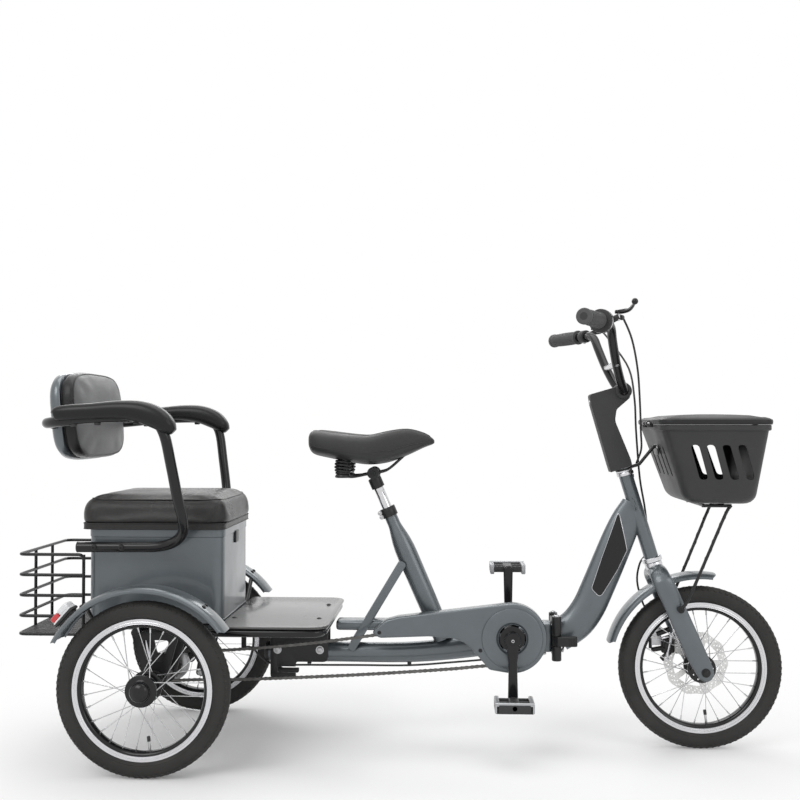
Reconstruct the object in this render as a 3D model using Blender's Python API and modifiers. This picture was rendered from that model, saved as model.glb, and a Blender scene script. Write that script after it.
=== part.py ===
# Folding adult tricycle: one front wheel, two rear wheels, saddle, passenger seat box and baskets.
# Metres, +X forward, +Y to the rider's left, +Z up; origin on the ground at mid length.
import math

import bmesh
import bpy
from mathutils import Matrix, Vector

# General fits
GAP = 0.0003
RUN = 0.0004

# Wheels: 16 x 1.75 tyres on 305 mm rims
TYRE_R = 0.200
TYRE_W = 0.043
RIM_R = 0.160
RIM_W = 0.030
RIM_DEPTH = 0.0115
WHEEL_STEPS = 28
SPOKES = 28
SPOKE_R = 0.0011
VALVE_H = 0.034
LACING = math.radians(30)
AXLE_Z = TYRE_R * math.cos(math.pi / WHEEL_STEPS)
REAR_X = -0.580
WHEELBASE = 1.307
FRONT_X = REAR_X + WHEELBASE
TRACK = 0.580
WHEEL_Y = TRACK / 2

# Hubs and axles
FRONT_FLANGE_R = 0.034
FRONT_FLANGE_Y = 0.024
FRONT_AXLE_R = 0.005
REAR_FLANGE_R = 0.042
REAR_FLANGE_Y = 0.022
FLANGE_T = 0.003
REAR_AXLE_R = 0.0085
DRUM_R = 0.040
CAP_R = 0.027
CAP_OUT = 0.045
HUB_STEPS = 12

# Steering head
HEAD_X = 0.614
HEAD_Z = 0.457
HEAD_LEAN = math.radians(17.0)
HEAD_LEN = 0.232
HEAD_R = 0.0175
STEERER_R = 0.0125
LOCKNUT_H = 0.0055
BRACKET_H = 0.0042
STEM_FOOT = HEAD_LEN + LOCKNUT_H + BRACKET_H + 2 * GAP

# Fork
FORK_HALF = 0.060
LEG_DEEP = 0.024
LEG_THIN = 0.0105
CROWN_H = 0.0165

# Fenders
FENDER_ROOM = 0.0345
FENDER_R = TYRE_R + FENDER_ROOM
FENDER_W = 0.072
FENDER_T = 0.002
FENDER_START = math.radians(35)
FENDER_SWEEP = math.radians(118)
FENDER_STEPS = 12

# Drive: 32 tooth ring, 17 tooth sprocket, half inch chain
PITCH = 0.0127
RING_TEETH = 32
SPROCKET_TEETH = 17
CHAIN_Y = -0.065
CHAIN_H = 0.0082
CHAIN_W = 0.0074
CHAIN_PIN_W = 0.0052
BB_X = 0.262
BB_Z = 0.279
CRANK = 0.140
CRANK_Y = 0.100
CRANK_T = 0.014
BB_HALF = 0.034
BB_R = 0.021
SPINDLE_R = 0.0085
UPPER_SAG = 0.020
STRAIGHT_IN = 0.045
LOWER_SAG = 0.008
PEDAL_L = 0.092
PEDAL_W = 0.072
PEDAL_T = 0.026

# Chain case
CASE_R = 0.084
CASE_WALL = 0.0025
CASE_OUT = -0.084
CASE_IN = -0.048

# Main frame and fold
MAIN_Y = 0.025
FOLD_X = 0.372
FOLD_PIN_Y = 0.047
FOLD_PLATE = 0.010
FOLD_Z0 = 0.219
FOLD_Z1 = 0.327
FOLD_PIN_R = 0.005
KNUCKLE_R = 0.011
LATCH_Y = -0.044
LATCH_R = 0.012
LATCH_EYE_R = 0.0095
LATCH_LOW = 0.2550
LATCH_HIGH = 0.2790
LATCH_REACH = 0.050

# Seat tube, post and saddle
SEAT_X = -0.045
SEAT_Z = 0.585
SEAT_LEAN = math.radians(23.5)
POST_R = 0.0125
NECK_R = 0.0158
SEAT_TUBE_R = 0.0262
SADDLE_HALF = 0.112
POST_TOP = 0.086
POST_IN = 0.140
POST_BORE = 0.200

# Carriage
RAIL_TOP = 0.3207
RAIL_R = 0.0125
RAIL_Y = 0.100
DECK_TUBE_R = 0.010
BOARD_T = 0.006
BOARD_Y = 0.218
BOARD_X0 = -0.428
BOARD_X1 = -0.173
BOARD_CORNER = 0.045

# Seat box
BOX_X0 = -0.757
BOX_X1 = -0.430
BOX_Y = 0.152
BOX_TOP = 0.545
BOX_WALL = 0.003
BOX_CORNER = 0.028
CUSHION_H = 0.066
CUSHION_OVER = 0.022
BAND_H = 0.014

# Arm tubes and backrest
ARM_R = 0.0125
ARM_TOP_Y = 0.289
ARM_END_X = -0.8265
ARM_END_Z = 0.800
BACK_HALF = 0.190
ARM_END_Y = BACK_HALF + 0.002
BACK_LOW = 0.708
BACK_HIGH = 0.928
BACK_LEAN = math.radians(-5.3)

# Wire basket behind the box
CRATE_X = -0.923
CRATE_Y = 0.161
CRATE_FRONT = -0.7645
CRATE_RAILS = (0.485, 0.436, 0.387, 0.338, 0.2945)
WIRE_R = 0.004

# Front basket
BASKET_TOP = 0.796
BASKET_BOTTOM = 0.608
BASKET_X0 = 0.612
BASKET_X1 = 0.862
BASKET_HALF = 0.165
BASKET_WALL = 0.003
LID_T = 0.018

CARRIED = {}


# Helpers

def scene_collection(name):
    made = bpy.data.collections.new(name)
    bpy.context.scene.collection.children.link(made)
    return made


def new_object(mesh, name="piece"):
    made = bpy.data.objects.new(name, mesh)
    WORK.objects.link(made)
    return made


def from_bmesh(bm):
    mesh = bpy.data.meshes.new("piece")
    bmesh.ops.recalc_face_normals(bm, faces=bm.faces[:])
    bm.to_mesh(mesh)
    bm.free()
    return new_object(mesh)


def baked(obj, place=None, merge=1e-5):
    depsgraph = bpy.context.evaluated_depsgraph_get()
    mesh = bpy.data.meshes.new_from_object(obj.evaluated_get(depsgraph))
    bpy.data.objects.remove(obj)
    bm = bmesh.new()
    bm.from_mesh(mesh)
    bmesh.ops.remove_doubles(bm, verts=bm.verts[:], dist=merge)
    bm.normal_update()
    made = from_bmesh(bm)
    if place is not None:
        made.data.transform(place)
    return made


def axis_frame(origin, direction, side=(0, 1, 0)):
    up = Vector(direction).normalized()
    across = Vector(side).cross(up)
    if across.length < 1e-4:
        across = Vector((1, 0, 0)).cross(up)
    across.normalize()
    third = up.cross(across)
    rot = Matrix((across, third, up)).transposed().to_4x4()
    return Matrix.Translation(Vector(origin)) @ rot


def across_frame(x, y, z, turn=0.0):
    rot = Matrix(((1, 0, 0), (0, 0, -1), (0, 1, 0))).transposed().to_4x4()
    return Matrix.Translation((x, y, z)) @ rot @ Matrix.Rotation(turn, 4, "Z")


def side_frame(y):
    rot = Matrix(((1, 0, 0), (0, 0, 1), (0, -1, 0))).transposed().to_4x4()
    return Matrix.Translation((0, y, 0)) @ rot


def box(low, high, bevel=0.0, place=None):
    low, high = Vector(low), Vector(high)
    bm = bmesh.new()
    size = high - low
    move = Matrix.Translation((low + high) / 2) @ Matrix.Diagonal((*size, 1))
    bmesh.ops.create_cube(bm, size=1, matrix=move)
    if bevel:
        bmesh.ops.bevel(bm, geom=bm.edges[:], offset=bevel, segments=1, affect="EDGES")
    made = from_bmesh(bm)
    if place is not None:
        made.data.transform(place)
    return made


def rod(start, end, radius, sides=12, end_radius=None):
    start, end = Vector(start), Vector(end)
    bm = bmesh.new()
    place = axis_frame((start + end) / 2, end - start)
    bmesh.ops.create_cone(bm, cap_ends=True, segments=sides, radius1=radius,
                          radius2=radius if end_radius is None else end_radius,
                          depth=(end - start).length, matrix=place)
    return from_bmesh(bm)


def turned(profile, place, steps=24, loop=True, sweep=math.tau, wall=0.0):
    mesh = bpy.data.meshes.new("profile")
    count = len(profile)
    edges = [(i, (i + 1) % count) for i in range(count if loop else count - 1)]
    edges = [(a, b) for a, b in edges if profile[a][0] > 0 or profile[b][0] > 0]
    mesh.from_pydata([(r, 0, z) for r, z in profile], edges, [])
    obj = new_object(mesh)
    screw = obj.modifiers.new("turn", "SCREW")
    screw.angle = sweep
    screw.steps = steps
    screw.render_steps = steps
    screw.use_merge_vertices = True
    screw.merge_threshold = 1e-5
    if wall:
        solid = obj.modifiers.new("wall", "SOLIDIFY")
        solid.thickness = wall
        solid.offset = 0.0
        solid.use_even_offset = True
    return baked(obj, place)


def tube(points, radius, sides_level=2, radii=None):
    curve = bpy.data.curves.new("run", "CURVE")
    curve.dimensions = "3D"
    curve.bevel_depth = radius
    curve.bevel_resolution = sides_level
    curve.use_fill_caps = True
    spline = curve.splines.new("POLY")
    spline.points.add(len(points) - 1)
    for i, point in enumerate(points):
        spline.points[i].co = (*point, 1)
        if radii:
            spline.points[i].radius = radii[i] / radius
    return baked(new_object(curve))


def six_sided(points, radius):
    return tube(points, radius / math.cos(math.pi / 6), 1)


def slab(outline, thickness, place, holes=(), bevel=0.0):
    curve = bpy.data.curves.new("outline", "CURVE")
    curve.dimensions = "2D"
    curve.fill_mode = "BOTH"
    curve.extrude = thickness / 2
    for loop in (outline, *holes):
        spline = curve.splines.new("POLY")
        spline.points.add(len(loop) - 1)
        spline.use_cyclic_u = True
        for i, point in enumerate(loop):
            spline.points[i].co = (point[0], point[1], 0, 1)
    made = baked(new_object(curve))
    flatten(made)
    if bevel:
        bevelled = made.modifiers.new("edge", "BEVEL")
        bevelled.width = bevel
        bevelled.segments = 1
        bevelled.limit_method = "ANGLE"
        bevelled.angle_limit = math.radians(50)
        made = baked(made)
    made.data.transform(place)
    return made


def flatten(obj, angle=math.radians(0.2)):
    bm = bmesh.new()
    bm.from_mesh(obj.data)
    bmesh.ops.dissolve_limit(bm, angle_limit=angle, verts=bm.verts[:], edges=bm.edges[:])
    bm.to_mesh(obj.data)
    bm.free()


def loft(rings):
    bm = bmesh.new()
    rows = [[bm.verts.new(point) for point in ring] for ring in rings]
    count = len(rows[0])
    for a, b in zip(rows, rows[1:]):
        for i in range(count):
            j = (i + 1) % count
            bm.faces.new((a[i], a[j], b[j], b[i]))
    bm.faces.new(list(reversed(rows[0])))
    bm.faces.new(rows[-1])
    return from_bmesh(bm)


def loose_edges(obj):
    bm = bmesh.new()
    bm.from_mesh(obj.data)
    found = sum(1 for edge in bm.edges if len(edge.link_faces) != 2)
    bm.free()
    return found


def volume(obj):
    bm = bmesh.new()
    bm.from_mesh(obj.data)
    found = bm.calc_volume(signed=True)
    bm.free()
    return found


def solved(base, other, operation, solver):
    copy = new_object(base.data.copy())
    mod = copy.modifiers.new("solid", "BOOLEAN")
    mod.operation = operation
    mod.solver = solver
    mod.object = other
    return baked(copy, merge=2e-6)


def boolean(base, other, operation):
    a, b = volume(base), volume(other)
    low, high = (max(a, b), a + b) if operation == "UNION" else (max(a - b, 0), a)
    made = solved(base, other, operation, "EXACT")
    if not low * 0.999 < volume(made) < high * 1.001 or loose_edges(made):
        bpy.data.objects.remove(made)
        made = solved(base, other, operation, "MANIFOLD")
    bpy.data.objects.remove(base)
    bpy.data.objects.remove(other)
    return made


def join(*solids):
    base = solids[0]
    for other in solids[1:]:
        base = boolean(base, other, "UNION")
    return base


def cut(base, *cutters):
    for other in cutters:
        base = boolean(base, other, "DIFFERENCE")
    return base


def rounded(corners, radius, steps=3):
    points = []
    count = len(corners)
    for i, corner in enumerate(corners):
        before = Vector(corners[i - 1])
        here = Vector(corner)
        after = Vector(corners[(i + 1) % count])
        r = radius[i] if isinstance(radius, (list, tuple)) else radius
        if r <= 0:
            points.append(tuple(here))
            continue
        a = (before - here).normalized()
        b = (after - here).normalized()
        half = a.angle(b) / 2
        reach = min(r / math.tan(half), (before - here).length * 0.49, (after - here).length * 0.49)
        for k in range(steps + 1):
            t = k / steps
            p = here + a * reach * (1 - t) ** 2 + b * reach * t ** 2
            points.append(tuple(p))
    return points


def smooth(points, between=4):
    padded = [points[0], *points, points[-1]]
    vectors = [Vector(p) for p in padded]
    path = []
    for i in range(len(points) - 1):
        p0, p1, p2, p3 = vectors[i:i + 4]
        for k in range(between):
            t = k / between
            path.append(0.5 * ((2 * p1) + (p2 - p0) * t + (2 * p0 - 5 * p1 + 4 * p2 - p3) * t ** 2
                               + (3 * p1 - p0 - 3 * p2 + p3) * t ** 3))
    path.append(vectors[-2])
    return path


def round_bore(radius, sides):
    return (radius + GAP) / math.cos(math.pi / sides)


def circle(x, z, radius, count=16, start=0.0):
    return [(x + radius * math.cos(start + math.tau * i / count),
             z + radius * math.sin(start + math.tau * i / count)) for i in range(count)]


def material(name, colour, roughness, metallic=0.0):
    made = bpy.data.materials.new(name)
    made.use_nodes = True
    shader = made.node_tree.nodes["Principled BSDF"]
    shader.inputs["Base Color"].default_value = (*colour, 1)
    shader.inputs["Roughness"].default_value = roughness
    shader.inputs["Metallic"].default_value = metallic
    return made


FINISHES = {
    "grey": ((0.125, 0.150, 0.170), 0.35, 0.35),
    "black": ((0.018, 0.018, 0.020), 0.38, 0.0),
    "plastic": ((0.030, 0.030, 0.032), 0.50, 0.0),
    "rubber": ((0.025, 0.025, 0.026), 0.75, 0.0),
    "leather": ((0.045, 0.043, 0.042), 0.45, 0.0),
    "board": ((0.060, 0.060, 0.062), 0.55, 0.0),
    "chrome": ((0.75, 0.75, 0.77), 0.12, 1.0),
    "alloy": ((0.62, 0.63, 0.65), 0.30, 1.0),
    "steel": ((0.30, 0.29, 0.27), 0.40, 1.0),
    "red": ((0.55, 0.02, 0.02), 0.25, 0.0),
}


def node(name, solid, finish, body="rear_frame"):
    flatten(solid)
    solid.name = name
    solid.data.name = name
    WORK.objects.unlink(solid)
    PARTS.objects.link(solid)
    solid.data.materials.clear()
    solid.data.materials.append(material(name, *FINISHES[finish]))
    solid.data.shade_smooth()
    solid.data.set_sharp_from_angle(angle=math.radians(32))
    CARRIED.setdefault(body, []).append(solid)
    return solid


def head_point(along, forward=0.0, y=0.0):
    s, c = math.sin(HEAD_LEAN), math.cos(HEAD_LEAN)
    return Vector((HEAD_X - along * s + forward * c, y, HEAD_Z + along * c + forward * s))


def seat_point(along, forward=0.0, y=0.0):
    s, c = math.sin(SEAT_LEAN), math.cos(SEAT_LEAN)
    return Vector((SEAT_X - along * s + forward * c, y, SEAT_Z + along * c + forward * s))


HEAD_UP = Vector((-math.sin(HEAD_LEAN), 0, math.cos(HEAD_LEAN)))
SEAT_UP = Vector((-math.sin(SEAT_LEAN), 0, math.cos(SEAT_LEAN)))


# Wheels

def tyre(x, y):
    half = TYRE_W / 2
    bead = RIM_R + GAP
    section = [(bead, -RIM_W * 0.44), (0.175, -half), (0.191, -half * 0.80), (TYRE_R, -half * 0.26),
               (TYRE_R, half * 0.26), (0.191, half * 0.80), (0.175, half), (bead, RIM_W * 0.44)]
    return turned(section, across_frame(x, y, AXLE_Z, math.pi / WHEEL_STEPS), WHEEL_STEPS)


def spoke_set(x, y, flange_r, flange_y):
    bm = bmesh.new()
    for i in range(SPOKES):
        side = 1 if i % 2 else -1
        leading = (i // 2) % 2
        rim_angle = math.tau * i / SPOKES
        hub_angle = rim_angle + (LACING if leading else -LACING)
        outside = 0.0042 if leading else -0.0030
        start = Vector(((flange_r - 0.004) * math.cos(hub_angle), side * (flange_y + outside),
                        (flange_r - 0.004) * math.sin(hub_angle)))
        reach = RIM_R - RIM_DEPTH + 0.003
        end = Vector((reach * math.cos(rim_angle), side * 0.0015, reach * math.sin(rim_angle)))
        place = axis_frame((start + end) / 2, end - start)
        bmesh.ops.create_cone(bm, cap_ends=True, segments=3, radius1=SPOKE_R, radius2=SPOKE_R,
                              depth=(end - start).length, matrix=place)
    made = from_bmesh(bm)
    made.data.transform(Matrix.Translation((x, y, AXLE_Z)))
    return made


def rim(x, y, flange_r, flange_y):
    half = RIM_W / 2
    inner = RIM_R - RIM_DEPTH
    section = [(RIM_R, -half), (RIM_R, half), (inner, half * 0.65), (inner, -half * 0.65)]
    ring = turned(section, across_frame(x, y, AXLE_Z, math.pi / WHEEL_STEPS), WHEEL_STEPS)
    ring = join(ring, spoke_set(x, y, flange_r, flange_y))
    a = -math.pi / 2 + math.pi / SPOKES
    out = Vector((math.cos(a), 0, math.sin(a)))
    centre = Vector((x, y, AXLE_Z))
    valve = rod(centre + out * (inner + 0.003), centre + out * (inner - VALVE_H), 0.003, 5)
    return join(ring, valve)


def front_hub():
    f, fy, t = FRONT_FLANGE_R, FRONT_FLANGE_Y, FLANGE_T / 2
    bore = FRONT_AXLE_R + RUN
    section = [(bore, -0.047), (0.0135, -0.047), (0.0135, -fy - t), (f, -fy - t), (f, -fy + t),
               (0.0205, -fy + t), (0.0205, fy - t), (f, fy - t), (f, fy + t), (0.0135, fy + t),
               (0.0135, 0.047), (bore, 0.047)]
    return turned(section, across_frame(FRONT_X, 0, AXLE_Z), HUB_STEPS)


def rear_hub_section(bore):
    f, fy, t = REAR_FLANGE_R, REAR_FLANGE_Y, FLANGE_T / 2
    outer = [(0.020, -fy - 0.012), (0.020, -fy - t), (f, -fy - t), (f, -fy + t), (0.026, -fy + t),
             (0.026, fy - t), (f, fy - t), (f, fy + t), (CAP_R, fy + t), (CAP_R, CAP_OUT - 0.012),
             (CAP_R * 0.6, CAP_OUT), (0.0, CAP_OUT)]
    if bore:
        return [(0.0, CAP_OUT - 0.009), (bore, CAP_OUT - 0.009), (bore, -fy - 0.012), *outer]
    return [(0.0, -fy - 0.012), *outer]


def sprocket(teeth, x, y, z, thickness, bore):
    pitch_r = PITCH / (2 * math.sin(math.pi / teeth))
    tip = pitch_r - CHAIN_H / 2 - GAP * 3
    root = tip - 0.0035
    outline = []
    for i in range(teeth):
        base = math.tau * i / teeth
        step = math.tau / teeth
        for share, r in ((0.0, root), (0.38, root), (0.69, tip)):
            a = base + step * share
            outline.append((x + r * math.cos(a), z + r * math.sin(a)))
    holes = [circle(x, z, bore, 16)] if bore else []
    return slab(outline, thickness, side_frame(y), holes)


def build_wheels():
    for name, y, body in (("rear_right", -WHEEL_Y, "drive_axle"), ("rear_left", WHEEL_Y, "free_wheel"),
                          ("front", 0.0, "front_wheel")):
        x = FRONT_X if name == "front" else REAR_X
        flange = (FRONT_FLANGE_R, FRONT_FLANGE_Y) if name == "front" else (REAR_FLANGE_R, REAR_FLANGE_Y)
        node("tyre_" + name, tyre(x, y), "rubber", body)
        node("rim_" + name, rim(x, y, *flange), "alloy", body)
    node("hub_front", front_hub(), "black", "front_wheel")
    left = turned(rear_hub_section(REAR_AXLE_R + RUN), across_frame(REAR_X, WHEEL_Y, AXLE_Z), HUB_STEPS)
    node("hub_rear_left", left, "black", "free_wheel")


def build_rear_axle():
    turn = across_frame(REAR_X, -WHEEL_Y, AXLE_Z) @ Matrix.Rotation(math.pi, 4, "X")
    right = turned(rear_hub_section(0), turn, HUB_STEPS)
    end = WHEEL_Y + CAP_OUT - 0.0094
    shaft = rod((REAR_X, -WHEEL_Y, AXLE_Z), (REAR_X, end, AXLE_Z), REAR_AXLE_R, 12)
    wheel = sprocket(SPROCKET_TEETH, REAR_X, CHAIN_Y, AXLE_Z, 0.004, 0)
    boss = rod((REAR_X, CHAIN_Y - 0.006, AXLE_Z), (REAR_X, -0.030, AXLE_Z), 0.017, 10)
    drum = rod((REAR_X, -0.040, AXLE_Z), (REAR_X, -0.022, AXLE_Z), DRUM_R, 16)
    node("rear_axle", join(shaft, right, wheel, boss, drum), "black", "drive_axle")


def build_rotor():
    centre = (FRONT_X, AXLE_Z)
    windows = []
    for i in range(5):
        a = math.tau * i / 5
        arc = [(0.060, a + 0.18), (0.062, a + 0.58), (0.060, a + 0.98), (0.028, a + 0.86), (0.028, a + 0.40)]
        windows.append([(centre[0] + r * math.cos(t), centre[1] + r * math.sin(t)) for r, t in arc])
    holes = [circle(*centre, 0.0135 + GAP * 2, 14), *windows]
    node("brake_rotor", slab(circle(*centre, 0.080, 24), 0.002, side_frame(0.0405), holes), "alloy",
         "front_wheel")


# Chain, ring, cranks and pedals

def chain_path():
    ring_r = PITCH / (2 * math.sin(math.pi / RING_TEETH))
    small_r = PITCH / (2 * math.sin(math.pi / SPROCKET_TEETH))
    dx, dz = BB_X - REAR_X, BB_Z - AXLE_Z
    span = math.hypot(dx, dz)
    tilt = math.atan2(dz, dx)
    flare = math.asin((ring_r - small_r) / span)
    top = tilt + math.pi / 2 + flare
    low = tilt - math.pi / 2 - flare
    path = []
    for k in range(25):
        a = low + (top - low) * k / 24
        path.append(Vector((BB_X + ring_r * math.cos(a), CHAIN_Y, BB_Z + ring_r * math.sin(a))))
    start = path[-1].copy()
    goal = Vector((REAR_X + small_r * math.cos(top), CHAIN_Y, AXLE_Z + small_r * math.sin(top)))
    for k in range(1, 30):
        t = k / 30
        p = start.lerp(goal, t)
        p.z -= UPPER_SAG * 4 * t * (1 - t)
        path.append(p)
    for k in range(17):
        a = top + (low + math.tau - top) * k / 16
        path.append(Vector((REAR_X + small_r * math.cos(a), CHAIN_Y, AXLE_Z + small_r * math.sin(a))))
    start = path[-1].copy()
    for k in range(1, 30):
        t = k / 30
        p = start.lerp(path[0], t)
        p.z -= LOWER_SAG * 4 * t * (1 - t)
        path.append(p)
    return path


def along_loop(path, count):
    loop = path + [path[0]]
    lengths = [0.0]
    for a, b in zip(loop, loop[1:]):
        lengths.append(lengths[-1] + (b - a).length)
    total = lengths[-1]
    out = []
    seg = 0
    for i in range(count):
        s = total * i / count
        while lengths[seg + 1] < s:
            seg += 1
        t = (s - lengths[seg]) / (lengths[seg + 1] - lengths[seg])
        out.append(loop[seg].lerp(loop[seg + 1], t))
    return out


def build_chain():
    path = chain_path()
    loop = path + [path[0]]
    total = sum((b - a).length for a, b in zip(loop, loop[1:]))
    links = 2 * round(total / PITCH / 2)
    points = along_loop(path, links)
    bm = bmesh.new()
    rows = []
    for i, here in enumerate(points):
        run = (points[(i + 1) % links] - points[i - 1]).normalized()
        straight = REAR_X + STRAIGHT_IN < here.x < BB_X - STRAIGHT_IN
        if straight and i % 2:
            continue
        width = CHAIN_W / 2 if (i // 2 if straight else i) % 2 else CHAIN_PIN_W / 2
        up = Vector((-run.z, 0, run.x))
        rows.append([bm.verts.new(here + up * (h * CHAIN_H / 2) + Vector((0, w * width, 0)))
                     for h, w in ((1, 1), (1, -1), (-1, -1), (-1, 1))])
    for i, row in enumerate(rows):
        after = rows[(i + 1) % len(rows)]
        for k in range(4):
            j = (k + 1) % 4
            bm.faces.new((row[k], row[j], after[j], after[k]))
    node("chain", from_bmesh(bm), "steel")


def crank_arm(sign, angle):
    outline = []
    for x, r, first in ((0.0, 0.016, 90), (CRANK, 0.012, 270)):
        for k in range(6):
            a = math.radians(first + 36 * k)
            outline.append((x + r * math.cos(a), r * math.sin(a)))
    turn = Matrix.Translation((BB_X, 0, BB_Z)) @ Matrix.Rotation(-angle, 4, "Y")
    return slab(outline, CRANK_T, turn @ side_frame(sign * (CRANK_Y + CRANK_T / 2)), (), 0.0015)


def pedal(sign, z):
    y0 = sign * (CRANK_Y + CRANK_T + 0.006)
    y1 = y0 + sign * PEDAL_W
    low, high = min(y0, y1), max(y0, y1)
    body = box((BB_X - PEDAL_L / 2, low, z - PEDAL_T / 2), (BB_X + PEDAL_L / 2, high, z + PEDAL_T / 2),
               0.005)
    for side in (-1, 1):
        edge = sorted((side * 0.014, side * (PEDAL_L / 2 - 0.012)))
        window = box((BB_X + edge[0], low + 0.010, z - 0.03), (BB_X + edge[1], high - 0.010, z + 0.03))
        body = cut(body, window)
    bore = rod((BB_X, y0 - sign * 0.01, z), (BB_X, y1 - sign * 0.008, z), 0.0055 + RUN, 12)
    return cut(body, bore)


def build_cranks():
    ring = sprocket(RING_TEETH, BB_X, CHAIN_Y, BB_Z, 0.003, 0)
    spindle = rod((BB_X, -CRANK_Y - CRANK_T - 0.003, BB_Z), (BB_X, BB_HALF + 0.012, BB_Z), SPINDLE_R, 12)
    boss = rod((BB_X, CHAIN_Y - 0.006, BB_Z), (BB_X, -BB_HALF - 0.003, BB_Z), 0.020, 12)
    low_z, high_z = BB_Z - CRANK, BB_Z + CRANK
    far = CRANK_Y + CRANK_T + 0.006 + PEDAL_W - 0.009
    pin = rod((BB_X, -CRANK_Y - 0.004, low_z), (BB_X, -far, low_z), 0.0055, 12)
    right = join(crank_arm(-1, -math.pi / 2), spindle, boss, ring, pin)
    node("crank_right", right, "black", "cranks")
    pin = rod((BB_X, CRANK_Y + 0.004, high_z), (BB_X, far, high_z), 0.0055, 12)
    stub = rod((BB_X, BB_HALF + 0.0123, BB_Z), (BB_X, CRANK_Y + 0.006, BB_Z), 0.0125, 12)
    node("crank_left", join(crank_arm(1, math.pi / 2), stub, pin), "black", "cranks")
    node("pedal_right", pedal(-1, low_z), "plastic", "pedal_right")
    node("pedal_left", pedal(1, high_z), "plastic", "pedal_left")


def build_chain_case():
    front = [(BB_X + CASE_R * math.cos(a), BB_Z + CASE_R * math.sin(a))
             for a in (math.radians(92 - 24 * k) for k in range(9))]
    outline = [*front, (0.206, 0.203), (0.196, 0.216), (0.152, 0.266), (0.120, 0.278), (0.060, 0.282),
               (-0.059, 0.277), (-0.081, 0.290), (-0.044, 0.321), (-0.015, 0.329)]
    depth = CASE_IN - CASE_OUT
    shell = slab(outline, depth, side_frame((CASE_IN + CASE_OUT) / 2), (), 0.004)
    inside_r = CASE_R - 0.006
    inside = [(BB_X + inside_r * math.cos(a), BB_Z + inside_r * math.sin(a))
              for a in (math.radians(92 - 24 * k) for k in range(9))]
    inside += [(0.206, 0.190), (0.150, 0.180), (0.150, 0.2725), (0.060, 0.287), (-0.010, 0.262),
               (-0.120, 0.262), (-0.120, 0.3130), (-0.015, 0.3235)]
    mid = (CASE_OUT + CASE_WALL + CASE_IN + 0.005) / 2
    hollow = slab(inside, CASE_IN + 0.005 - CASE_OUT - CASE_WALL, side_frame(mid))
    hole = rod((BB_X, -0.2, BB_Z), (BB_X, 0.0, BB_Z), 0.034, 16)
    rib = turned([(0.0345, 0.0), (0.074, 0.0), (0.072, 0.004), (0.037, 0.004)],
                 across_frame(BB_X, CASE_OUT + 0.0005, BB_Z) @ Matrix.Rotation(math.pi, 4, "X"), 18)
    boss = rod((0.185, CASE_OUT + 0.001, 0.248), (0.185, -MAIN_Y - GAP, 0.248), 0.006, 8)
    node("chain_case", join(cut(shell, hollow, hole), rib, boss), "grey")


# Main frame and fold

def oval_run(stations, count=10):
    rings = []
    for i, (x, z, deep, wide) in enumerate(stations):
        before = stations[max(i - 1, 0)]
        after = stations[min(i + 1, len(stations) - 1)]
        run = Vector((after[0] - before[0], 0, after[1] - before[1])).normalized()
        up = Vector((-run.z, 0, run.x))
        ring = []
        for k in range(count):
            a = math.tau * (k + 0.5) / count
            ring.append(Vector((x, 0, z)) + up * (deep * math.cos(a)) + Vector((0, wide * math.sin(a), 0)))
        rings.append(ring)
    return loft(rings)


def build_main_frame():
    stations = [(-0.345, 0.226, 0.024, MAIN_Y), (0.0, 0.227, 0.025, MAIN_Y), (0.12, 0.238, 0.027, MAIN_Y),
                (0.26, 0.262, 0.033, MAIN_Y), (FOLD_X - FOLD_PLATE - GAP * 2, 0.271, 0.038, MAIN_Y)]
    main = oval_run(stations)
    seat_tube = turned([(0, -0.352), (0.0240, -0.352), (SEAT_TUBE_R, -0.130), (SEAT_TUBE_R - 0.001, -0.100),
                        (0.021, -0.070), (NECK_R, -0.048), (NECK_R, 0.004), (0, 0.004)],
                       axis_frame((SEAT_X, 0, SEAT_Z), SEAT_UP), 12)
    shell = rod((BB_X, -BB_HALF, BB_Z), (BB_X, BB_HALF, BB_Z), BB_R, 14)
    stay = box((-0.1725, -MAIN_Y, 0.284), (0.075, MAIN_Y, 0.309), 0.004)
    lug = box((FOLD_X - FOLD_PLATE - 0.020, -0.031, 0.236), (FOLD_X - FOLD_PLATE - GAP, 0.031, 0.306), 0.003)
    frame = join(main, seat_tube, shell, stay, lug)
    top, foot = Vector((-0.004, 0, 0.455)), Vector((-0.136, 0, 0.236))
    for sign in (-1, 1):
        lean = axis_frame((top + foot) / 2, top - foot)
        half = (top - foot).length / 2
        brace = box((-0.010, sign * 0.0265 - 0.0025, -half), (0.010, sign * 0.0265 + 0.0025, half), 0,
                    lean)
        frame = join(frame, brace)
    bore = rod(seat_point(-POST_BORE), seat_point(0.02), POST_R + GAP, 12)
    spindle = rod((BB_X, -0.1, BB_Z), (BB_X, 0.1, BB_Z), SPINDLE_R + 0.004, 10)
    beyond = box((FOLD_X - FOLD_PLATE - GAP, -0.1, 0.1), (FOLD_X + 0.1, 0.1, 0.4))
    node("main_frame", cut(frame, bore, spindle, beyond), "grey")


def fold_knuckle(z0, z1):
    return rod((FOLD_X, FOLD_PIN_Y, z0), (FOLD_X, FOLD_PIN_Y, z1), KNUCKLE_R, 10)


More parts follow.
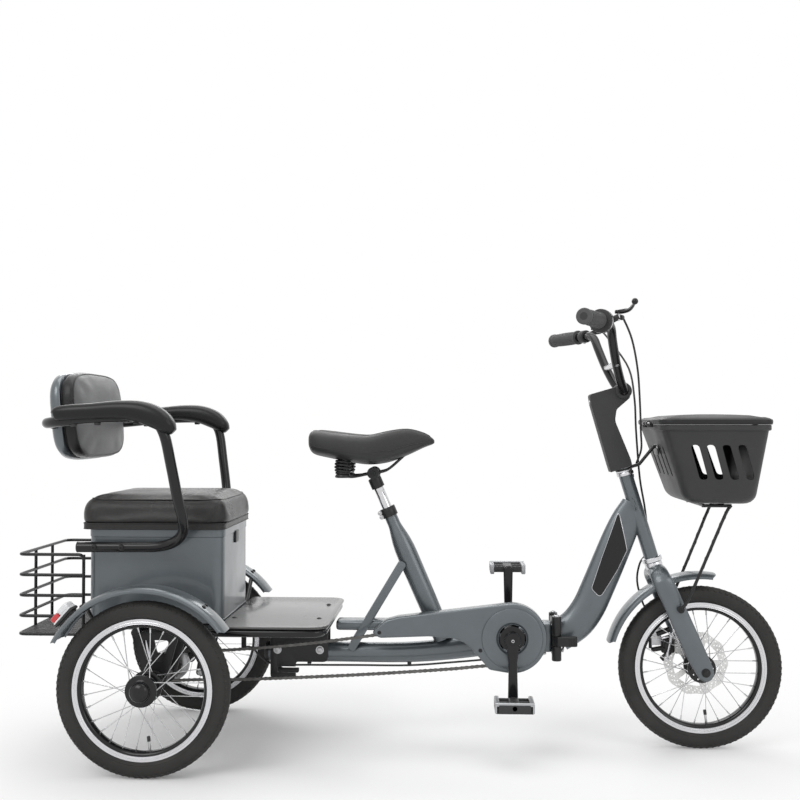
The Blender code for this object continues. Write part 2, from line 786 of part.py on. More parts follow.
def build_fold():
    z0, z1 = FOLD_Z0 + 0.006, FOLD_Z1 - 0.006
    third = (z1 - z0) / 3
    plate_low = (z0 + 0.004, z1 - 0.004)
    half = 0.034
    rear = box((FOLD_X - FOLD_PLATE, -half, plate_low[0]), (FOLD_X - GAP / 2, half, plate_low[1]), 0.002)
    web = box((FOLD_X - FOLD_PLATE, half - 0.006, z0 + third + GAP), (FOLD_X - 0.001, FOLD_PIN_Y,
                                                                  z1 - third - GAP))
    clear = [fold_knuckle(z0 - 0.01, z0 + third + GAP * 2), fold_knuckle(z1 - third - GAP * 2, z1 + 0.01)]
    for tool in clear:
        tool.data.transform(Matrix.Translation((FOLD_X, FOLD_PIN_Y, 0)) @ Matrix.Diagonal((1.06, 1.06, 1, 1))
                            @ Matrix.Translation((-FOLD_X, -FOLD_PIN_Y, 0)))
    rear = cut(join(rear, web), *clear)
    rear = join(rear, fold_knuckle(z0 + third + GAP, z1 - third - GAP))
    rear = join(rear, rod((FOLD_X, FOLD_PIN_Y, z0 - 0.001), (FOLD_X, FOLD_PIN_Y, z1 + 0.001), FOLD_PIN_R, 12))
    for low, high in ((FOLD_Z0, 0.2545), (0.2795, FOLD_Z1)):
        barrel = rod((FOLD_X, LATCH_Y, low), (FOLD_X, LATCH_Y, high), LATCH_R, 10)
        ear = box((FOLD_X - FOLD_PLATE, LATCH_Y, low + 0.008), (FOLD_X - 0.0015, -half + 0.004, high - 0.008))
        rear = join(rear, barrel, ear)
    slot = rod((FOLD_X, LATCH_Y, 0.245), (FOLD_X, LATCH_Y, 0.290), 0.0054, 12)
    node("fold_hinge_rear", cut(rear, slot), "black")
    front = box((FOLD_X + GAP / 2, -half, plate_low[0]), (FOLD_X + FOLD_PLATE, half, plate_low[1]), 0.002)
    front = cut(front, box((FOLD_X - 0.01, LATCH_Y - 0.01, 0.2), (FOLD_X + 0.014, -half + 0.0050, 0.35)))
    for low, high in ((z0, z0 + third), (z1 - third, z1)):
        web = box((FOLD_X + 0.001, half - 0.006, low), (FOLD_X + FOLD_PLATE, FOLD_PIN_Y, high))
        front = join(front, web, fold_knuckle(low, high))
    relief = rod((FOLD_X, FOLD_PIN_Y, z0 + third), (FOLD_X, FOLD_PIN_Y, z1 - third), KNUCKLE_R + 0.0008, 12)
    bore = rod((FOLD_X, FOLD_PIN_Y, 0.2), (FOLD_X, FOLD_PIN_Y, 0.35), FOLD_PIN_R + RUN, 12)
    node("fold_hinge_front", cut(front, relief, bore), "black", "front_frame")
    pin = rod((FOLD_X, LATCH_Y, 0.247), (FOLD_X, LATCH_Y, 0.288), 0.005, 12)
    eye = [(LATCH_EYE_R * math.cos(a), LATCH_EYE_R * math.sin(a)) for a in (math.radians(d) for d in range(30, 250, 30))]
    outline = [(LATCH_REACH, 0.0045), *eye, (0, -0.016), (LATCH_REACH, -0.016)]
    grip = slab(outline, LATCH_HIGH - LATCH_LOW,
                Matrix.Translation((FOLD_X, LATCH_Y, (LATCH_LOW + LATCH_HIGH) / 2)))
    node("fold_latch", join(grip, pin), "black", "fold_latch")


def build_front_frame():
    start = FOLD_X + FOLD_PLATE + GAP
    stations = [(start, 0.272, 0.040, MAIN_Y), (0.402, 0.284, 0.040, MAIN_Y), (0.430, 0.307, 0.041, MAIN_Y),
                (0.456, 0.344, 0.041, MAIN_Y), (0.478, 0.392, 0.041, 0.024), (0.502, 0.448, 0.041, 0.022),
                (0.530, 0.515, 0.040, 0.019), (0.552, 0.566, 0.036, 0.016), (0.566, 0.604, 0.026, 0.0155)]
    down = oval_run(stations)
    head = rod(head_point(0), head_point(HEAD_LEN), HEAD_R, 14)
    cup = rod(head_point(0.0), head_point(0.012), 0.0245, 14)
    ring = rod(head_point(HEAD_LEN - 0.008), head_point(HEAD_LEN), 0.0212, 14)
    frame = join(down, head, cup, ring)
    for sign in (-1, 1):
        panel = slab(rounded([(0.512, 0.556), (0.545, 0.487), (0.520, 0.440), (0.478, 0.364),
                              (0.458, 0.386), (0.486, 0.470)], 0.006, 1), 0.010,
                     side_frame(sign * 0.026))
        frame = cut(frame, panel)
    bore = rod(head_point(-0.05), head_point(HEAD_LEN + 0.05), round_bore(STEERER_R, 14), 14)
    beyond = box((FOLD_X - 0.1, -0.1, 0.1), (FOLD_X + FOLD_PLATE + GAP, 0.1, 0.4))
    node("front_frame_tube", cut(frame, bore, beyond), "grey", "front_frame")


# Fork, stem, bars

def leg_ring(x, y, z, deep, thin, count=8):
    tilt = math.radians(24)
    across = Vector((math.cos(tilt), 0, math.sin(tilt)))
    return [Vector((x, y, z)) + across * (deep * math.cos(a)) + Vector((0, thin * math.sin(a), 0))
            for a in (math.tau * k / count for k in range(count))]


def build_fork():
    fork = rod(head_point(-0.034), head_point(STEM_FOOT + 0.020), STEERER_R, 12)
    race = rod(head_point(-0.012), head_point(-GAP), 0.0215, 10)
    locknut = rod(head_point(HEAD_LEN + GAP), head_point(HEAD_LEN + LOCKNUT_H), 0.0205, 10)
    fork = join(fork, race, locknut)
    crown = []
    base = head_point(-0.024)
    for y, drop in ((-FORK_HALF, 0.014), (-0.036, 0.0), (0.036, 0.0), (FORK_HALF, 0.014)):
        ring = []
        for k in range(8):
            a = math.tau * k / 8
            ring.append(Vector((base.x + 0.022 * math.cos(a), y, base.z - drop + CROWN_H * math.sin(a))))
        crown.append(ring)
    fork = join(fork, loft(crown))
    for sign in (-1, 1):
        y = sign * FORK_HALF
        rings = [leg_ring(0.617, y, 0.446, 0.019, LEG_THIN), leg_ring(0.632, y, 0.408, 0.023, LEG_THIN),
                 leg_ring(0.672, y, 0.318, LEG_DEEP, LEG_THIN), leg_ring(0.706, y, 0.242, LEG_DEEP, LEG_THIN),
                 leg_ring(FRONT_X, y, AXLE_Z, 0.021, 0.009), leg_ring(0.735, y, 0.181, 0.012, 0.007)]
        fork = join(fork, loft(rings))
    axle = rod((FRONT_X, -FORK_HALF - 0.018, AXLE_Z), (FRONT_X, FORK_HALF + 0.018, AXLE_Z),
               FRONT_AXLE_R, 10)
    fork = join(fork, axle)
    for sign in (-1, 1):
        nut = rod((FRONT_X, sign * (FORK_HALF + 0.006), AXLE_Z), (FRONT_X, sign * (FORK_HALF + 0.015), AXLE_Z),
                  0.010, 6)
        fork = join(fork, nut)
    node("fork", fork, "grey", "steering")


def bar_path(sign):
    return [(0.541, sign * 0.026, 0.880), (0.538, sign * 0.036, 0.886), (0.528, sign * 0.056, 0.905),
            (0.513, sign * 0.090, 0.945), (0.499, sign * 0.128, 0.995), (0.493, sign * 0.150, 1.020),
            (0.486, sign * 0.170, 1.030), (0.474, sign * 0.198, 1.033), (0.406, sign * 0.345, 1.033)]


BAR_R = 0.011
LEVER_PIN_R = 0.004
LEVER_PIN_H = 0.020
LEVER_BARREL_R = 0.0065
LEVER_EYE_R = 0.0085
LEVER_EYE_H = 0.008
LEVER_REACH = 0.078
LEVER_OPEN = 0.060
LEVER_RISE = 0.024


def bar_point(share, sign, up=0.0, forward=0.0):
    inner, outer = Vector(bar_path(sign)[-2]), Vector(bar_path(sign)[-1])
    run = (outer - inner).normalized()
    fore = run.cross(Vector((0, 0, sign)))
    if fore.x < 0:
        fore = -fore
    return inner.lerp(outer, share) + Vector((0, 0, up)) + fore * forward


def build_stem():
    outline = rounded([(0.458, 0.871), (0.520, 0.889), (0.541, 0.900), (0.560, 0.878), (0.556, 0.862),
                       (0.524, 0.834), (0.520, 0.806), (0.558, 0.712), (0.570, 0.660), (0.520, 0.645),
                       (0.503, 0.700), (0.462, 0.845)],
                      [0, 0.010, 0.020, 0, 0.010, 0.020, 0.030, 0, 0, 0, 0, 0.010], 1)
    blade = slab(outline, 0.046, side_frame(0), (), 0.007)
    barrel = rod((0.541, -0.028, 0.880), (0.541, 0.028, 0.880), 0.020, 14)
    clear = rod(head_point(HEAD_LEN - 0.05), head_point(STEM_FOOT + 0.0205), STEERER_R + GAP, 12)
    bore = rod((0.541, -0.05, 0.880), (0.541, 0.05, 0.880), round_bore(BAR_R, 12), 12)
    below = axis_frame(head_point(STEM_FOOT), HEAD_UP)
    trim = box((-0.06, -0.06, -0.08), (0.06, 0.06, 0), 0, below)
    stem = cut(join(blade, barrel), clear, trim, bore)
    flare = 0.030
    clamp_clear = [rod((0.541, sign * 0.022, 0.880), (0.541 - 0.004, sign * 0.050, 0.889), flare / 2, 12)
                   for sign in (-1, 1)]
    node("stem", cut(stem, *clamp_clear), "black", "steering")


def build_bars():
    path = list(reversed(bar_path(-1))) + bar_path(1)
    bar = tube(path, BAR_R, 2)
    brace = rod((0.514, -0.088, 0.942), (0.514, 0.088, 0.942), 0.008, 10)
    mounts = [lever_mount(sign) for sign in (-1, 1)]
    node("handlebar", join(bar, brace, *mounts), "black", "steering")
    for side, sign in (("right", -1), ("left", 1)):
        run = (bar_point(1, sign) - bar_point(0, sign)).normalized()
        inner, outer = bar_point(0.365 if sign < 0 else 0.20, sign), bar_point(1.0, sign) + run * 0.004
        length = (outer - inner).length
        blind = length - 0.0037
        bore = round_bore(BAR_R, 12)
        grip = turned([(bore, 0), (0.0185, 0), (0.0185, 0.005), (0.0163, 0.007),
                       (0.0172, length - 0.004), (0.0150, length), (0, length), (0, blind), (bore, blind)],
                      axis_frame(inner, run), 12)
        node("grip_" + side, grip, "rubber", "steering")
    run = (bar_point(1, -1) - bar_point(0, -1)).normalized()
    bell = turned([(BAR_R + RUN, 0), (0.024, 0), (0.0275, 0.004), (0.0275, 0.016), (0.021, 0.022),
                   (BAR_R + RUN, 0.022)], axis_frame(bar_point(0.225, -1), run), 16)
    node("bell_ring", bell, "plastic", "bell_ring")
    for side, sign in (("right", -1), ("left", 1)):
        build_lever(side, sign)


def lever_pivot(sign):
    return bar_point(0.02, sign, 0.012, 0.030)


def lever_mount(sign):
    run = (bar_point(1, sign) - bar_point(0, sign)).normalized()
    at = bar_point(0.02, sign)
    clamp = rod(at - run * 0.006, at + run * 0.006, 0.0165, 10)
    mount = lever_pivot(sign)
    arm = rod(bar_point(0.02, sign, 0.006, 0.0120), mount, 0.0055, 6)
    pin = rod(mount, mount + Vector((0, 0, LEVER_PIN_H)), LEVER_PIN_R, 10)
    barrel = rod(mount - run * 0.011, mount + run * 0.006, LEVER_BARREL_R, 8)
    return join(clamp, arm, barrel, pin)


def build_lever(side, sign):
    run = (bar_point(1, sign) - bar_point(0, sign)).normalized()
    fore = (bar_point(0, sign, 0, 1) - bar_point(0, sign)).normalized()
    low = LEVER_BARREL_R + GAP
    foot = lever_pivot(sign) + Vector((0, 0, low))
    bore = round_bore(LEVER_PIN_R, 10)
    eye = turned([(bore, 0), (LEVER_EYE_R, 0), (LEVER_EYE_R, LEVER_EYE_H), (bore, LEVER_EYE_H)],
                 Matrix.Translation(foot), 10)
    start = foot + run * (bore + 0.001) + Vector((0, 0, LEVER_EYE_H / 2))
    tip = lever_pivot(sign) + run * LEVER_REACH + fore * LEVER_OPEN + Vector((0, 0, LEVER_RISE))
    path = [start, start + run * 0.008, start.lerp(tip, 0.4) + fore * 0.010, tip]
    blade = tube(path, 0.0045, 1, [0.0038, 0.0040, 0.0050, 0.0042])
    ball = bmesh.new()
    bmesh.ops.create_uvsphere(ball, u_segments=8, v_segments=5, radius=0.0075,
                              matrix=Matrix.Translation(tip))
    node("brake_lever_" + side, join(eye, blade, from_bmesh(ball)), "alloy", "brake_lever_" + side)


def fender_section():
    half = FENDER_W / 2
    return [(FENDER_R - 0.013, -half), (FENDER_R - 0.003, -half * 0.82), (FENDER_R, 0),
            (FENDER_R - 0.003, half * 0.82), (FENDER_R - 0.013, half)]


def build_front_fender():
    place = across_frame(FRONT_X, 0, AXLE_Z, math.radians(-165))
    arch = turned(fender_section(), place, 9, False, math.radians(84), FENDER_T)
    crown = head_point(-0.024)
    above = math.sqrt(FENDER_R ** 2 - (FRONT_X - crown.x) ** 2)
    tab = rod((crown.x, 0, AXLE_Z + above - 0.001), crown - Vector((0, 0, CROWN_H + GAP)), 0.006, 8)
    node("front_fender", join(arch, tab), "grey", "steering")


def build_caliper():
    y = 0.0405
    body = box((0.634, 0.028, 0.216), (0.674, 0.0475, 0.266), 0.003)
    slot = box((0.640, y - 0.0025, 0.200), (0.700, y + 0.0025, 0.300))
    arm = box((0.612, 0.030, 0.244), (0.640, 0.036, 0.292), 0.001)
    ear = box((0.662, 0.0455, 0.222), (0.690, FORK_HALF - LEG_THIN - GAP, 0.262), 0.001)
    barrel = rod((0.618, 0.033, 0.284), (0.618, 0.033, 0.304), 0.004, 8)
    node("brake_caliper", join(cut(body, slot), arm, ear, barrel), "black", "steering")


# Front basket

def basket_ring(share, inset, z, grow=0.0):
    x0 = BASKET_X0 + 0.052 * share + inset - grow
    x1 = BASKET_X1 - 0.022 * share - inset + grow
    half = BASKET_HALF - 0.030 * share - inset + grow
    corners = [(x0, -half), (x1, -half), (x1, half), (x0, half)]
    flat = rounded(corners, 0.040 - inset, 2)
    return [Vector((x, y, z)) for x, y in flat]


def build_basket():
    low, high = BASKET_BOTTOM, BASKET_TOP
    outer = loft([basket_ring(1.12, 0.004, low), basket_ring(1.0, 0, low + 0.012), basket_ring(0, 0, high)])
    wall = BASKET_WALL
    inner = loft([basket_ring(1.12, 0.004 + wall, low + wall), basket_ring(1.0, wall, low + 0.014),
                  basket_ring(0, wall, high + 0.002)])
    band = loft([basket_ring(0.06, 0, high - 0.014, 0.004), basket_ring(0, 0, high - 0.0002, 0.005)])
    shell = cut(join(outer, band), inner)
    for i in range(4):
        x = 0.700 + 0.038 * i
        slot = rounded([(x - 0.008, 0.748), (x + 0.008, 0.748), (x + 0.026, 0.668), (x + 0.010, 0.668)],
                       0.007, 1)
        shell = cut(shell, slab(slot, 0.5, side_frame(0)))
    for y in (-0.075, -0.025, 0.025, 0.075):
        slot = box((0.58, y - 0.007, 0.672), (0.70, y + 0.007, 0.744), 0)
        shell = cut(shell, slot)
    lug = box((BASKET_X0 - 0.016, -0.030, high - 0.016), (BASKET_X0 + 0.001, 0.030, high - 0.006), 0.001)
    pin = rod((BASKET_X0 - 0.012, -0.044, high + 0.004), (BASKET_X0 - 0.012, 0.044, high + 0.004), 0.003, 8)
    ears = [box((BASKET_X0 - 0.0165, y - 0.004, high - 0.010), (BASKET_X0 - 0.0075, y + 0.004, high + 0.0085))
            for y in (-0.026, 0.026)]
    node("front_basket", join(shell, lug, *ears, pin, basket_stay()), "plastic", "steering")
    lid = loft([basket_ring(0, 0, high + GAP, 0.006), basket_ring(0, 0, high + 0.012, 0.008),
                basket_ring(0, 0.012, high + LID_T, 0.006)])
    clear = box((BASKET_X0 - 0.05, -0.036, high - 0.02), (BASKET_X0 - 0.0035, 0.036, high + 0.03))
    lid = cut(lid, clear)
    for y in (-0.038, 0.038):
        knuckle = rod((BASKET_X0 - 0.012, y - 0.005, high + 0.004), (BASKET_X0 - 0.012, y + 0.005,
                                                                     high + 0.004), 0.0062, 12)
        web = box((BASKET_X0 - 0.011, y - 0.005, high + 0.003), (BASKET_X0 + 0.004, y + 0.005, high + 0.0095))
        lid = join(lid, knuckle, web)
    bore = rod((BASKET_X0 - 0.012, -0.06, high + 0.004), (BASKET_X0 - 0.012, 0.06, high + 0.004),
               0.003 + RUN, 8)
    node("basket_lid", cut(lid, bore), "plastic", "basket_lid")


def build_basket_support():
    y0, y1 = 0.085, FORK_HALF + LEG_THIN + 0.006
    frame = tube([(0.722, -y0, BASKET_BOTTOM - 0.006), (0.722, y0, BASKET_BOTTOM - 0.006)], 0.0042, 1)
    frame = join(frame, tube([(0.770, -y0, BASKET_BOTTOM - 0.006), (0.770, y0, BASKET_BOTTOM - 0.006)],
                             0.0042, 1))
    for sign in (-1, 1):
        side = tube([(0.715, sign * y0, BASKET_BOTTOM - 0.0062), (0.785, sign * y0, BASKET_BOTTOM - 0.0062)],
                    0.0042, 1)
        leg = tube([(0.785, sign * y0, BASKET_BOTTOM - 0.0062), (0.772, sign * y0, BASKET_BOTTOM - 0.026),
                    (0.685, sign * (y1 + 0.002), 0.378), (0.668, sign * y1, 0.352)], 0.0042, 1)
        foot = rod((0.668, sign * (FORK_HALF + LEG_THIN + GAP), 0.352), (0.668, sign * (y1 + 0.006), 0.352),
                   0.008, 10)
        frame = join(frame, side, leg, foot)
    node("basket_struts", frame, "black", "steering")


def basket_stay():
    foot = HEAD_LEN + LOCKNUT_H + GAP
    grab = head_point(foot + BRACKET_H / 2, 0.018)
    back = Vector((BASKET_X0 + 0.052 * (BASKET_TOP - 0.740) / (BASKET_TOP - BASKET_BOTTOM) + 0.0015, 0, 0.740))
    flat = axis_frame(head_point(foot), HEAD_UP)
    inner = round_bore(STEERER_R, 12)
    washer = turned([(inner, 0), (0.0215, 0), (0.0215, BRACKET_H), (inner, BRACKET_H)], flat, 12)
    blade = box((0.018, -0.008, 0), (0.040, 0.008, BRACKET_H), 0, flat)
    start = grab + (head_point(0, 1) - head_point(0)) * 0.016
    stay = tube([start, start + Vector((0.018, 0, 0.008)), back - Vector((0.02, 0, 0.002)), back], 0.0042, 2)
    return join(washer, blade, stay)


# Carriage behind the fold

def build_carriage():
    rail_z = RAIL_TOP - RAIL_R
    deck_z = RAIL_TOP - DECK_TUBE_R
    y = BOARD_Y - DECK_TUBE_R - 0.003
    x = BOARD_X1 - DECK_TUBE_R - 0.003
    corner = BOARD_CORNER - DECK_TUBE_R
    loop = rounded([(BOARD_X0 - 0.030, -y), (x, -y), (x, y), (BOARD_X0 - 0.030, y)], [0, corner, corner, 0], 3)
    frame = six_sided([(px, py, deck_z) for px, py in loop], DECK_TUBE_R)
    frame = join(frame, six_sided([(BOARD_X0 - 0.020, -y, deck_z), (BOARD_X0 - 0.020, y, deck_z)], DECK_TUBE_R))
    for sign in (-1, 1):
        rail = six_sided([(BOX_X0 + 0.004, sign * RAIL_Y, rail_z), (-0.205, sign * RAIL_Y, rail_z)], RAIL_R)
        frame = join(frame, rail)
    reach = RAIL_Y + 0.03
    frame = join(frame, six_sided([(BOX_X0 + 0.010, -reach, rail_z), (BOX_X0 + 0.010, reach, rail_z)], RAIL_R))
    for px in (REAR_X - 0.045, REAR_X + 0.045):
        frame = join(frame, six_sided([(px, -0.205, rail_z), (px, 0.205, rail_z)], RAIL_R))
    for py in (-0.195, -0.105, 0.105, 0.195):
        hanger = slab([(REAR_X - 0.058, rail_z), (REAR_X + 0.058, rail_z), (REAR_X + 0.020, AXLE_Z - 0.026),
                       (REAR_X - 0.020, AXLE_Z - 0.026)], 0.006, side_frame(py))
        frame = join(frame, hanger)
    for low, high in ((-0.206, -0.094), (0.094, 0.206)):
        frame = join(frame, rod((REAR_X, low, AXLE_Z), (REAR_X, high, AXLE_Z), 0.021, 10))
    for sign in (-1, 1):
        plate = slab([(-0.336, 0.306), (-0.192, 0.306), (-0.192, 0.206), (-0.272, 0.206), (-0.272, 0.194),
                      (-0.318, 0.194), (-0.318, 0.179), (-0.272, 0.179), (-0.272, 0.166), (-0.336, 0.166)],
                     0.004, side_frame(sign * (MAIN_Y + 0.0026)))
        frame = join(frame, plate)
        for px in (-0.318, -0.212):
            frame = join(frame, rod((px, sign * (MAIN_Y + 0.003), 0.236), (px, sign * (MAIN_Y + 0.009), 0.236),
                                    0.0075, 6))
    fender_y = WHEEL_Y - FENDER_W / 2 - FENDER_T / 2 - GAP
    for sign in (-1, 1):
        for px in (REAR_X + 0.140, REAR_X - 0.140):
            lip_z = AXLE_Z + math.sqrt((FENDER_R - 0.013) ** 2 - 0.140 ** 2) + 0.0045
            stay = tube([(px, sign * (RAIL_Y + 0.002), rail_z), (px, sign * 0.185, rail_z + 0.004),
                         (px, sign * (fender_y - 0.020), lip_z), (px, sign * fender_y, lip_z)], 0.006, 1)
            frame = join(frame, stay)
    anchor = box((-0.408, -0.036, 0.236), (-0.396, -0.030, rail_z + 0.004), 0)
    cross = box((-0.410, -RAIL_Y, rail_z - 0.004), (-0.394, -0.026, rail_z + 0.004), 0)
    frame = join(frame, cross, anchor)
    bore = rod((REAR_X, -0.3, AXLE_Z), (REAR_X, 0.3, AXLE_Z), round_bore(REAR_AXLE_R, 10), 10)
    main_clear = box((-0.350, -MAIN_Y - GAP, 0.19), (-0.16, MAIN_Y + GAP, 0.2565))
    node("carriage", cut(frame, bore, main_clear), "black")
    outline = rounded([(BOARD_X0, -BOARD_Y), (BOARD_X1, -BOARD_Y), (BOARD_X1, BOARD_Y), (BOARD_X0, BOARD_Y)],
                      [0, BOARD_CORNER, BOARD_CORNER, 0], 4)
    top = RAIL_TOP + GAP + BOARD_T / 2
    node("floor_board", slab(outline, BOARD_T, Matrix.Translation((0, 0, top)), (), 0.0012), "board")


def build_chain_tensioner():
    pivot = Vector((-0.484, 0, RAIL_TOP - RAIL_R - 0.016))
    roller = Vector((-0.500, 0, 0.1895))
    y = CHAIN_Y
    arm = slab(rounded([(pivot.x - 0.009, pivot.z + 0.006), (pivot.x + 0.009, pivot.z + 0.006),
                        (roller.x + 0.007, roller.z - 0.006), (roller.x - 0.007, roller.z - 0.006)], 0.004, 1),
               0.004, side_frame(-0.0795))
    foot = box((pivot.x - 0.012, -0.112, pivot.z + 0.001), (pivot.x + 0.012, -0.078, pivot.z + 0.0032), 0)
    axle = rod((roller.x, -0.0795, roller.z), (roller.x, y + 0.008, roller.z), 0.004, 10)
    wheel = turned([(0, -0.007), (0.0125, -0.007), (0.0125, -0.0045), (0.0085, -0.0045), (0.0085, 0.0045),
                    (0.0125, 0.0045), (0.0125, 0.007), (0, 0.007)], across_frame(roller.x, y, roller.z), 12)
    node("chain_tensioner", join(arm, foot, axle, wheel), "black")


def build_rear_fenders():
    for side, sign in (("right", -1), ("left", 1)):
        place = across_frame(REAR_X, sign * WHEEL_Y, AXLE_Z, -FENDER_START - FENDER_SWEEP)
        arch = turned(fender_section(), place, FENDER_STEPS, False, FENDER_SWEEP, FENDER_T)
        node("fender_" + side, arch, "grey")
        half_step = FENDER_SWEEP / FENDER_STEPS / 2
        a = FENDER_START + FENDER_SWEEP - 3 * half_step
        out = Vector((math.cos(a), 0, math.sin(a)))
        height = (FENDER_R + FENDER_T / 2) * math.cos(half_step) + GAP
        base = Vector((REAR_X, sign * (WHEEL_Y - 0.006), AXLE_Z)) + out * height
        turn = axis_frame(base, out)
        foot = box((-0.020, -0.017, 0), (0.020, 0.017, 0.010), 0.002, turn)
        lens = box((-0.022, -0.021, 0.008), (0.022, 0.021, 0.030), 0.004, turn)
        node("rear_lamp_" + side, join(foot, lens), "red")


def wire_run(z):
    flat = rounded([(CRATE_FRONT, -CRATE_Y), (CRATE_X, -CRATE_Y), (CRATE_X, CRATE_Y), (CRATE_FRONT, CRATE_Y)],
                   [0, 0.020, 0.020, 0], 1)
    return [(x, y, z) for x, y in flat]


def build_crate():
    solids = []
    for z in CRATE_RAILS:
        solids.append(tube(wire_run(z), WIRE_R, 0))
    low, high = CRATE_RAILS[-1], CRATE_RAILS[0]
    for x, y in ((CRATE_FRONT, CRATE_Y), (CRATE_X, 0.055)):
        for sign in (-1, 1):
            solids.append(tube([(x, sign * y, low - 0.004), (x, sign * y, high + 0.0035)], WIRE_R, 0))
    floor = box((CRATE_X + 0.001, -CRATE_Y + 0.001, low - 0.0012), (CRATE_FRONT + 0.003, CRATE_Y - 0.001,
                                                                     low + 0.0012), 0)
    crate = join(*solids, floor)
    under_rail = RAIL_TOP - 2 * RAIL_R - GAP
    tongue = [box((CRATE_FRONT - 0.02, s * RAIL_Y - 0.012, under_rail - 0.004), (BOX_X0 + 0.030, s * RAIL_Y + 0.012,
                                                                             under_rail), 0) for s in (-1, 1)]
    node("rear_crate", join(crate, *tongue), "black")


# Passenger seat

def box_ring(z, grow=0.0, corner=BOX_CORNER):
    flat = rounded([(BOX_X0 - grow, -BOX_Y - grow), (BOX_X1 + grow, -BOX_Y - grow),
                    (BOX_X1 + grow, BOX_Y + grow), (BOX_X0 - grow, BOX_Y + grow)], corner, 2)
    return [Vector((x, y, z)) for x, y in flat]


def build_seat_box():
    low = RAIL_TOP + GAP
    outer = loft([box_ring(low), box_ring(BOX_TOP)])
    wall = BOX_WALL
    inner = loft([box_ring(low + wall, -wall, BOX_CORNER - wall), box_ring(BOX_TOP + 0.01, -wall,
                                                                           BOX_CORNER - wall)])
    shell = cut(outer, inner)
    for sign in (-1, 1):
        for x in (-0.727, -0.662):
            spacer = rod((x, sign * (BOX_Y - 0.001), 0.5062), (x, sign * (0.185 - ARM_R - GAP), 0.5062),
                         0.008, 10)
            shell = join(shell, spacer)
    hinge = rod((BOX_X0 - 0.010, -0.09, BOX_TOP - 0.004), (BOX_X0 - 0.010, 0.09, BOX_TOP - 0.004), 0.004, 10)
    leaf = box((BOX_X0 - 0.011, -0.09, BOX_TOP - 0.030), (BOX_X0 + 0.001, 0.09, BOX_TOP - 0.0035), 0)
    node("storage_box", join(shell, leaf, hinge), "grey")


def pillow(low, high, crown, draw, cuts):
    low, high = Vector(low), Vector(high)
    mid, half = (low + high) / 2, (high - low) / 2
    bm = bmesh.new()
    bmesh.ops.create_cube(bm, size=2)
    bmesh.ops.subdivide_edges(bm, edges=bm.edges[:], cuts=cuts, use_grid_fill=True)
    for v in bm.verts:
        x, y, z = v.co
        pull = 1 - draw * (1 - z * z)
        rise = crown * (1 - x * x) * (1 - y * y) if z > 0 else 0.0
        v.co = Vector((mid.x + half.x * x * pull, mid.y + half.y * y * pull, mid.z + half.z * z + rise * z))
    obj = from_bmesh(bm)
    sub = obj.modifiers.new("round", "SUBSURF")
    sub.levels = 1
    sub.render_levels = 1
    return baked(obj)


def build_cushion():
    over = CUSHION_OVER
    base = BOX_TOP + GAP
    band = loft([box_ring(base, over, 0.034), box_ring(base + BAND_H, over, 0.034)])
    pad = pillow((BOX_X0 - over - 0.004, -BOX_Y - over - 0.006, base + BAND_H - 0.010),
                 (BOX_X1 + over + 0.004, BOX_Y + over + 0.006, base + CUSHION_H + 0.012), 0.010, -0.01, 2)
    under = box((-1, -1, 0), (0, 1, base + BAND_H - 0.002))
    pad = cut(pad, under)
    lid = join(band, pad)
    clear = box((BOX_X0 - 0.05, -0.0905, base - 0.01), (BOX_X0 - 0.0045, 0.0905, base + 0.0012))
    lid = cut(lid, clear)
    node("seat_cushion", lid, "leather", "seat_lid")


def build_backrest():
    mid_z = (BACK_LOW + BACK_HIGH) / 2
    half_z = (BACK_HIGH - BACK_LOW) / 2
    place = Matrix.Translation((-0.813, 0, mid_z)) @ Matrix.Rotation(BACK_LEAN, 4, "Y") @ Matrix.Rotation(
        math.pi / 2, 4, "Y")
    back = Matrix.Translation((-0.813, 0, mid_z)) @ Matrix.Rotation(BACK_LEAN, 4, "Y") @ Matrix.Rotation(
        -math.pi / 2, 4, "Y")
    pad = pillow((-half_z, -BACK_HALF, -0.020), (half_z, BACK_HALF, 0.038), 0.010, 0.0, 2)
    trim = box((-1, -1, -1), (1, 1, 0))
    pad = cut(pad, trim)
    pad.data.transform(place)
    node("backrest_pad", pad, "leather")
    shell = pillow((-half_z, -BACK_HALF, -0.020), (half_z, BACK_HALF, 0.026), 0.012, 0.0, 2)
    trim = box((-1, -1, -1), (1, 1, GAP))
    shell = cut(shell, trim)
    shell.data.transform(back)
    bosses = [rod((ARM_END_X, sign * (BACK_HALF - 0.030), ARM_END_Z), (ARM_END_X, sign * (ARM_END_Y - GAP), ARM_END_Z), 0.010, 8)
              for sign in (-1, 1)]
    node("backrest_shell", join(shell, *bosses), "grey")


def arm_path(sign):
    return [(-0.770, sign * 0.185, 0.5060), (-0.640, sign * 0.185, 0.5065), (-0.575, sign * 0.186, 0.5085),
            (-0.535, sign * 0.197, 0.521), (-0.509, sign * 0.222, 0.546), (-0.504, sign * 0.246, 0.580),
            (-0.511, sign * 0.262, 0.625), (-0.523, sign * 0.275, 0.700), (-0.536, sign * 0.287, 0.772),
            (-0.556, sign * ARM_TOP_Y, 0.802), (-0.595, sign * ARM_TOP_Y, 0.814),
            (-0.700, sign * ARM_TOP_Y, 0.812), (-0.770, sign * 0.286, 0.805), (-0.808, sign * 0.266, 0.801),
            (ARM_END_X, sign * 0.236, ARM_END_Z), (ARM_END_X, sign * ARM_END_Y, ARM_END_Z)]


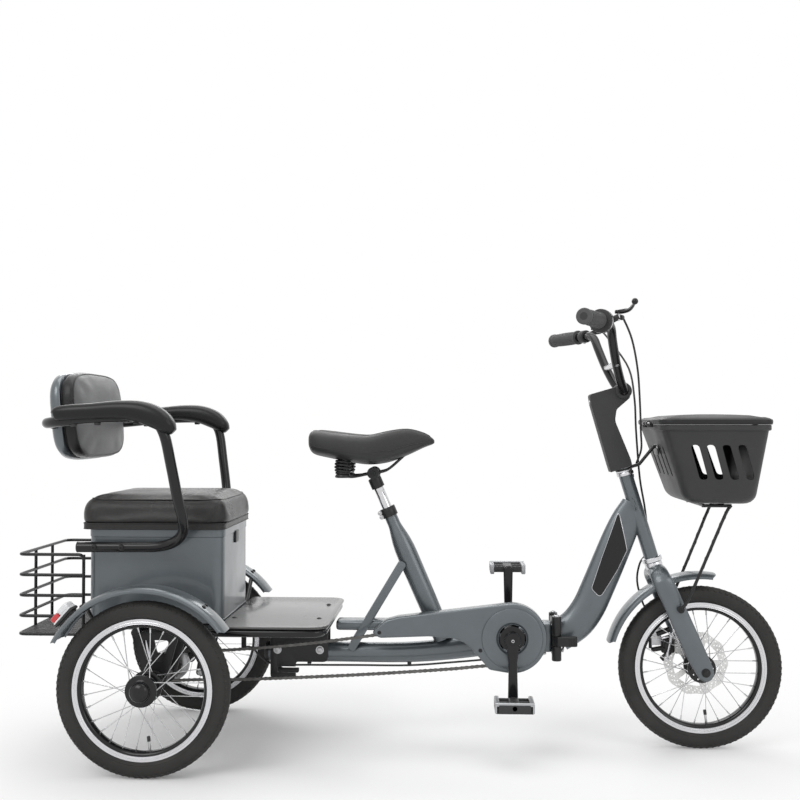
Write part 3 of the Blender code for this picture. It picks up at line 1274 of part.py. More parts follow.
def pad_rings(sign, count=10):
    stations = [(-0.765, 0.806, 0.008, 0.010), (-0.755, 0.812, 0.019, 0.017), (-0.700, 0.822, 0.024, 0.017),
                (-0.640, 0.830, 0.027, 0.021), (-0.590, 0.826, 0.028, 0.024), (-0.552, 0.812, 0.026, 0.024),
                (-0.524, 0.791, 0.021, 0.018), (-0.512, 0.780, 0.010, 0.008)]
    rings = []
    for i, (x, z, wide, deep) in enumerate(stations):
        before = stations[max(i - 1, 0)]
        after = stations[min(i + 1, len(stations) - 1)]
        run = Vector((after[0] - before[0], 0, after[1] - before[1])).normalized()
        up = Vector((-run.z, 0, run.x))
        ring = []
        for k in range(count):
            a = math.tau * k / count
            ring.append(Vector((x, sign * ARM_TOP_Y, z)) + up * (deep * math.sin(a))
                        + Vector((0, wide * math.cos(a), 0)))
        rings.append(ring)
    return rings


def build_arms():
    for side, sign in (("right", -1), ("left", 1)):
        path = arm_path(sign)
        node("arm_tube_" + side, tube(path, ARM_R, 2), "black")
        pad = loft(pad_rings(sign))
        pad = cut(pad, tube(path, ARM_R + GAP, 2))
        node("arm_pad_" + side, pad, "leather")


# Saddle

def build_seat_post():
    node("seat_post", rod(seat_point(-POST_IN), seat_point(POST_TOP), POST_R, 12), "chrome", "seat_post")
    clamp = turned([(NECK_R + GAP, -0.020), (0.0195, -0.020), (0.0195, 0.004), (NECK_R + GAP, 0.004)],
                   axis_frame((SEAT_X, 0, SEAT_Z), SEAT_UP), 12)
    lug = box((-0.031, -0.010, -0.018), (-0.0185, 0.010, 0.002), 0.002,
              axis_frame((SEAT_X, 0, SEAT_Z), SEAT_UP))
    bolts = [rod(seat_point(s, -0.025, -0.014), seat_point(s, -0.025, 0.014), 0.0035, 6) for s in (-0.012, -0.003)]
    node("seat_clamp", join(clamp, lug, *bolts), "black")


def saddle_section(x, half, top, low, dish=0.0, count=14):
    ring = []
    mid, rise = (top + low) / 2, (top - low) / 2
    for k in range(count):
        a = math.tau * k / count
        y, z = half * math.cos(a), rise * math.sin(a)
        sharp = abs(math.sin(a)) ** 0.75 * (1 if math.sin(a) > 0 else -1)
        z = rise * sharp - dish * (1 - abs(math.cos(a))) * (1 if z > 0 else 0)
        ring.append(Vector((x, y, mid + z)))
    return ring


def build_saddle():
    rows = [(-0.237, 0.070, 0.774, 0.738), (-0.226, 0.098, 0.786, 0.722), (-0.190, SADDLE_HALF, 0.784, 0.713),
            (-0.140, SADDLE_HALF - 0.002, 0.778, 0.703), (-0.090, 0.090, 0.775, 0.696),
            (-0.040, 0.060, 0.785, 0.702), (0.005, 0.038, 0.789, 0.719), (0.045, 0.027, 0.778, 0.738),
            (0.066, 0.018, 0.765, 0.746), (0.073, 0.008, 0.757, 0.750)]
    pad = loft([saddle_section(x, h, t, l, 0.006) for x, h, t, l in rows])
    seats = [rod((SPRING_X, s * SPRING_Y, SPRING_TOP - 0.030), (SPRING_X, s * SPRING_Y, SPRING_TOP), 0.026, 12)
             for s in (-1, 1)]
    sockets = [rail_tube(sign, GAP) for sign in (-1, 1)]
    node("saddle", cut(pad, *seats, *sockets), "leather", "seat_post")
    head = seat_point(POST_TOP)
    cradle = box((-0.019, -0.017, -0.004), (0.019, 0.017, 0.016), 0.003, axis_frame(head, SEAT_UP))
    cup = rod(seat_point(POST_TOP - 0.030), seat_point(POST_TOP + 0.002), POST_R + 0.006, 12)
    hole = rod(seat_point(POST_TOP - 0.05), seat_point(POST_TOP + GAP), POST_R + GAP, 12)
    eye = rod((head.x - 0.007, -0.032, head.z + 0.0136), (head.x - 0.007, 0.032, head.z + 0.0136), 0.011, 10)
    build_saddle_frame(join(cut(join(cradle, cup), hole), eye))


def rail_tube(sign, grow=0.0):
    y = sign * 0.0285
    path = [(SPRING_X, sign * SPRING_Y, RAIL_REAR_Z), (-0.130, sign * 0.052, 0.667), (-0.112, sign * 0.034, 0.6695),
            (-0.100, y, 0.672), (-0.055, y, 0.680), (-0.036, y * 0.8, 0.690), (-0.008, y * 0.5, 0.715),
            (0.002 + grow, y * 0.45, 0.7245 + grow)]
    return tube(path, 0.0035 + grow, 1)


def build_saddle_frame(clamp):
    cross = tube([(SPRING_X, -SPRING_Y, RAIL_REAR_Z), (SPRING_X, SPRING_Y, RAIL_REAR_Z)], 0.0035, 1)
    feet = [rod((SPRING_X, s * SPRING_Y, RAIL_REAR_Z - 0.002), (SPRING_X, s * SPRING_Y, SPRING_FOOT), 0.020, 8)
            for s in (-1, 1)]
    node("saddle_rails", join(cross, rail_tube(-1), rail_tube(1), *feet, clamp), "black", "seat_post")
    for side, sign in (("right", -1), ("left", 1)):
        node("saddle_spring_" + side, spring(SPRING_X, sign * SPRING_Y), "black", "seat_post")


SPRING_X = -0.152
SPRING_Y = 0.060
SPRING_TURNS = 4
SPRING_R = 0.0185
SPRING_WIRE = 0.0026
RAIL_REAR_Z = 0.668
SPRING_FOOT = 0.6718
SPRING_TOP = 0.7125


def spring(x, y):
    points = []
    per_turn = 8
    count = SPRING_TURNS * per_turn
    low = SPRING_FOOT + SPRING_WIRE + GAP
    high = SPRING_TOP - SPRING_WIRE - GAP
    for i in range(count + 1):
        t = i / count
        a = math.tau * SPRING_TURNS * t
        r = SPRING_R * (1 - 0.12 * t)
        points.append(Vector((x + r * math.cos(a), y + r * math.sin(a), low + (high - low) * t)))
    least = min((points[i] - points[j]).length for i in range(count + 1) for j in range(i + 5, count + 1))
    print("spring least gap mm", round((least - 2 * SPRING_WIRE) * 1000, 2))
    return tube(points, SPRING_WIRE, 1)


# Cables

CABLE_R = 0.0025


def cable(points):
    return tube(points, CABLE_R, 1)


def build_cables():
    left = lever_pivot(1)
    run = (bar_point(1, 1) - bar_point(0, 1)).normalized()
    start = left - run * 0.0114
    front = [start, start - run * 0.008, start - run * 0.024, Vector((0.535, 0.130, 1.010)), Vector((0.572, 0.085, 0.940)),
             Vector((0.580, 0.050, 0.860)), Vector((0.582, 0.042, 0.780)), head_point(0.205, 0.036, 0.030),
             head_point(0.12, 0.024, 0.030), head_point(0.03, 0.004, 0.036), Vector((0.590, 0.045, 0.446)),
             Vector((0.584, 0.049, 0.400)), Vector((0.598, 0.046, 0.345)), Vector((0.614, 0.036, 0.318)),
             Vector((0.618, 0.033, 0.3110)), Vector((0.618, 0.033, 0.3045))]
    node("front_brake_cable", cable(front), "rubber", "steering")
    right = lever_pivot(-1)
    run = (bar_point(1, -1) - bar_point(0, -1)).normalized()
    start = right - run * 0.0114
    upper = [start, start - run * 0.008, start - run * 0.024, Vector((0.546, -0.120, 1.000)), Vector((0.566, -0.080, 0.930)),
             Vector((0.578, -0.040, 0.850)), Vector((0.585, -0.010, 0.780)), Vector((0.590, 0.015, 0.735)),
             head_point(HEAD_LEN + 0.010, 0.037, 0.021), head_point(HEAD_LEN + 0.002, 0.036, 0.0215)]
    node("rear_brake_cable_upper", cable(upper), "rubber", "steering")
    side = HEAD_R + CABLE_R + 0.0008
    middle = [head_point(HEAD_LEN - 0.012, 0.020, side), head_point(0.150, 0.003, side),
              Vector((0.553, 0.0195, 0.566)), Vector((0.530, 0.0222, 0.515)), Vector((0.502, 0.0249, 0.448)),
              Vector((0.478, 0.0269, 0.392)), Vector((0.456, 0.0279, 0.344)), Vector((0.430, 0.0279, 0.307)),
              Vector((0.404, 0.0280, 0.285)), Vector((0.397, 0.0275, 0.244)), Vector((0.392, 0.024, 0.226))]
    node("rear_brake_cable_frame", cable(middle), "rubber", "front_frame")
    rear = [Vector((0.352, 0.024, 0.2235)), Vector((0.320, 0.020, 0.2160)), Vector((0.240, 0.010, 0.2120)),
            Vector((0.120, 0.0, 0.2030)), Vector((0.010, -0.006, 0.1955)), Vector((-0.120, -0.010, 0.1955)),
            Vector((-0.240, -0.014, 0.1955)), Vector((-0.325, -0.016, 0.1965)), Vector((-0.358, -0.022, 0.2130)),
            Vector((-0.378, -0.031, 0.2380)), Vector((-0.386, -0.033, 0.2420)), Vector((-0.3957, -0.033, 0.2420))]
    node("rear_brake_cable_lower", cable(rear), "rubber")


# Bodies and their pivots

def pivots():
    return {
        "rear_frame": Vector((0, 0, 0)),
        "drive_axle": Vector((REAR_X, 0, AXLE_Z)),
        "free_wheel": Vector((REAR_X, WHEEL_Y, AXLE_Z)),
        "cranks": Vector((BB_X, 0, BB_Z)),
        "pedal_right": Vector((BB_X, -CRANK_Y, BB_Z - CRANK)),
        "pedal_left": Vector((BB_X, CRANK_Y, BB_Z + CRANK)),
        "front_frame": Vector((FOLD_X, FOLD_PIN_Y, FOLD_Z0)),
        "fold_latch": Vector((FOLD_X, LATCH_Y, FOLD_Z0)),
        "steering": head_point(0),
        "front_wheel": Vector((FRONT_X, 0, AXLE_Z)),
        "brake_lever_right": lever_pivot(-1),
        "brake_lever_left": lever_pivot(1),
        "bell_ring": bar_point(0.225, -1),
        "basket_lid": Vector((BASKET_X0 - 0.012, 0, BASKET_TOP + 0.004)),
        "seat_lid": Vector((BOX_X0 - 0.010, 0, BOX_TOP - 0.004)),
        "seat_post": seat_point(0),
    }


def place_bodies():
    for body, point in pivots().items():
        if body not in CARRIED:
            continue
        pivot = bpy.data.objects.new("pivot_" + body, None)
        pivot.empty_display_size = 0.05
        pivot.location = point
        PARTS.objects.link(pivot)
        for solid in CARRIED[body]:
            solid.data.transform(Matrix.Translation(-point))
            solid.parent = pivot


def build_all():
    build_wheels()
    build_rear_axle()
    build_rotor()
    build_chain()
    build_cranks()
    build_chain_case()
    build_main_frame()
    build_fold()
    build_front_frame()
    build_fork()
    build_stem()
    build_bars()
    build_front_fender()
    build_caliper()
    build_basket()
    build_basket_support()
    build_carriage()
    build_chain_tensioner()
    build_rear_fenders()
    build_crate()
    build_seat_box()
    build_cushion()
    build_backrest()
    build_arms()
    build_seat_post()
    build_saddle()
    build_cables()
    place_bodies()


for old in list(bpy.data.objects):
    bpy.data.objects.remove(old)
PARTS = scene_collection("folding_tricycle")
WORK = scene_collection("cutters")
build_all()
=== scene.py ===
"""Folding adult tricycle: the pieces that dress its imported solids, modelled with Blender's own tools."""

from math import acos, atan2, copysign, cos, hypot, pi, radians, sin, sqrt, tan, tau

import bpy
from mathutils import Matrix, Vector


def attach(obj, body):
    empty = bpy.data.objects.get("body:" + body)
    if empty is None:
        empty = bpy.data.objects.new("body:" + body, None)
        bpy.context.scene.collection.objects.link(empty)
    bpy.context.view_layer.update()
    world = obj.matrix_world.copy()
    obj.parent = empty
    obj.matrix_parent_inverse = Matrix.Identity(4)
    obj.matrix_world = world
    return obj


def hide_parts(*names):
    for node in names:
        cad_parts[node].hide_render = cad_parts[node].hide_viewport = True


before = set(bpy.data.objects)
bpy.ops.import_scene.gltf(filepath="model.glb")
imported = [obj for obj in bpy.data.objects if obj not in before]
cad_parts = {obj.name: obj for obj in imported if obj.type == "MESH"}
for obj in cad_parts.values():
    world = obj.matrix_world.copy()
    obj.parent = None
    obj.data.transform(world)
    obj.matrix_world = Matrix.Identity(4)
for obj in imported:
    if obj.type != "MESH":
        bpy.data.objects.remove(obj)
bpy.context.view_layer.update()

bl_info = {
    "name": "Folding tricycle",
    "version": (1, 0, 0),
    "blender": (4, 5, 0),
    "location": "3D View > Sidebar > Tricycle",
    "description": "Builds a folding adult tricycle piece by piece",
    "category": "Add Mesh",
}

# Places shared by several pieces, in metres, the same as in the solids
AXLE_Z, REAR_X, FRONT_X, WHEEL_Y = 0.19874, -0.58, 0.727, 0.29
FENDER_R, STAY_XS = 0.2345, (-0.44, -0.72)
BB_X, BB_Z, CRANK = 0.262, 0.279, 0.14
CHAIN_Y, PITCH, RING_TEETH, SPROCKET_TEETH = -0.065, 0.0127, 32, 17
BOTH = RIGHT, LEFT = -1, 1
SIDES = ((RIGHT, "right"), (LEFT, "left"))
ORIGIN, Y_AXIS, Z_AXIS, OUT_RIGHT = (0, 0, 0), (0, 1, 0), (0, 0, 1), (0, -1, 0)
REAR_AXLE, BRACKET = (REAR_X, 0, AXLE_Z), (BB_X, 0, BB_Z)
MERGE = 0.00002


def leaning(x, z, degrees):
    """The places on a leaning tube, each given along the tube, forward of it and to the left."""
    sine, cosine = sin(radians(degrees)), cos(radians(degrees))
    return lambda along, fore=0, y=0: Vector((x - along * sine + fore * cosine, y,
                                                  z + along * cosine + fore * sine))


head_point, seat_point = leaning(0.614, 0.457, 17), leaning(-0.045, 0.585, 23.5)
HEAD_UP, SEAT_UP = head_point(1) - head_point(0), seat_point(1) - seat_point(0)
HEAD, SEAT = (head_point(0), HEAD_UP), (seat_point(0), SEAT_UP)


def round_point(x, z, radius, angle, y=0):
    """A point on an upright circle round a sideways axle, its angle counted from forward to up."""
    return Vector((x + radius * cos(angle), y, z + radius * sin(angle)))


def circle(count, shift=0):
    """The (cosine, sine) pairs of evenly spaced angles."""
    return [(cos(angle), sin(angle)) for angle in (tau * (index + shift) / count for index in range(count))]


def sideways(place, y):
    """The same place at another distance to the left."""
    return Vector((place[0], y, place[-1]))


# Selection and edit mode

def deselect():
    if bpy.context.object is not None and bpy.context.object.mode != "OBJECT":
        bpy.ops.object.mode_set(mode="OBJECT")
    bpy.ops.object.select_all(action="DESELECT")


def pick(piece):
    deselect()
    piece.select_set(True)
    bpy.context.view_layer.objects.active = piece


def discard(piece):
    pick(piece)
    bpy.ops.object.delete()


def edit(piece, kind="VERT", action="SELECT"):
    pick(piece)
    bpy.ops.object.mode_set(mode="EDIT")
    bpy.ops.mesh.select_mode(type=kind)
    bpy.ops.mesh.select_all(action=action)


def leave():
    bpy.ops.object.mode_set(mode="OBJECT")


def started(add, points, **settings):
    """A fresh primitive whose vertices are moved to these points."""
    deselect()
    add(**settings)
    piece = bpy.context.object
    for vertex, point in zip(piece.data.vertices, points, strict=True):
        vertex.co = point
    piece.data.update()
    return piece


def seal(piece, holes=False):
    """Merges doubles, drops loose bits, closes open ends when asked, and turns all faces outward."""
    edit(piece)
    bpy.ops.mesh.remove_doubles(threshold=MERGE)
    bpy.ops.mesh.delete_loose()
    bpy.ops.mesh.select_all(action="SELECT")
    if holes:
        bpy.ops.mesh.fill_holes(sides=0)
        bpy.ops.mesh.select_all(action="SELECT")
    bpy.ops.mesh.normals_make_consistent(inside=False)
    leave()
    return piece


def settle(piece, matrix=None):
    """Puts a piece at its place and leaves its object at the origin."""
    pick(piece)
    if matrix is not None:
        piece.matrix_world = matrix
    bpy.ops.object.transform_apply(location=True, rotation=True, scale=True)
    return piece


def apply(piece, kind, **settings):
    """Adds a modifier with these settings and applies it."""
    pick(piece)
    bpy.ops.object.modifier_add(type=kind)
    modifier = piece.modifiers[-1]
    for key, value in settings.items():
        setattr(modifier, key, value)
    bpy.ops.object.modifier_apply(modifier=modifier.name)
    return piece


def rim_off(piece, width, steps):
    """Rounds the sharp edges of a piece, by a width above 0."""
    return apply(piece, "BEVEL", width=width, segments=steps, limit_method="ANGLE", angle_limit=radians(35),
                 use_clamp_overlap=True) if width else piece


def divide(piece):
    return apply(piece, "SUBSURF", levels=1, render_levels=1)


def cut(piece, *cutters):
    """Takes closed pieces out of another, in one cut."""
    cutter = join(cutters)
    apply(piece, "BOOLEAN", operation="DIFFERENCE", object=cutter, solver="EXACT")
    discard(cutter)
    return piece


def coat(piece, *finishes):
    """Gives a piece its finishes by their names."""
    piece.data.materials.clear()
    for finish in finishes:
        piece.data.materials.append(FINISHES[finish])
    return piece


def coat_all(pieces, *finishes):
    """Gives several pieces the same finishes."""
    return [coat(piece, *finishes) for piece in pieces]


def paint_where(piece, test):
    """Gives the faces that pass the test the piece's second finish."""
    for face in piece.data.polygons:
        if test(face):
            face.material_index = 1
    return piece


def copy_of(piece, matrix):
    """A copy with its own mesh, at another place."""
    pick(piece)
    bpy.ops.object.duplicate(linked=False)
    bpy.context.object.matrix_world = matrix
    return bpy.context.object


def join(parts):
    deselect()
    for part in parts:
        part.select_set(True)
    bpy.context.view_layer.objects.active = parts[0]
    if len(parts) > 1:
        bpy.ops.object.join()
    return bpy.context.object


def finish_piece(parts, node, look, body, degrees=38, name=None):
    """Joins the parts into one piece named for its node and look, shades it, and ties it to its solid."""
    piece = settle(join(parts))
    piece.name = piece.data.name = name or node + "_" + look
    bpy.ops.object.shade_smooth_by_angle(angle=radians(degrees))
    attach(piece, body)
    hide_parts(node)
    return piece


# Shapes, each started from a primitive

def frame_of(centre, axis):
    """The matrix that stands local Z along an axis."""
    return Matrix.Translation(centre) @ Vector(axis).normalized().to_track_quat("Z", "Y").to_matrix().to_4x4()


def spun(profile, steps, angle, centre, axis):
    """A closed profile carried round an axis."""
    piece = started(bpy.ops.mesh.primitive_circle_add, profile, vertices=len(profile))
    edit(piece)
    bpy.ops.mesh.spin(steps=steps, angle=angle, center=centre, axis=axis)
    leave()
    return piece


def turned(profile, centre=ORIGIN, axis=Y_AXIS, steps=32):
    """A solid of revolution from a closed loop of (radius, height) points."""
    piece = spun([(radius, 0, height) for radius, height in profile], steps, tau, ORIGIN, Z_AXIS)
    return settle(seal(piece), frame_of(centre, axis))


def slab(outline, plane, low, high, rim=0, steps=2):
    """A flat piece with an outline in the xz, xy or yz plane, from one height to another across it."""
    lift = {"xz": lambda a, b, h: (a, h, b), "xy": lambda a, b, h: (a, b, h),
            "yz": lambda a, b, h: (h, a, b)}[plane]
    low, high = sorted((low, high))
    piece = started(bpy.ops.mesh.primitive_circle_add, [lift(point[0], point[-1], low) for point in outline],
                    vertices=len(outline), fill_type="NGON")
    edit(piece)
    bpy.ops.mesh.extrude_region_move(TRANSFORM_OT_translate={"value": lift(0, 0, high - low)})
    leave()
    return rim_off(seal(piece), rim, steps)


def block(corner, other, rim=0, steps=2):
    """A box between two opposite corners, with rounded edges."""
    low, high = (Vector([*map(kind, corner, other)]) for kind in (min, max))
    deselect()
    bpy.ops.mesh.primitive_cube_add(size=1, location=(low + high) / 2, scale=high - low)
    return rim_off(settle(bpy.context.object), rim, steps)


def bar(start, stop, radius, sides=16, rim=0, radius_far=None):
    """A straight round bar between two points, its end edges taken off."""
    start, run = Vector(start), Vector(stop) - Vector(start)
    far, end, third = radius_far or radius, run.length, rim * 0.3
    profile = [(0, 0), (radius, 0), (far, end), (0, end)]
    if rim:
        profile = [(0, 0), (radius - rim, 0), (radius - third, third), (radius, rim), (far, end - rim),
                   (far - third, end - third), (far - rim, end), (0, end)]
    return turned(profile, start, run, sides)


def pin(x, z, start, stop, radius, sides=16, rim=0):
    """A bar that lies sideways, from one distance to the left to another."""
    return bar((x, start, z), (x, stop, z), radius, sides, rim)


def tube(points, radius, sides=12, ring=False):
    """A round tube along points, made from a curve and turned into a mesh."""
    deselect()
    bpy.ops.curve.primitive_bezier_curve_add()
    piece = bpy.context.object
    bpy.ops.object.mode_set(mode="EDIT")
    bpy.ops.curve.select_all(action="SELECT")
    bpy.ops.curve.delete(type="VERT")
    leave()
    line = piece.data.splines.new("POLY")
    line.points.add(len(points) - 1)
    for place, point in zip(line.points, points):
        place.co = (*point, 1)
    line.use_cyclic_u = ring
    piece.data.dimensions = "3D"
    piece.data.twist_mode = "MINIMUM"
    piece.data.bevel_depth = radius
    piece.data.bevel_resolution = (sides - 4) // 2
    piece.data.use_fill_caps = not ring
    pick(piece)
    bpy.ops.object.convert(target="MESH")
    return seal(bpy.context.object)


def lofted(rings):
    """A skin through closed rings of points, with its seam merged and its ends closed."""
    rows = [[*ring, ring[0]] for ring in rings]
    return seal(started(bpy.ops.mesh.primitive_grid_add, [point for row in rows for point in row],
                        x_subdivisions=len(rows[0]) - 1, y_subdivisions=len(rows) - 1), holes=True)


def skinned(places, axes, count=28, power=2):
    """A skin along places: axes gives the section's two half axes at each, and a power above 2 squares it."""
    rings = []
    for index, place in enumerate(places):
        run = (places[min(index + 1, len(places) - 1)] - places[max(index - 1, 0)]).normalized()
        wide, deep = axes(index, run)
        rings.append([place + (wide * c + deep * s) * (abs(c) ** power + abs(s) ** power) ** (-1 / power)
                      for c, s in circle(count)])
    return lofted(rings)


def eased(points, steps=5):
    """A smooth line through the points."""
    points = [Vector(point) for point in points]
    points = [points[0] * 2 - points[1], *points, points[-1] * 2 - points[-2]]
    line = []
    for before, start, stop, after in zip(points, points[1:], points[2:], points[3:]):
        for share in [step / steps for step in range(steps)]:
            line.append(((start * 2) + (stop - before) * share
                         + (before * 2 - start * 5 + stop * 4 - after) * share ** 2
                         + (start * 3 - before - stop * 3 + after) * share ** 3) / 2)
    return line + [points[-2]]


def cornered(points, corner, steps=6, ring=False):
    """A line through points, or pairs in a plane, with its corners rounded to a radius or to one each."""
    points = [Vector((point[0], 0 if len(point) == 2 else point[1], point[-1])) for point in points]
    line = []
    for index, point in enumerate(points):
        size = corner[index] if isinstance(corner, (list, tuple)) else corner
        if not size or not ring and index in (0, len(points) - 1):
            line.append(point)
            continue
        back, ahead = points[index - 1] - point, points[(index + 1) % len(points)] - point
        reach = min(size / tan(back.angle(ahead) / 2), back.length * 0.49, ahead.length * 0.49)
        start, stop = point + back.normalized() * reach, point + ahead.normalized() * reach
        for share in [step / steps for step in range(steps + 1)]:
            line.append(start * (1 - share) ** 2 + point * 2 * share * (1 - share) + stop * share ** 2)
    return line


def outlined(points, corner, steps=6):
    """A closed line with rounded corners."""
    return cornered(points, corner, steps, ring=True)


def soft_box(low, high, corner, steps=3):
    """The outline of a rectangle with rounded corners."""
    (a0, b0), (a1, b1) = low, high
    return outlined([(a0, b0), (a1, b0), (a1, b1), (a0, b1)], corner, steps)


def oval_tube(stations, count, steps=4):
    """A tube in the middle plane, from (x, z, half depth, half width) stations on a smooth line."""
    line = eased_stations(stations, steps) if steps else stations
    return skinned([Vector((x, 0, z)) for x, z, _, _ in line], lambda index, run: (
        Vector((0, line[index][3], 0)), Vector((-run.z, 0, run.x)) * line[index][2]), count)


def eased_stations(stations, steps):
    """More stations between the given ones, on a smooth line."""
    places = eased([(x, 0, z) for x, z, _, _ in stations], steps)
    return [(place.x, place.z, size.x, size.y)
            for place, size in zip(places, eased([(deep, wide, 0) for _, _, deep, wide in stations], steps))]


def bolt(place, axis, radius, height, finish):
    """A bolt head with a socket, seated on its washer."""
    parts = [turned([(radius * across, height * up) for across, up in shape], ORIGIN, Z_AXIS, steps)
        for shape, steps in ((((0, 0), (1.35, 0), (1.35, 0.2), (0, 0.2)), 20),
        (((0, 0.2), (1, 0.2), (1, 0.55), (0.9, 0.85), (0.62, 1), (0.5, 1), (0.5, 0.45), (0, 0.45)), 18))]
    return coat(settle(join(parts), frame_of(place, axis)), finish)


# Finishes: shared effects as node groups, and one material for each real surface

VECTOR, VALUE, COLOUR = "NodeSocketVector", "NodeSocketFloat", "NodeSocketColor"


def shader_group(name, inputs, outputs):
    """An empty node group and its inputs, each given as a kind of socket, or as the default of a value."""
    tree = bpy.data.node_groups.new(name, "ShaderNodeTree")
    for title, kind in inputs.items():
        value = not isinstance(kind, str)
        socket = tree.interface.new_socket(title, in_out="INPUT", socket_type=VALUE if value else kind)
        if value:
            socket.default_value = kind
    for title, kind in outputs.items():
        tree.interface.new_socket(title, in_out="OUTPUT", socket_type=kind)
    return tree, tree.nodes.new("NodeGroupInput").outputs


def put(tree, kind, links=None, **settings):
    """Adds a node, sets its options, fills or links its sockets. A node as a source is its first output."""
    item = tree.nodes.new(kind if kind.startswith("Node") else "ShaderNode" + kind)
    for key, value in settings.items():
        setattr(item, key, value)
    for key, source in (links or {}).items():
        if isinstance(source, bpy.types.Node):
            source = source.outputs[0]
        if isinstance(source, bpy.types.NodeSocket):
            tree.links.new(source, item.inputs[key])
        else:
            item.inputs[key].default_value = source
    return item


def noise(tree, place, size, detail, rough=0.5):
    return put(tree, "TexNoise", {"Vector": place, "Scale": size, "Detail": detail, "Roughness": rough})


def ramp(tree, source, low, high, to_low=0, to_high=1):
    return put(tree, "MapRange", {"Value": source, "From Min": low, "From Max": high, "To Min": to_low,
                                  "To Max": to_high})


def mixed(tree, share, first, second):
    """One colour turned into another by a mask."""
    return put(tree, "Mix", {"Factor": share, "A": first, "B": second}, data_type="RGBA").outputs["Result"]


def make_tone_drift():
    """Slow light and dark patches in a colour."""
    tree, given = shader_group("tone drift", {"Place": VECTOR, "Colour": COLOUR, "Spread": 0.1, "Size": 12},
                               {"Colour": COLOUR})
    low, high = (put(tree, "Math", {0: 1, 1: given["Spread"]}, operation=kind)
                 for kind in ("SUBTRACT", "ADD"))
    share = ramp(tree, noise(tree, given["Place"], given["Size"], 5, 0.62), 0.32, 0.68, low, high)
    put(tree, "NodeGroupOutput",
        {"Colour": put(tree, "HueSaturation", {"Value": share, "Color": given["Colour"]})})
    return tree


def make_rub_marks():
    """A mask of thin rubbed scratches and of duller handled patches."""
    tree, given = shader_group("rub marks", {"Place": VECTOR, "Size": 40},
                               {"Scratches": VALUE, "Patches": VALUE})
    stretch = put(tree, "Mapping",
                  {"Vector": given["Place"], "Rotation": (0.4, 0.9, 0.2), "Scale": (0.15, 1, 3)})
    scratches = ramp(tree, noise(tree, stretch, given["Size"], 7, 0.7), 0.66, 0.7)
    patches = ramp(tree, noise(tree, given["Place"], 9, 4), 0.35, 0.7)
    put(tree, "NodeGroupOutput", {"Scratches": scratches, "Patches": patches})
    return tree


def make_fine_bump():
    """Orange peel, cast skin or foam skin: one noise turned into a bumped normal."""
    tree, given = shader_group("fine bump", {"Place": VECTOR, "Size": 400, "Depth": 0.0002},
                               {"Normal": VECTOR})
    height = noise(tree, given["Place"], given["Size"], 3, 0.55)
    bump = put(tree, "Bump", {"Height": height, "Distance": given["Depth"], "Strength": 0.5})
    put(tree, "NodeGroupOutput", {"Normal": bump})
    return tree


def make_hide_grain():
    """Pebbled leather: rounded cells with creases between them, and soft wrinkles below, and a mask of the
    creases for painted shade.
    """
    tree, given = shader_group("hide grain", {"Place": VECTOR, "Size": 320, "Depth": 0.0005},
                               {"Normal": VECTOR, "Crease shade": VALUE})
    warp = noise(tree, given["Place"], 60, 2).outputs["Color"]
    moved = put(tree, "VectorMath", {0: warp, 1: (0.006, 0.006, 0.006)}, operation="MULTIPLY")
    place = put(tree, "VectorMath", {0: given["Place"], 1: moved}, operation="ADD")
    cells = put(tree, "TexVoronoi", {"Vector": place, "Scale": given["Size"]}, feature="DISTANCE_TO_EDGE")
    # The crease mask is 0 at the cell edges: it shapes the bump and sets the painted shade in the creases.
    crease = ramp(tree, cells, 0, 0.16)
    height = put(tree, "Math", {0: noise(tree, given["Place"], 26, 5), 1: 1.6, 2: crease},
                 operation="MULTIPLY_ADD")
    bump = put(tree, "Bump", {"Height": height, "Distance": given["Depth"], "Strength": 0.6})
    put(tree, "NodeGroupOutput", {"Normal": bump, "Crease shade": crease})
    return tree


def make_settled_dust():
    """A mask of a faint film where a surface faces up."""
    tree, given = shader_group("settled dust", {"Place": VECTOR, "Amount": 0.1}, {"Dust": VALUE})
    split = put(tree, "SeparateXYZ", {0: put(tree, "NewGeometry").outputs["Normal"]})
    both = put(tree, "Math", {0: ramp(tree, split.outputs["Z"], 0.3, 1),
        1: ramp(tree, noise(tree, given["Place"], 22, 6), 0.35, 0.75)}, operation="MULTIPLY")
    put(tree, "NodeGroupOutput",
        {"Dust": put(tree, "Math", {0: both, 1: given["Amount"]}, operation="MULTIPLY")})
    return tree


TONE, RUB, BUMP, HIDE, DUST = (make_tone_drift(), make_rub_marks(), make_fine_bump(), make_hide_grain(),
                               make_settled_dust())
DUST_COLOUR = (0.42, 0.4, 0.37, 1)
FINISHES = {}


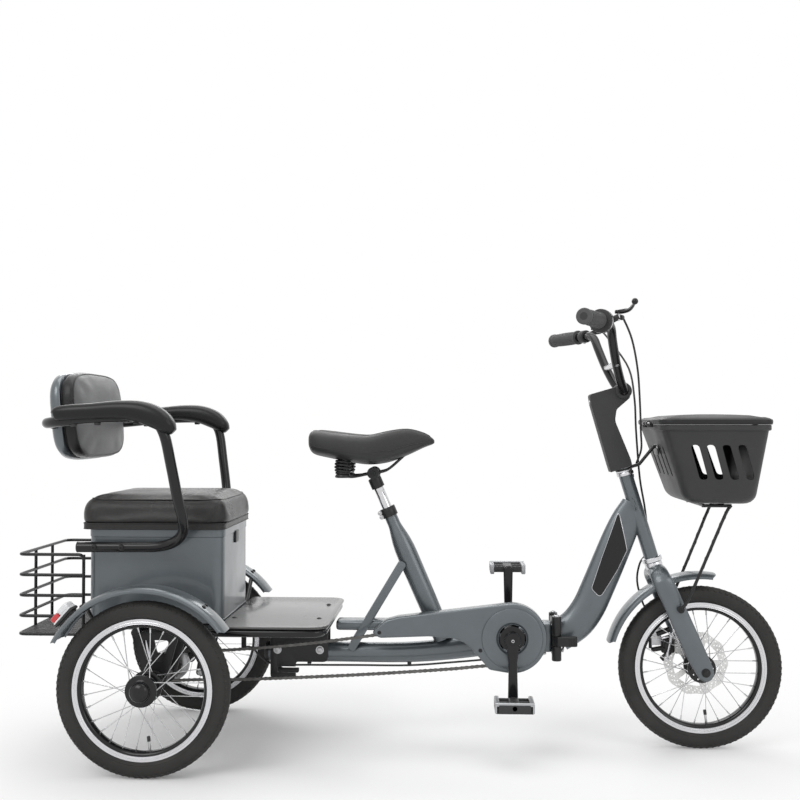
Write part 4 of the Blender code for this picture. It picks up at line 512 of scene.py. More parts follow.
def make_finish(name, colour, rough, metal=0, coat=0, spread=0.08, patch=14, grain=900, depth=0.0001,
                marks=0.15, dust=0, hide=0, specular=0.5, wear=0.06):
    """A material with drifting tone, handled gloss, rub marks, settled dust and a skin or hide grain; with a
    hide grain, painted shade darkens the creases.
    """
    FINISHES[name] = material = bpy.data.materials.new(name)
    material.use_nodes = True
    tree = material.node_tree
    place = put(tree, "TexCoord").outputs["Object"]

    def effect(group, **links):
        return put(tree, "Group", {"Place": place, **links}, node_tree=group)

    tone = effect(TONE, Colour=(*colour, 1), Spread=spread, Size=patch)
    rub = effect(RUB)
    scuffed = put(tree, "Math", {0: rub, 1: marks}, operation="MULTIPLY")
    top = mixed(tree, scuffed, tone, (*(min(1, channel * 1.5 + 0.04) for channel in colour), 1))
    if dust:
        top = mixed(tree, effect(DUST, Amount=dust), top, DUST_COLOUR)
    skin = effect(HIDE, Size=grain, Depth=hide) if hide else effect(BUMP, Size=grain, Depth=depth)
    # Painted shade: with a hide grain, the colour is darkened to 0.55 in the creases between its cells.
    if hide:
        top = mixed(tree, skin.outputs["Crease shade"], (*(channel * 0.55 for channel in colour), 1), top)
    gloss = ramp(tree, rub.outputs["Patches"], 0, 1, max(0.03, rough - wear), min(1, rough + wear))
    inputs = tree.nodes["Principled BSDF"].inputs
    for key, source in (("Base Color", top), ("Roughness", gloss.outputs[0]),
                        ("Normal", skin.outputs["Normal"])):
        tree.links.new(source, inputs[key])
    for key, value in (("Metallic", metal), ("Coat Weight", coat), ("Coat Roughness", 0.12),
                       ("Specular IOR Level", specular)):
        inputs[key].default_value = value


def colour_of(name, description, default):
    return bpy.props.FloatVectorProperty(name=name, description=description, subtype="COLOR", size=3, min=0,
                                         max=1, default=default)


def length_of(name, description, default, low, high):
    return bpy.props.FloatProperty(name=name, description=description, unit="LENGTH", default=default,
                                   min=low, max=high)


class TricycleColours(bpy.types.PropertyGroup):
    frame_paint: colour_of("Frame paint", "Satin metallic paint of the frame, fenders, box and fork",
                           (0.112, 0.129, 0.14))
    trim_black: colour_of("Trim black", "Powder coat of the tubes, handlebar and struts", (0.01, 0.01, 0.011))
    leather: colour_of("Seat leather", "Cover of the passenger seat", (0.023, 0.0212, 0.0206))
    rubber: colour_of("Tyre rubber", "Tyres", (0.026, 0.025, 0.024))
    grip: colour_of("Grip rubber", "Handlebar grips", (0.075, 0.075, 0.076))
    lamp_red: colour_of("Lamp red", "Red half of the rear lamps", (0.56, 0.03, 0.035))
    floor: colour_of("Floor", "Studio floor and backdrop", (0.93, 0.93, 0.93))


class TricycleSizes(bpy.types.PropertyGroup):
    tyre_radius: length_of("Tyre radius", "To the crown of the tyre", 0.1985, 0.15, 0.25)
    tyre_half: length_of("Tyre half width", "Half the tyre's width", 0.0212, 0.01, 0.04)
    rim_radius: length_of("Rim radius", "To the rim's edge", 0.16, 0.12, 0.2)
    cable_radius: length_of("Cable radius", "Brake cable sleeve", 0.0025, 0.001, 0.005)
    spokes: bpy.props.IntProperty(name="Spokes", description="Spokes in each wheel", default=28, min=12,
                                  max=48)
    tread_blocks: bpy.props.IntProperty(name="Tread blocks",
        description="Blocks in each of a tyre's four rows", default=84, min=20, max=120)
    coil_turns: bpy.props.FloatProperty(name="Spring turns", description="Turns of each saddle spring",
                                        default=5, min=2, max=8)


def sizes():
    return bpy.context.scene.tricycle_sizes


class TRICYCLE_OT_finishes(bpy.types.Operator):
    """Make the paints, rubbers, leathers and metals that the pieces use"""
    bl_idname = "tricycle.finishes"
    bl_label = "Finishes"

    def execute(self, context):
        colours = context.scene.tricycle_colours
        make_finish("frame paint", colours.frame_paint, 0.36, 0.55, coat=0.55, spread=0.05, depth=0.00002,
                    marks=0.05, dust=0.03)
        make_finish("gloss black", colours.trim_black, 0.17, coat=0.1, grain=700, depth=0.00003, marks=0.05,
                    specular=0.28)
        make_finish("satin black", (0.015, 0.015, 0.016), 0.34, dust=0.04, specular=0.34)
        make_finish("matt black", (0.034, 0.034, 0.035), 0.62, depth=0.0002, marks=0.12, dust=0.05,
                    specular=0.35)
        make_finish("moulded plastic", (0.028, 0.028, 0.029), 0.46, grain=620, depth=0.00028, marks=0.12,
                    dust=0.05, specular=0.4)
        make_finish("lid plastic", (0.024, 0.024, 0.025), 0.4, grain=500, marks=0.12, dust=0.03,
                    specular=0.18)
        make_finish("tyre rubber", colours.rubber, 0.7, grain=800, depth=0.0003, spread=0.16, marks=0.05,
                    dust=0.08, specular=0.32)
        make_finish("grip rubber", colours.grip, 0.6, grain=1100, depth=0.0003, marks=0.04, specular=0.35)
        # These leathers get the hide grain, with painted shade in its creases.
        for name, colour, rough, hide, spread, marks, grain, specular in (
                ("seat leather", colours.leather, 0.33, 0.00026, 0.1, 0, 320, 0.34),
                ("back leather", (0.098, 0.1, 0.103), 0.38, 0.00018, 0.05, 0, 320, 0.5),
                ("band leather", (0.01, 0.01, 0.011), 0.32, 0.00022, 0.08, 0, 320, 0.34),
                ("saddle vinyl", (0.04, 0.04, 0.04), 0.5, 0.00022, 0.06, 0.04, 520, 0.3)):
            make_finish(name, colour, rough, hide=hide, spread=spread, marks=marks, grain=grain,
                        specular=specular)
        make_finish("seam thread", (0.018, 0.017, 0.017), 0.55, grain=1500, depth=0.0003, marks=0)
        make_finish("moulded foam", (0.009, 0.009, 0.0093), 0.33, grain=1300, spread=0.1, marks=0.03,
                    specular=0.28)
        for name, colour, rough, spread, grain, depth, marks in (
                ("polished alloy", (0.66, 0.66, 0.68), 0.27, 0.04, 700, 0.00002, 0.04),
                ("spoke steel", (0.6, 0.6, 0.61), 0.26, 0.05, 900, 0.00003, 0.1),
                ("bolt steel", (0.48, 0.48, 0.49), 0.32, 0.1, 1200, 0.0001, 0.25)):
            make_finish(name, colour, rough, 1, spread=spread, grain=grain, depth=depth, marks=marks)
        make_finish("chrome", (0.64, 0.64, 0.65), 0.07, 1, spread=0.02, grain=60, depth=0.00003, marks=0.05,
                    wear=0.03)
        make_finish("chain steel", (0.13, 0.128, 0.124), 0.4, 1, spread=0.22, patch=60, grain=1200,
                    depth=0.0002, marks=0.3)
        make_finish("rotor steel", (0.74, 0.74, 0.73), 0.36, 0.85, spread=0.06, grain=1500, marks=0.4)
        make_finish("deck board", (0.05, 0.048, 0.047), 0.26, coat=0.4, depth=0.00003, spread=0.05,
                    marks=0.05, wear=0.02)
        make_finish("lamp red", colours.lamp_red, 0.16, coat=0.5, grain=260, depth=0.0003, spread=0.05,
                    marks=0.05)
        make_finish("lamp white", (0.72, 0.73, 0.74), 0.18, coat=0.4, grain=260, depth=0.0003, spread=0.04,
                    marks=0.05)
        make_finish("pedal grey", (0.4, 0.41, 0.42), 0.42, 0.7, grain=700, depth=0.0002, marks=0.35,
                    dust=0.05)
        make_finish("reflector red", (0.5, 0.08, 0.03), 0.2, depth=0.0006, spread=0.1, marks=0.02)
        return {"FINISHED"}


# Wheels

WHEELS = (("rear_right", REAR_X, -WHEEL_Y, "drive_axle"), ("rear_left", REAR_X, WHEEL_Y, "free_wheel"),
          ("front", FRONT_X, 0, "front_wheel"))
TREAD_ROWS = ((0.8, 0.62, 0.0066, 0.0056, 0.0061, 0), (0.36, 0.26, 0.0072, 0.005, 0.0014, 0.5),
              (-0.36, -0.26, 0.0072, 0.005, 0.0014, 0), (-0.8, -0.62, 0.0066, 0.0056, 0.0061, 0.5))


def mirrored(half, middle=()):
    """A profile and its mirror image across the wheel's middle plane."""
    return [*half, *middle, *((r, -y) for r, y in reversed(half))]


def tyre_body():
    """One tyre at the origin: its section spun round, then blocks set along both shoulders and the crown."""
    crown, half = sizes().tyre_radius, sizes().tyre_half
    outer = [(0.1592, half * 0.58), (0.163, half * 0.72), (0.1695, half * 0.93), (0.178, half),
             (0.186, half * 0.955), (0.1915, half * 0.8), (crown - 0.0018, half * 0.52), (crown, half * 0.24)]
    parts = [turned([*mirrored(outer), (0.1592, 0)], steps=112)]
    count = sizes().tread_blocks
    for across, turn, length, width, sink, shift in TREAD_ROWS:
        deselect()
        bpy.ops.mesh.primitive_cube_add(size=1, scale=(length, width, 0.0026))
        stud = settle(bpy.context.object)
        edit(stud, "FACE", "DESELECT")
        leave()
        for face in stud.data.polygons:
            face.select = face.normal.z > 0.9
        bpy.ops.object.mode_set(mode="EDIT")
        bpy.ops.transform.resize(value=(0.72, 0.72, 1))
        leave()
        seat = Matrix.Translation((0, half * across, crown - sink)) @ Matrix.Rotation(-turn, 4, "X")
        parts += [copy_of(stud, Matrix.Rotation(-tau * (index + shift) / count, 4, "Y") @ seat)
                  for index in range(count)]
        discard(stud)
    for y in (half * 0.9, -half * 0.9):
        parts.append(turned([(0.1652, y * 0.94), (0.1668, y * 1.005), (0.1684, y * 0.97)], steps=84))
    return coat(settle(join(parts)), "tyre rubber")


def rim_body(flange_y):
    """One rim at the origin with its brake tracks, black well, spokes, nipples and valve."""
    edge, count = sizes().rim_radius, sizes().spokes
    side = [(edge, 0.015), (edge, 0.0128), (edge - 0.0035, 0.012), (edge - 0.005, 0.0055)]
    under = [(edge - drop, y) for drop, y in ((0.0045, 0.015), (0.005, 0.0144), (0.0062, 0.0144),
        (0.0067, 0.0148), (0.0095, 0.0146), (0.01, 0.014), (0.0112, 0.014), (0.0117, 0.0143), (0.015, 0.0132),
        (0.0185, 0.0112), (0.02, 0.008))]
    hoop = turned([*mirrored(side), *((r, -y) for r, y in under), *reversed(under)], steps=84)
    coat(hoop, "polished alloy", "gloss black")
    parts = [paint_where(hoop, lambda face: hypot(face.center.x, face.center.z) < edge - 0.0125)]
    inner, flange, nipple = edge - 0.0196, 0.034, 0.0019
    for index in range(count):
        out = 1 if index % 2 else -1
        angle = tau * (index + 0.5) / count
        lean = radians(30) * (1 if index % 4 < 2 else -1)
        tip = round_point(0, 0, inner, angle, out * 0.003)
        root = round_point(0, 0, flange, angle + lean, out * flange_y)
        run = (tip - root).normalized()
        for start, stop, radius in ((root, tip, 0.00105), (tip - run * 0.012, tip + run * 0.001, nipple)):
            deselect()
            bpy.ops.mesh.primitive_cylinder_add(vertices=6, radius=radius, depth=(stop - start).length)
            parts.append(coat(bpy.context.object, "spoke steel"))
            parts[-1].matrix_world = frame_of((start + stop) / 2, stop - start)
        deselect()
        bpy.ops.mesh.primitive_uv_sphere_add(segments=6, ring_count=4, radius=nipple, location=root)
        parts.append(coat(bpy.context.object, "spoke steel"))
    outward = round_point(0, 0, 1, pi / 28 - pi / 2)
    parts += [coat(bar(outward * (inner + 0.001), outward * (inner - 0.024), 0.003, 12, 0.0006),
        "bolt steel"),
        coat(bar(outward * (inner - 0.022), outward * (inner - 0.034), 0.004, 12, 0.001), "matt black")]
    return settle(join(parts))


def front_hub_body():
    """The slim front hub at the origin: pierced flanges, barrel, bearing caps and axle."""
    half = [(0, 0.056), (0.008, 0.056), (0.0085, 0.0475), (0.0135, 0.047), (0.015, 0.044), (0.015, 0.03),
            (0.019, 0.0275), (0.0335, 0.0265), (0.0345, 0.0255), (0.0345, 0.0228), (0.0335, 0.0218),
            (0.019, 0.0205), (0.0155, 0.014)]
    hub = cut(turned(mirrored(half, [(0.014, 0)]), steps=48),
              *[pin(0.0262 * c, 0.0262 * s, -0.06, 0.06, 0.0032, 10) for c, s in circle(10)])
    return join([coat(hub, "satin black"),
        coat(pin(0, 0, -0.0495, 0.0495, 0.0049, 16, 0.0008), "bolt steel")])


def rear_hub_body():
    """The rear hub at the origin: two flanges and a domed black cap on the outer side, at -Y."""
    flange = [(0.0262, -0.0245), (0.035, -0.0238), (0.0364, -0.0228), (0.0364, -0.0206), (0.035, -0.0196),
              (0.0262, -0.019), (0.0232, -0.015)]
    section = [(0, -0.0468), (0.009, -0.0458), (0.017, -0.0425), (0.0222, -0.0372), (0.024, -0.031),
        (0.024, -0.0262), *mirrored(flange, [(0.0225, 0)]), (0.0235, 0.0262), (0.022, 0.033), (0, 0.033)]
    step = turned([(0.024, -0.03), (0.0256, -0.0292), (0.024, -0.0284)], steps=48)
    return coat(join([turned(section, steps=56), step]), "gloss black")


class TRICYCLE_OT_wheels(bpy.types.Operator):
    """Make the three wheels: tyres with tread blocks, spoked rims and the front and left hubs"""
    bl_idname = "tricycle.wheels"
    bl_label = "Wheels"

    def execute(self, context):
        tyre, rear_rim, front_rim = tyre_body(), rim_body(0.022), rim_body(0.024)
        for name, x, y, body in WHEELS:
            place = Matrix.Translation((x, y, AXLE_Z))
            rim = front_rim if name == "front" else rear_rim
            finish_piece([copy_of(tyre, place)], "tyre_" + name, "treaded", body, 32)
            finish_piece([copy_of(rim, place)], "rim_" + name, "spoked", body, 40)
        for spare in (tyre, rear_rim, front_rim):
            discard(spare)
        hub = settle(front_hub_body(), Matrix.Translation((FRONT_X, 0, AXLE_Z)))
        finish_piece([hub], "hub_front", "turned", "front_wheel")
        hub = settle(rear_hub_body(),
                     Matrix.Translation((REAR_X, WHEEL_Y, AXLE_Z)) @ Matrix.Rotation(pi, 4, "X"))
        finish_piece([hub], "hub_rear_left", "turned", "free_wheel")
        return {"FINISHED"}


def window_between(x, z, start, rows):
    """The outline of an opening in a wheel, from rows of a radius and its angles."""
    return [round_point(x, z, radius, start + angle) for radius, angles in rows for angle in angles]


def rotor_body():
    """The disc: a wavy pierced ring on a five armed carrier."""
    outline = [round_point(FRONT_X, AXLE_Z, 0.078 + 0.002 * cos(10 * angle), angle)
               for angle in [tau * index / 120 for index in range(120)]]
    holes = [round_point(FRONT_X, AXLE_Z, radius, tau * (index + shift) / 30)
             for index in range(30) for shift, radius in ((0, 0.0728), (0.33, 0.0682), (0.66, 0.0635))]
    rows = ((0.0575, (0.12, 0.55, 0.98, 1.12)), (0.027, (0.98, 0.55, 0.22)))
    windows = [slab(window_between(FRONT_X, AXLE_Z, tau * index / 5, rows), "xz", 0.03, 0.05)
               for index in range(5)]
    disc = cut(slab(outline, "xz", 0.0395, 0.0415, 0.0003, 1),
               *[pin(p.x, p.z, 0.03, 0.05, 0.0019, 8) for p in holes], *windows)
    bolts = [bolt(round_point(FRONT_X, AXLE_Z, 0.022, radians(72 * index + 20), 0.0415), Y_AXIS, 0.0042,
        0.0028, "bolt steel") for index in range(5)]
    return join([coat(disc, "rotor steel"), *bolts])


class TRICYCLE_OT_disc_brake(bpy.types.Operator):
    """Make the front disc and its caliper"""
    bl_idname = "tricycle.disc_brake"
    bl_label = "Disc brake"

    def execute(self, context):
        finish_piece([rotor_body()], "brake_rotor", "pierced", "front_wheel", 30)
        body = cut(block((0.64, 0.028, 0.224), (0.674, 0.0475, 0.262), 0.006, 3),
                   block((0.64, 0.0375, 0.2), (0.7, 0.0435, 0.3)))
        parts = [coat(body, "satin black"),
            coat(slab(soft_box((0.612, 0.244), (0.64, 0.292), 0.006), "xz", 0.03, 0.036, 0.0012),
                 "bolt steel"),
            coat(slab(soft_box((0.66, 0.22), (0.69, 0.264), 0.008), "xz", 0.0455, 0.0492, 0.0008),
                 "polished alloy"),
            coat(bar((0.618, 0.033, 0.283), (0.618, 0.033, 0.304), 0.0042, 12, 0.0008), "bolt steel"),
            coat(pin(0.656, 0.244, 0.0285, 0.0235, 0.0095, 20, 0.0015), "satin black")]
        for start, stop, radius in (((0.628, 0.033, 0.272), (0.662, 0.033, 0.284), 0.007),
                                    ((0.615, 0.033, 0.232), (0.648, 0.033, 0.238), 0.006),
                                    ((0.64, 0.034, 0.208), (0.662, 0.034, 0.228), 0.0065),
                                    ((0.613, 0.033, 0.236), (0.613, 0.033, 0.262), 0.0042)):
            parts.append(coat(bar(start, stop, radius, 14, 0.0014), "satin black"))
        face_y, pivot = 0.0262, (0.664, 0.27)
        for start, end in (((0.664, 0.272), (0.676, 0.288)), ((0.664, 0.268), (0.652, 0.212)),
                           (pivot, (0.64, 0.262))):
            strip = bar(sideways(start, face_y), sideways(end, face_y), 0.0036, 10, 0.0008)
            parts.append(coat(strip, "polished alloy"))
        parts += [bolt(sideways(place, face_y), OUT_RIGHT, 0.005, 0.004, "polished alloy")
                  for place in ((0.676, 0.288), (0.652, 0.212), pivot)]
        parts += [bolt((0.672, 0.0455, z), OUT_RIGHT, 0.004, 0.004, "bolt steel") for z in (0.228, 0.256)]
        finish_piece(parts, "brake_caliper", "bolted", "steering")
        return {"FINISHED"}


# Fenders and lamps

def fender_rise(x, centre_x):
    """How high the fender's crown stands over a place on the ground."""
    return AXLE_Z + sqrt(FENDER_R ** 2 - (centre_x - x) ** 2)


def fender_body(centre_x, start, stop):
    """A rolled fender, its lips turned in and its ends rounded."""
    half, wall, corner, spare = 0.036, 0.0016, 0.016, 0.003
    line = [(FENDER_R - 0.013, half), (FENDER_R - 0.0085, half), (FENDER_R - 0.004, half * 0.9),
            (FENDER_R - 0.0018, half * 0.66), (FENDER_R - 0.0003, half * 0.32)]
    outer = mirrored(line, [(FENDER_R, 0)])
    section = outer + [(r - wall, y * 0.955) for r, y in reversed(outer)]
    body = seal(spun([round_point(centre_x, AXLE_Z, r, radians(start), y) for r, y in section], 54,
                     radians(stop - start), (centre_x, 0, AXLE_Z), Y_AXIS), holes=True)
    outline = [(-spare, -spare), (corner, -spare),
        *((corner - corner * sin(a), corner - corner * cos(a))
          for a in [radians(d) for d in range(0, 91, 15)]),
        (-spare, corner)]
    for degrees, sense in ((start, 1), (stop, -1)):
        for side in BOTH:
            turn = (Matrix.Translation((centre_x, 0, AXLE_Z))
                @ Matrix.Rotation(-radians(degrees - 90), 4, "Y")
                @ Matrix.Translation((0, side * (half + 0.0005), 0)) @ Matrix.Diagonal((-sense, -side, 1, 1)))
            cut(body, seal(settle(slab(outline, "xy", 0.2, 0.26), turn)))
    return coat(body, "frame paint")


def lamp_body(side):
    """A lamp on its black foot: a white and a red lens side by side on a tray."""
    angle = radians(153 - 3 * (118 / 24))
    base = round_point(REAR_X, AXLE_Z, 0.2338, angle, side * (WHEEL_Y - 0.006))
    outward = (base - Vector((REAR_X, base.y, AXLE_Z))).normalized()
    parts = [coat(slab(soft_box((-a, -b), (a, b), corner), "xy", low, high, rim), finish)
             for a, b, corner, low, high, rim, finish in (
                 (0.022, 0.018, 0.006, 0, 0.01, 0.0012, "matt black"),
                 (0.028, 0.0225, 0.007, 0.006, 0.012, 0.001, "matt black"),
                 (0.027, 0.0215, 0.007, 0.0115, 0.016, 0.001, "lamp white"))]
    for low, high, top, finish in ((-0.0262, 0.002, 0.03, "lamp white"),
                                   (0.0026, 0.0262, 0.0285, "lamp red")):
        box = soft_box((low, -0.0208), (high, 0.0208), 0.006, 4)
        parts.append(coat(slab(box, "xy", 0.015, top, 0.005, 4), finish))
    turn = Matrix((Vector((-outward.z, 0, outward.x)), Vector(Y_AXIS), outward)).transposed().to_4x4()
    return settle(join(parts), Matrix.Translation(base) @ turn)


class TRICYCLE_OT_fenders(bpy.types.Operator):
    """Make the three fenders and the two rear lamps"""
    bl_idname = "tricycle.fenders"
    bl_label = "Fenders and lamps"

    def execute(self, context):
        for side, word in SIDES:
            y = side * WHEEL_Y
            parts = [settle(fender_body(REAR_X, 35, 153), Matrix.Translation((0, y, 0)))]
            for x in STAY_XS:
                place = Vector((x, y, fender_rise(x, REAR_X) - 0.0004))
                axis = place - Vector((REAR_X, y, AXLE_Z))
                parts += [bolt(place + Vector((0, shift, -0.0002)), axis, 0.0042, 0.003, "satin black")
                          for shift in (-0.012, 0.012)]
            finish_piece(parts, "fender_" + word, "rolled", "rear_frame")
            finish_piece([lamp_body(side)], "rear_lamp_" + word, "lensed", "rear_frame", 30)
        crown = head_point(-0.024)
        rise, low_x, high_x = fender_rise(crown.x, FRONT_X), crown.x - 0.002, crown.x + 0.002
        parts = [fender_body(FRONT_X, 81, 165), coat(block((low_x, -0.011, rise - 0.004),
            (high_x, 0.011, crown.z - 0.017), 0.001), "satin black"),
            coat(bar((crown.x, 0, rise - 0.002), (crown.x, 0, crown.z - 0.0166), 0.007, 16, 0.001),
            "satin black"), bolt((low_x, 0, rise + 0.004), (-1, 0, 0), 0.004, 0.003, "bolt steel")]
        finish_piece(parts, "front_fender", "rolled", "steering")
        return {"FINISHED"}


# Frame

def weld(place, axis, radius, wide=None):
    """A weld bead round a joint, slightly uneven."""
    ring, turn, count = [], frame_of(place, axis), 40
    for angle in [tau * index / count for index in range(count)]:
        wobble = 1 + 0.02 * sin(angle * 17)
        ring.append(turn @ Vector(((wide or radius) * wobble * cos(angle), radius * wobble * sin(angle), 0)))
    return coat(tube(ring, 0.0022, 8, ring=True), "frame paint")


# The frame hinge: its pin, the latch's pin, the ends of its barrel and the height of each knuckle
HINGE_X, HINGE_Y, LATCH_Y, HINGE_ZS, HINGE_THIRD = 0.372, 0.047, -0.044, (0.225, 0.321), 0.032


class TRICYCLE_OT_main_frame(bpy.types.Operator):
    """Make the rear half of the frame with its seat tube, braces, fold hinge and seat clamp"""
    bl_idname = "tricycle.main_frame"
    bl_label = "Main frame"

    def execute(self, context):
        lower = oval_tube([(-0.345, 0.226, 0.024, 0.025), (-0.17, 0.2262, 0.0245, 0.025),
            (0, 0.227, 0.025, 0.025), (0.12, 0.238, 0.027, 0.025), (0.26, 0.262, 0.033, 0.025),
            (0.3614, 0.271, 0.038, 0.025)], 32)
        seat = turned([(0, -0.352), (0.024, -0.352), (0.0256, -0.24), (0.0262, -0.13), (0.0256, -0.106),
            (0.0236, -0.086), (0.0205, -0.068), (0.0176, -0.054), (0.016, -0.044), (0.0158, 0),
            (0.0163, 0.001), (0.0163, 0.0038), (0.0138, 0.004), (0.0138, -0.192), (0, -0.192)], *SEAT, 40)
        shell = turned(mirrored([(0, -0.034), (0.0195, -0.034), (0.021, -0.0325)]), BRACKET, Y_AXIS, 36)
        upper = block((-0.1725, -0.025, 0.284), (0.075, 0.025, 0.309), 0.007, 3)
        lug = block((0.34, -0.031, 0.236), (0.3617, 0.031, 0.306), 0.005, 3)
        boss = pin(0.185, 0.248, -0.045, -0.02, 0.007, 16, 0.001)
        top, foot = Vector((-0.004, 0, 0.455)), Vector((-0.136, 0, 0.236))
        across = Vector((0.219, 0, -0.132)).normalized() * 0.01
        strip = outlined([top - across, top + across, foot + across, foot - across], 0.008, 4)
        braces = [slab(strip, "xz", side * 0.024, side * 0.029, 0.001) for side in BOTH]
        cap = oval_tube([(-0.352, 0.226, 0.02, 0.021), (-0.35, 0.226, 0.0245, 0.0255),
                         (-0.342, 0.226, 0.025, 0.026)], 32, steps=0)
        parts = [coat(part, "frame paint") for part in (lower, seat, shell, upper, lug, boss, *braces)]
        parts += [coat(cap, "matt black"), weld(seat_point(-0.318), SEAT_UP, 0.025)]
        clips = [block((x - 0.005, y - 0.0045, z - 0.001), (x + 0.005, y + 0.0045, z + 0.01), 0.001)
                 for x, y, z in ((0.24, 0.01, 0.212), (0.01, -0.006, 0.1995), (-0.24, -0.014, 0.2))]
        parts += coat_all(clips, "satin black")
        parts += [weld((BB_X, side * 0.0255, BB_Z), Y_AXIS, 0.0218) for side in BOTH]
        finish_piece(parts, "main_frame", "welded", "rear_frame")

        x, pin_y, latch_y, foot_z, top_z, third = HINGE_X, HINGE_Y, LATCH_Y, *HINGE_ZS, HINGE_THIRD
        low, high = foot_z + third, top_z - third
        parts = [slab(soft_box((-0.034, 0.229), (0.034, 0.317), 0.006), "yz", 0.3622, 0.3717, 0.0016),
                 bar((x, pin_y, low + 0.0004), (x, pin_y, high - 0.0004), 0.0108, 24, 0.0012),
                 block((0.3625, 0.028, low + 0.001), (0.3705, pin_y, high - 0.001), 0.001)]
        for low, high in ((0.219, 0.2545), (0.2795, 0.327)):
            parts += [bar((x, latch_y, low), (x, latch_y, high), 0.0118, 28, 0.0016),
                      block((0.3625, latch_y, low + 0.008), (0.37, -0.03, high - 0.008), 0.0015)]
        coat_all(parts, "satin black")
        parts.append(bolt((x, latch_y, 0.3268), Z_AXIS, 0.0072, 0.0036, "bolt steel"))
        for z, up in ((foot_z - 0.0006, -1), (top_z + 0.0006, 1)):
            parts.append(bolt((x, pin_y, z), (0, 0, up), 0.0062, 0.0034, "bolt steel"))
        parts += [bolt((0.3622, y, z), (-1, 0, 0), 0.0038, 0.0028, "bolt steel")
                  for z in (0.246, 0.3) for y in (-0.02, 0.02)]
        finish_piece(parts, "fold_hinge_rear", "turned", "rear_frame")

        parts = [turned([(0.0162, -0.0195), (0.019, -0.02), (0.0197, -0.019), (0.0197, 0.0028),
            (0.019, 0.0038), (0.0162, 0.004)], *SEAT, 40)]
        ears = [(seat_point(along, -0.0215, -0.01), seat_point(along, -0.0215, 0.01))
                for along in (-0.0135, -0.0025)]
        parts = coat_all(parts + [bar(start, stop, 0.0052, 18, 0.001) for start, stop in ears], "satin black")
        parts += [bolt(start, OUT_RIGHT, 0.0042, 0.0034, "bolt steel") for start, _ in ears]
        finish_piece(parts, "seat_clamp", "bolted", "rear_frame")
        return {"FINISHED"}


DOWN_TUBE = ((0.3823, 0.272, 0.04, 0.025), (0.402, 0.284, 0.04, 0.025), (0.43, 0.307, 0.041, 0.025),
             (0.456, 0.344, 0.041, 0.025), (0.478, 0.392, 0.041, 0.024), (0.502, 0.448, 0.041, 0.022),
             (0.53, 0.515, 0.04, 0.019), (0.552, 0.566, 0.036, 0.016), (0.566, 0.604, 0.026, 0.0155))
PANEL_STEP = 0.006
PANEL_ROWS = ((1, -0.0012), (1, 0.001), (0.965, 0.0012),
              *((share, 0.0007) for share in (0.95, 0.88, 0.78, 0.66, 0.54, 0.42, 0.3, 0.18, 0.06, 0.01)))


def panel_parts():
    """A black panel on each side of the down tube, laid on its curve, with a bright trim."""
    bends = outlined([(0.529, 0.582), (0.549, 0.486), (0.524, 0.436), (0.481, 0.37), (0.46, 0.392),
        (0.487, 0.47)], [0.004, 0.012, 0.03, 0.01, 0.01, 0.03], 5)
    line = []
    for point, ahead in zip(bends, bends[1:] + bends[:1]):
        count = max(1, round((ahead - point).length / PANEL_STEP))
        line += [point.lerp(ahead, step / count) for step in range(count)]
    fine = eased_stations(DOWN_TUBE, 10)
    centre = sum(line, Vector()) / len(line)

    def laid(point, side, lift):
        """The point moved sideways onto the tube's surface, and lifted off it."""
        x, z, deep, wide = min(fine, key=lambda row: (row[0] - point.x) ** 2 + (row[1] - point.z) ** 2)
        off = hypot(point.x - x, point.z - z)
        return sideways(point, side * (wide * sqrt(max(0.05, 1 - (off / deep) ** 2)) + lift))

    parts = []
    for side in BOTH:
        rings = [[laid(centre + (point - centre) * share, side, lift) for point in line]
                 for share, lift in PANEL_ROWS]
        trim = tube([laid(point, side, 0.0006) for point in line], 0.0009, 8, ring=True)
        parts += [coat(lofted(rings), "gloss black"), coat(trim, "polished alloy")]
    return parts


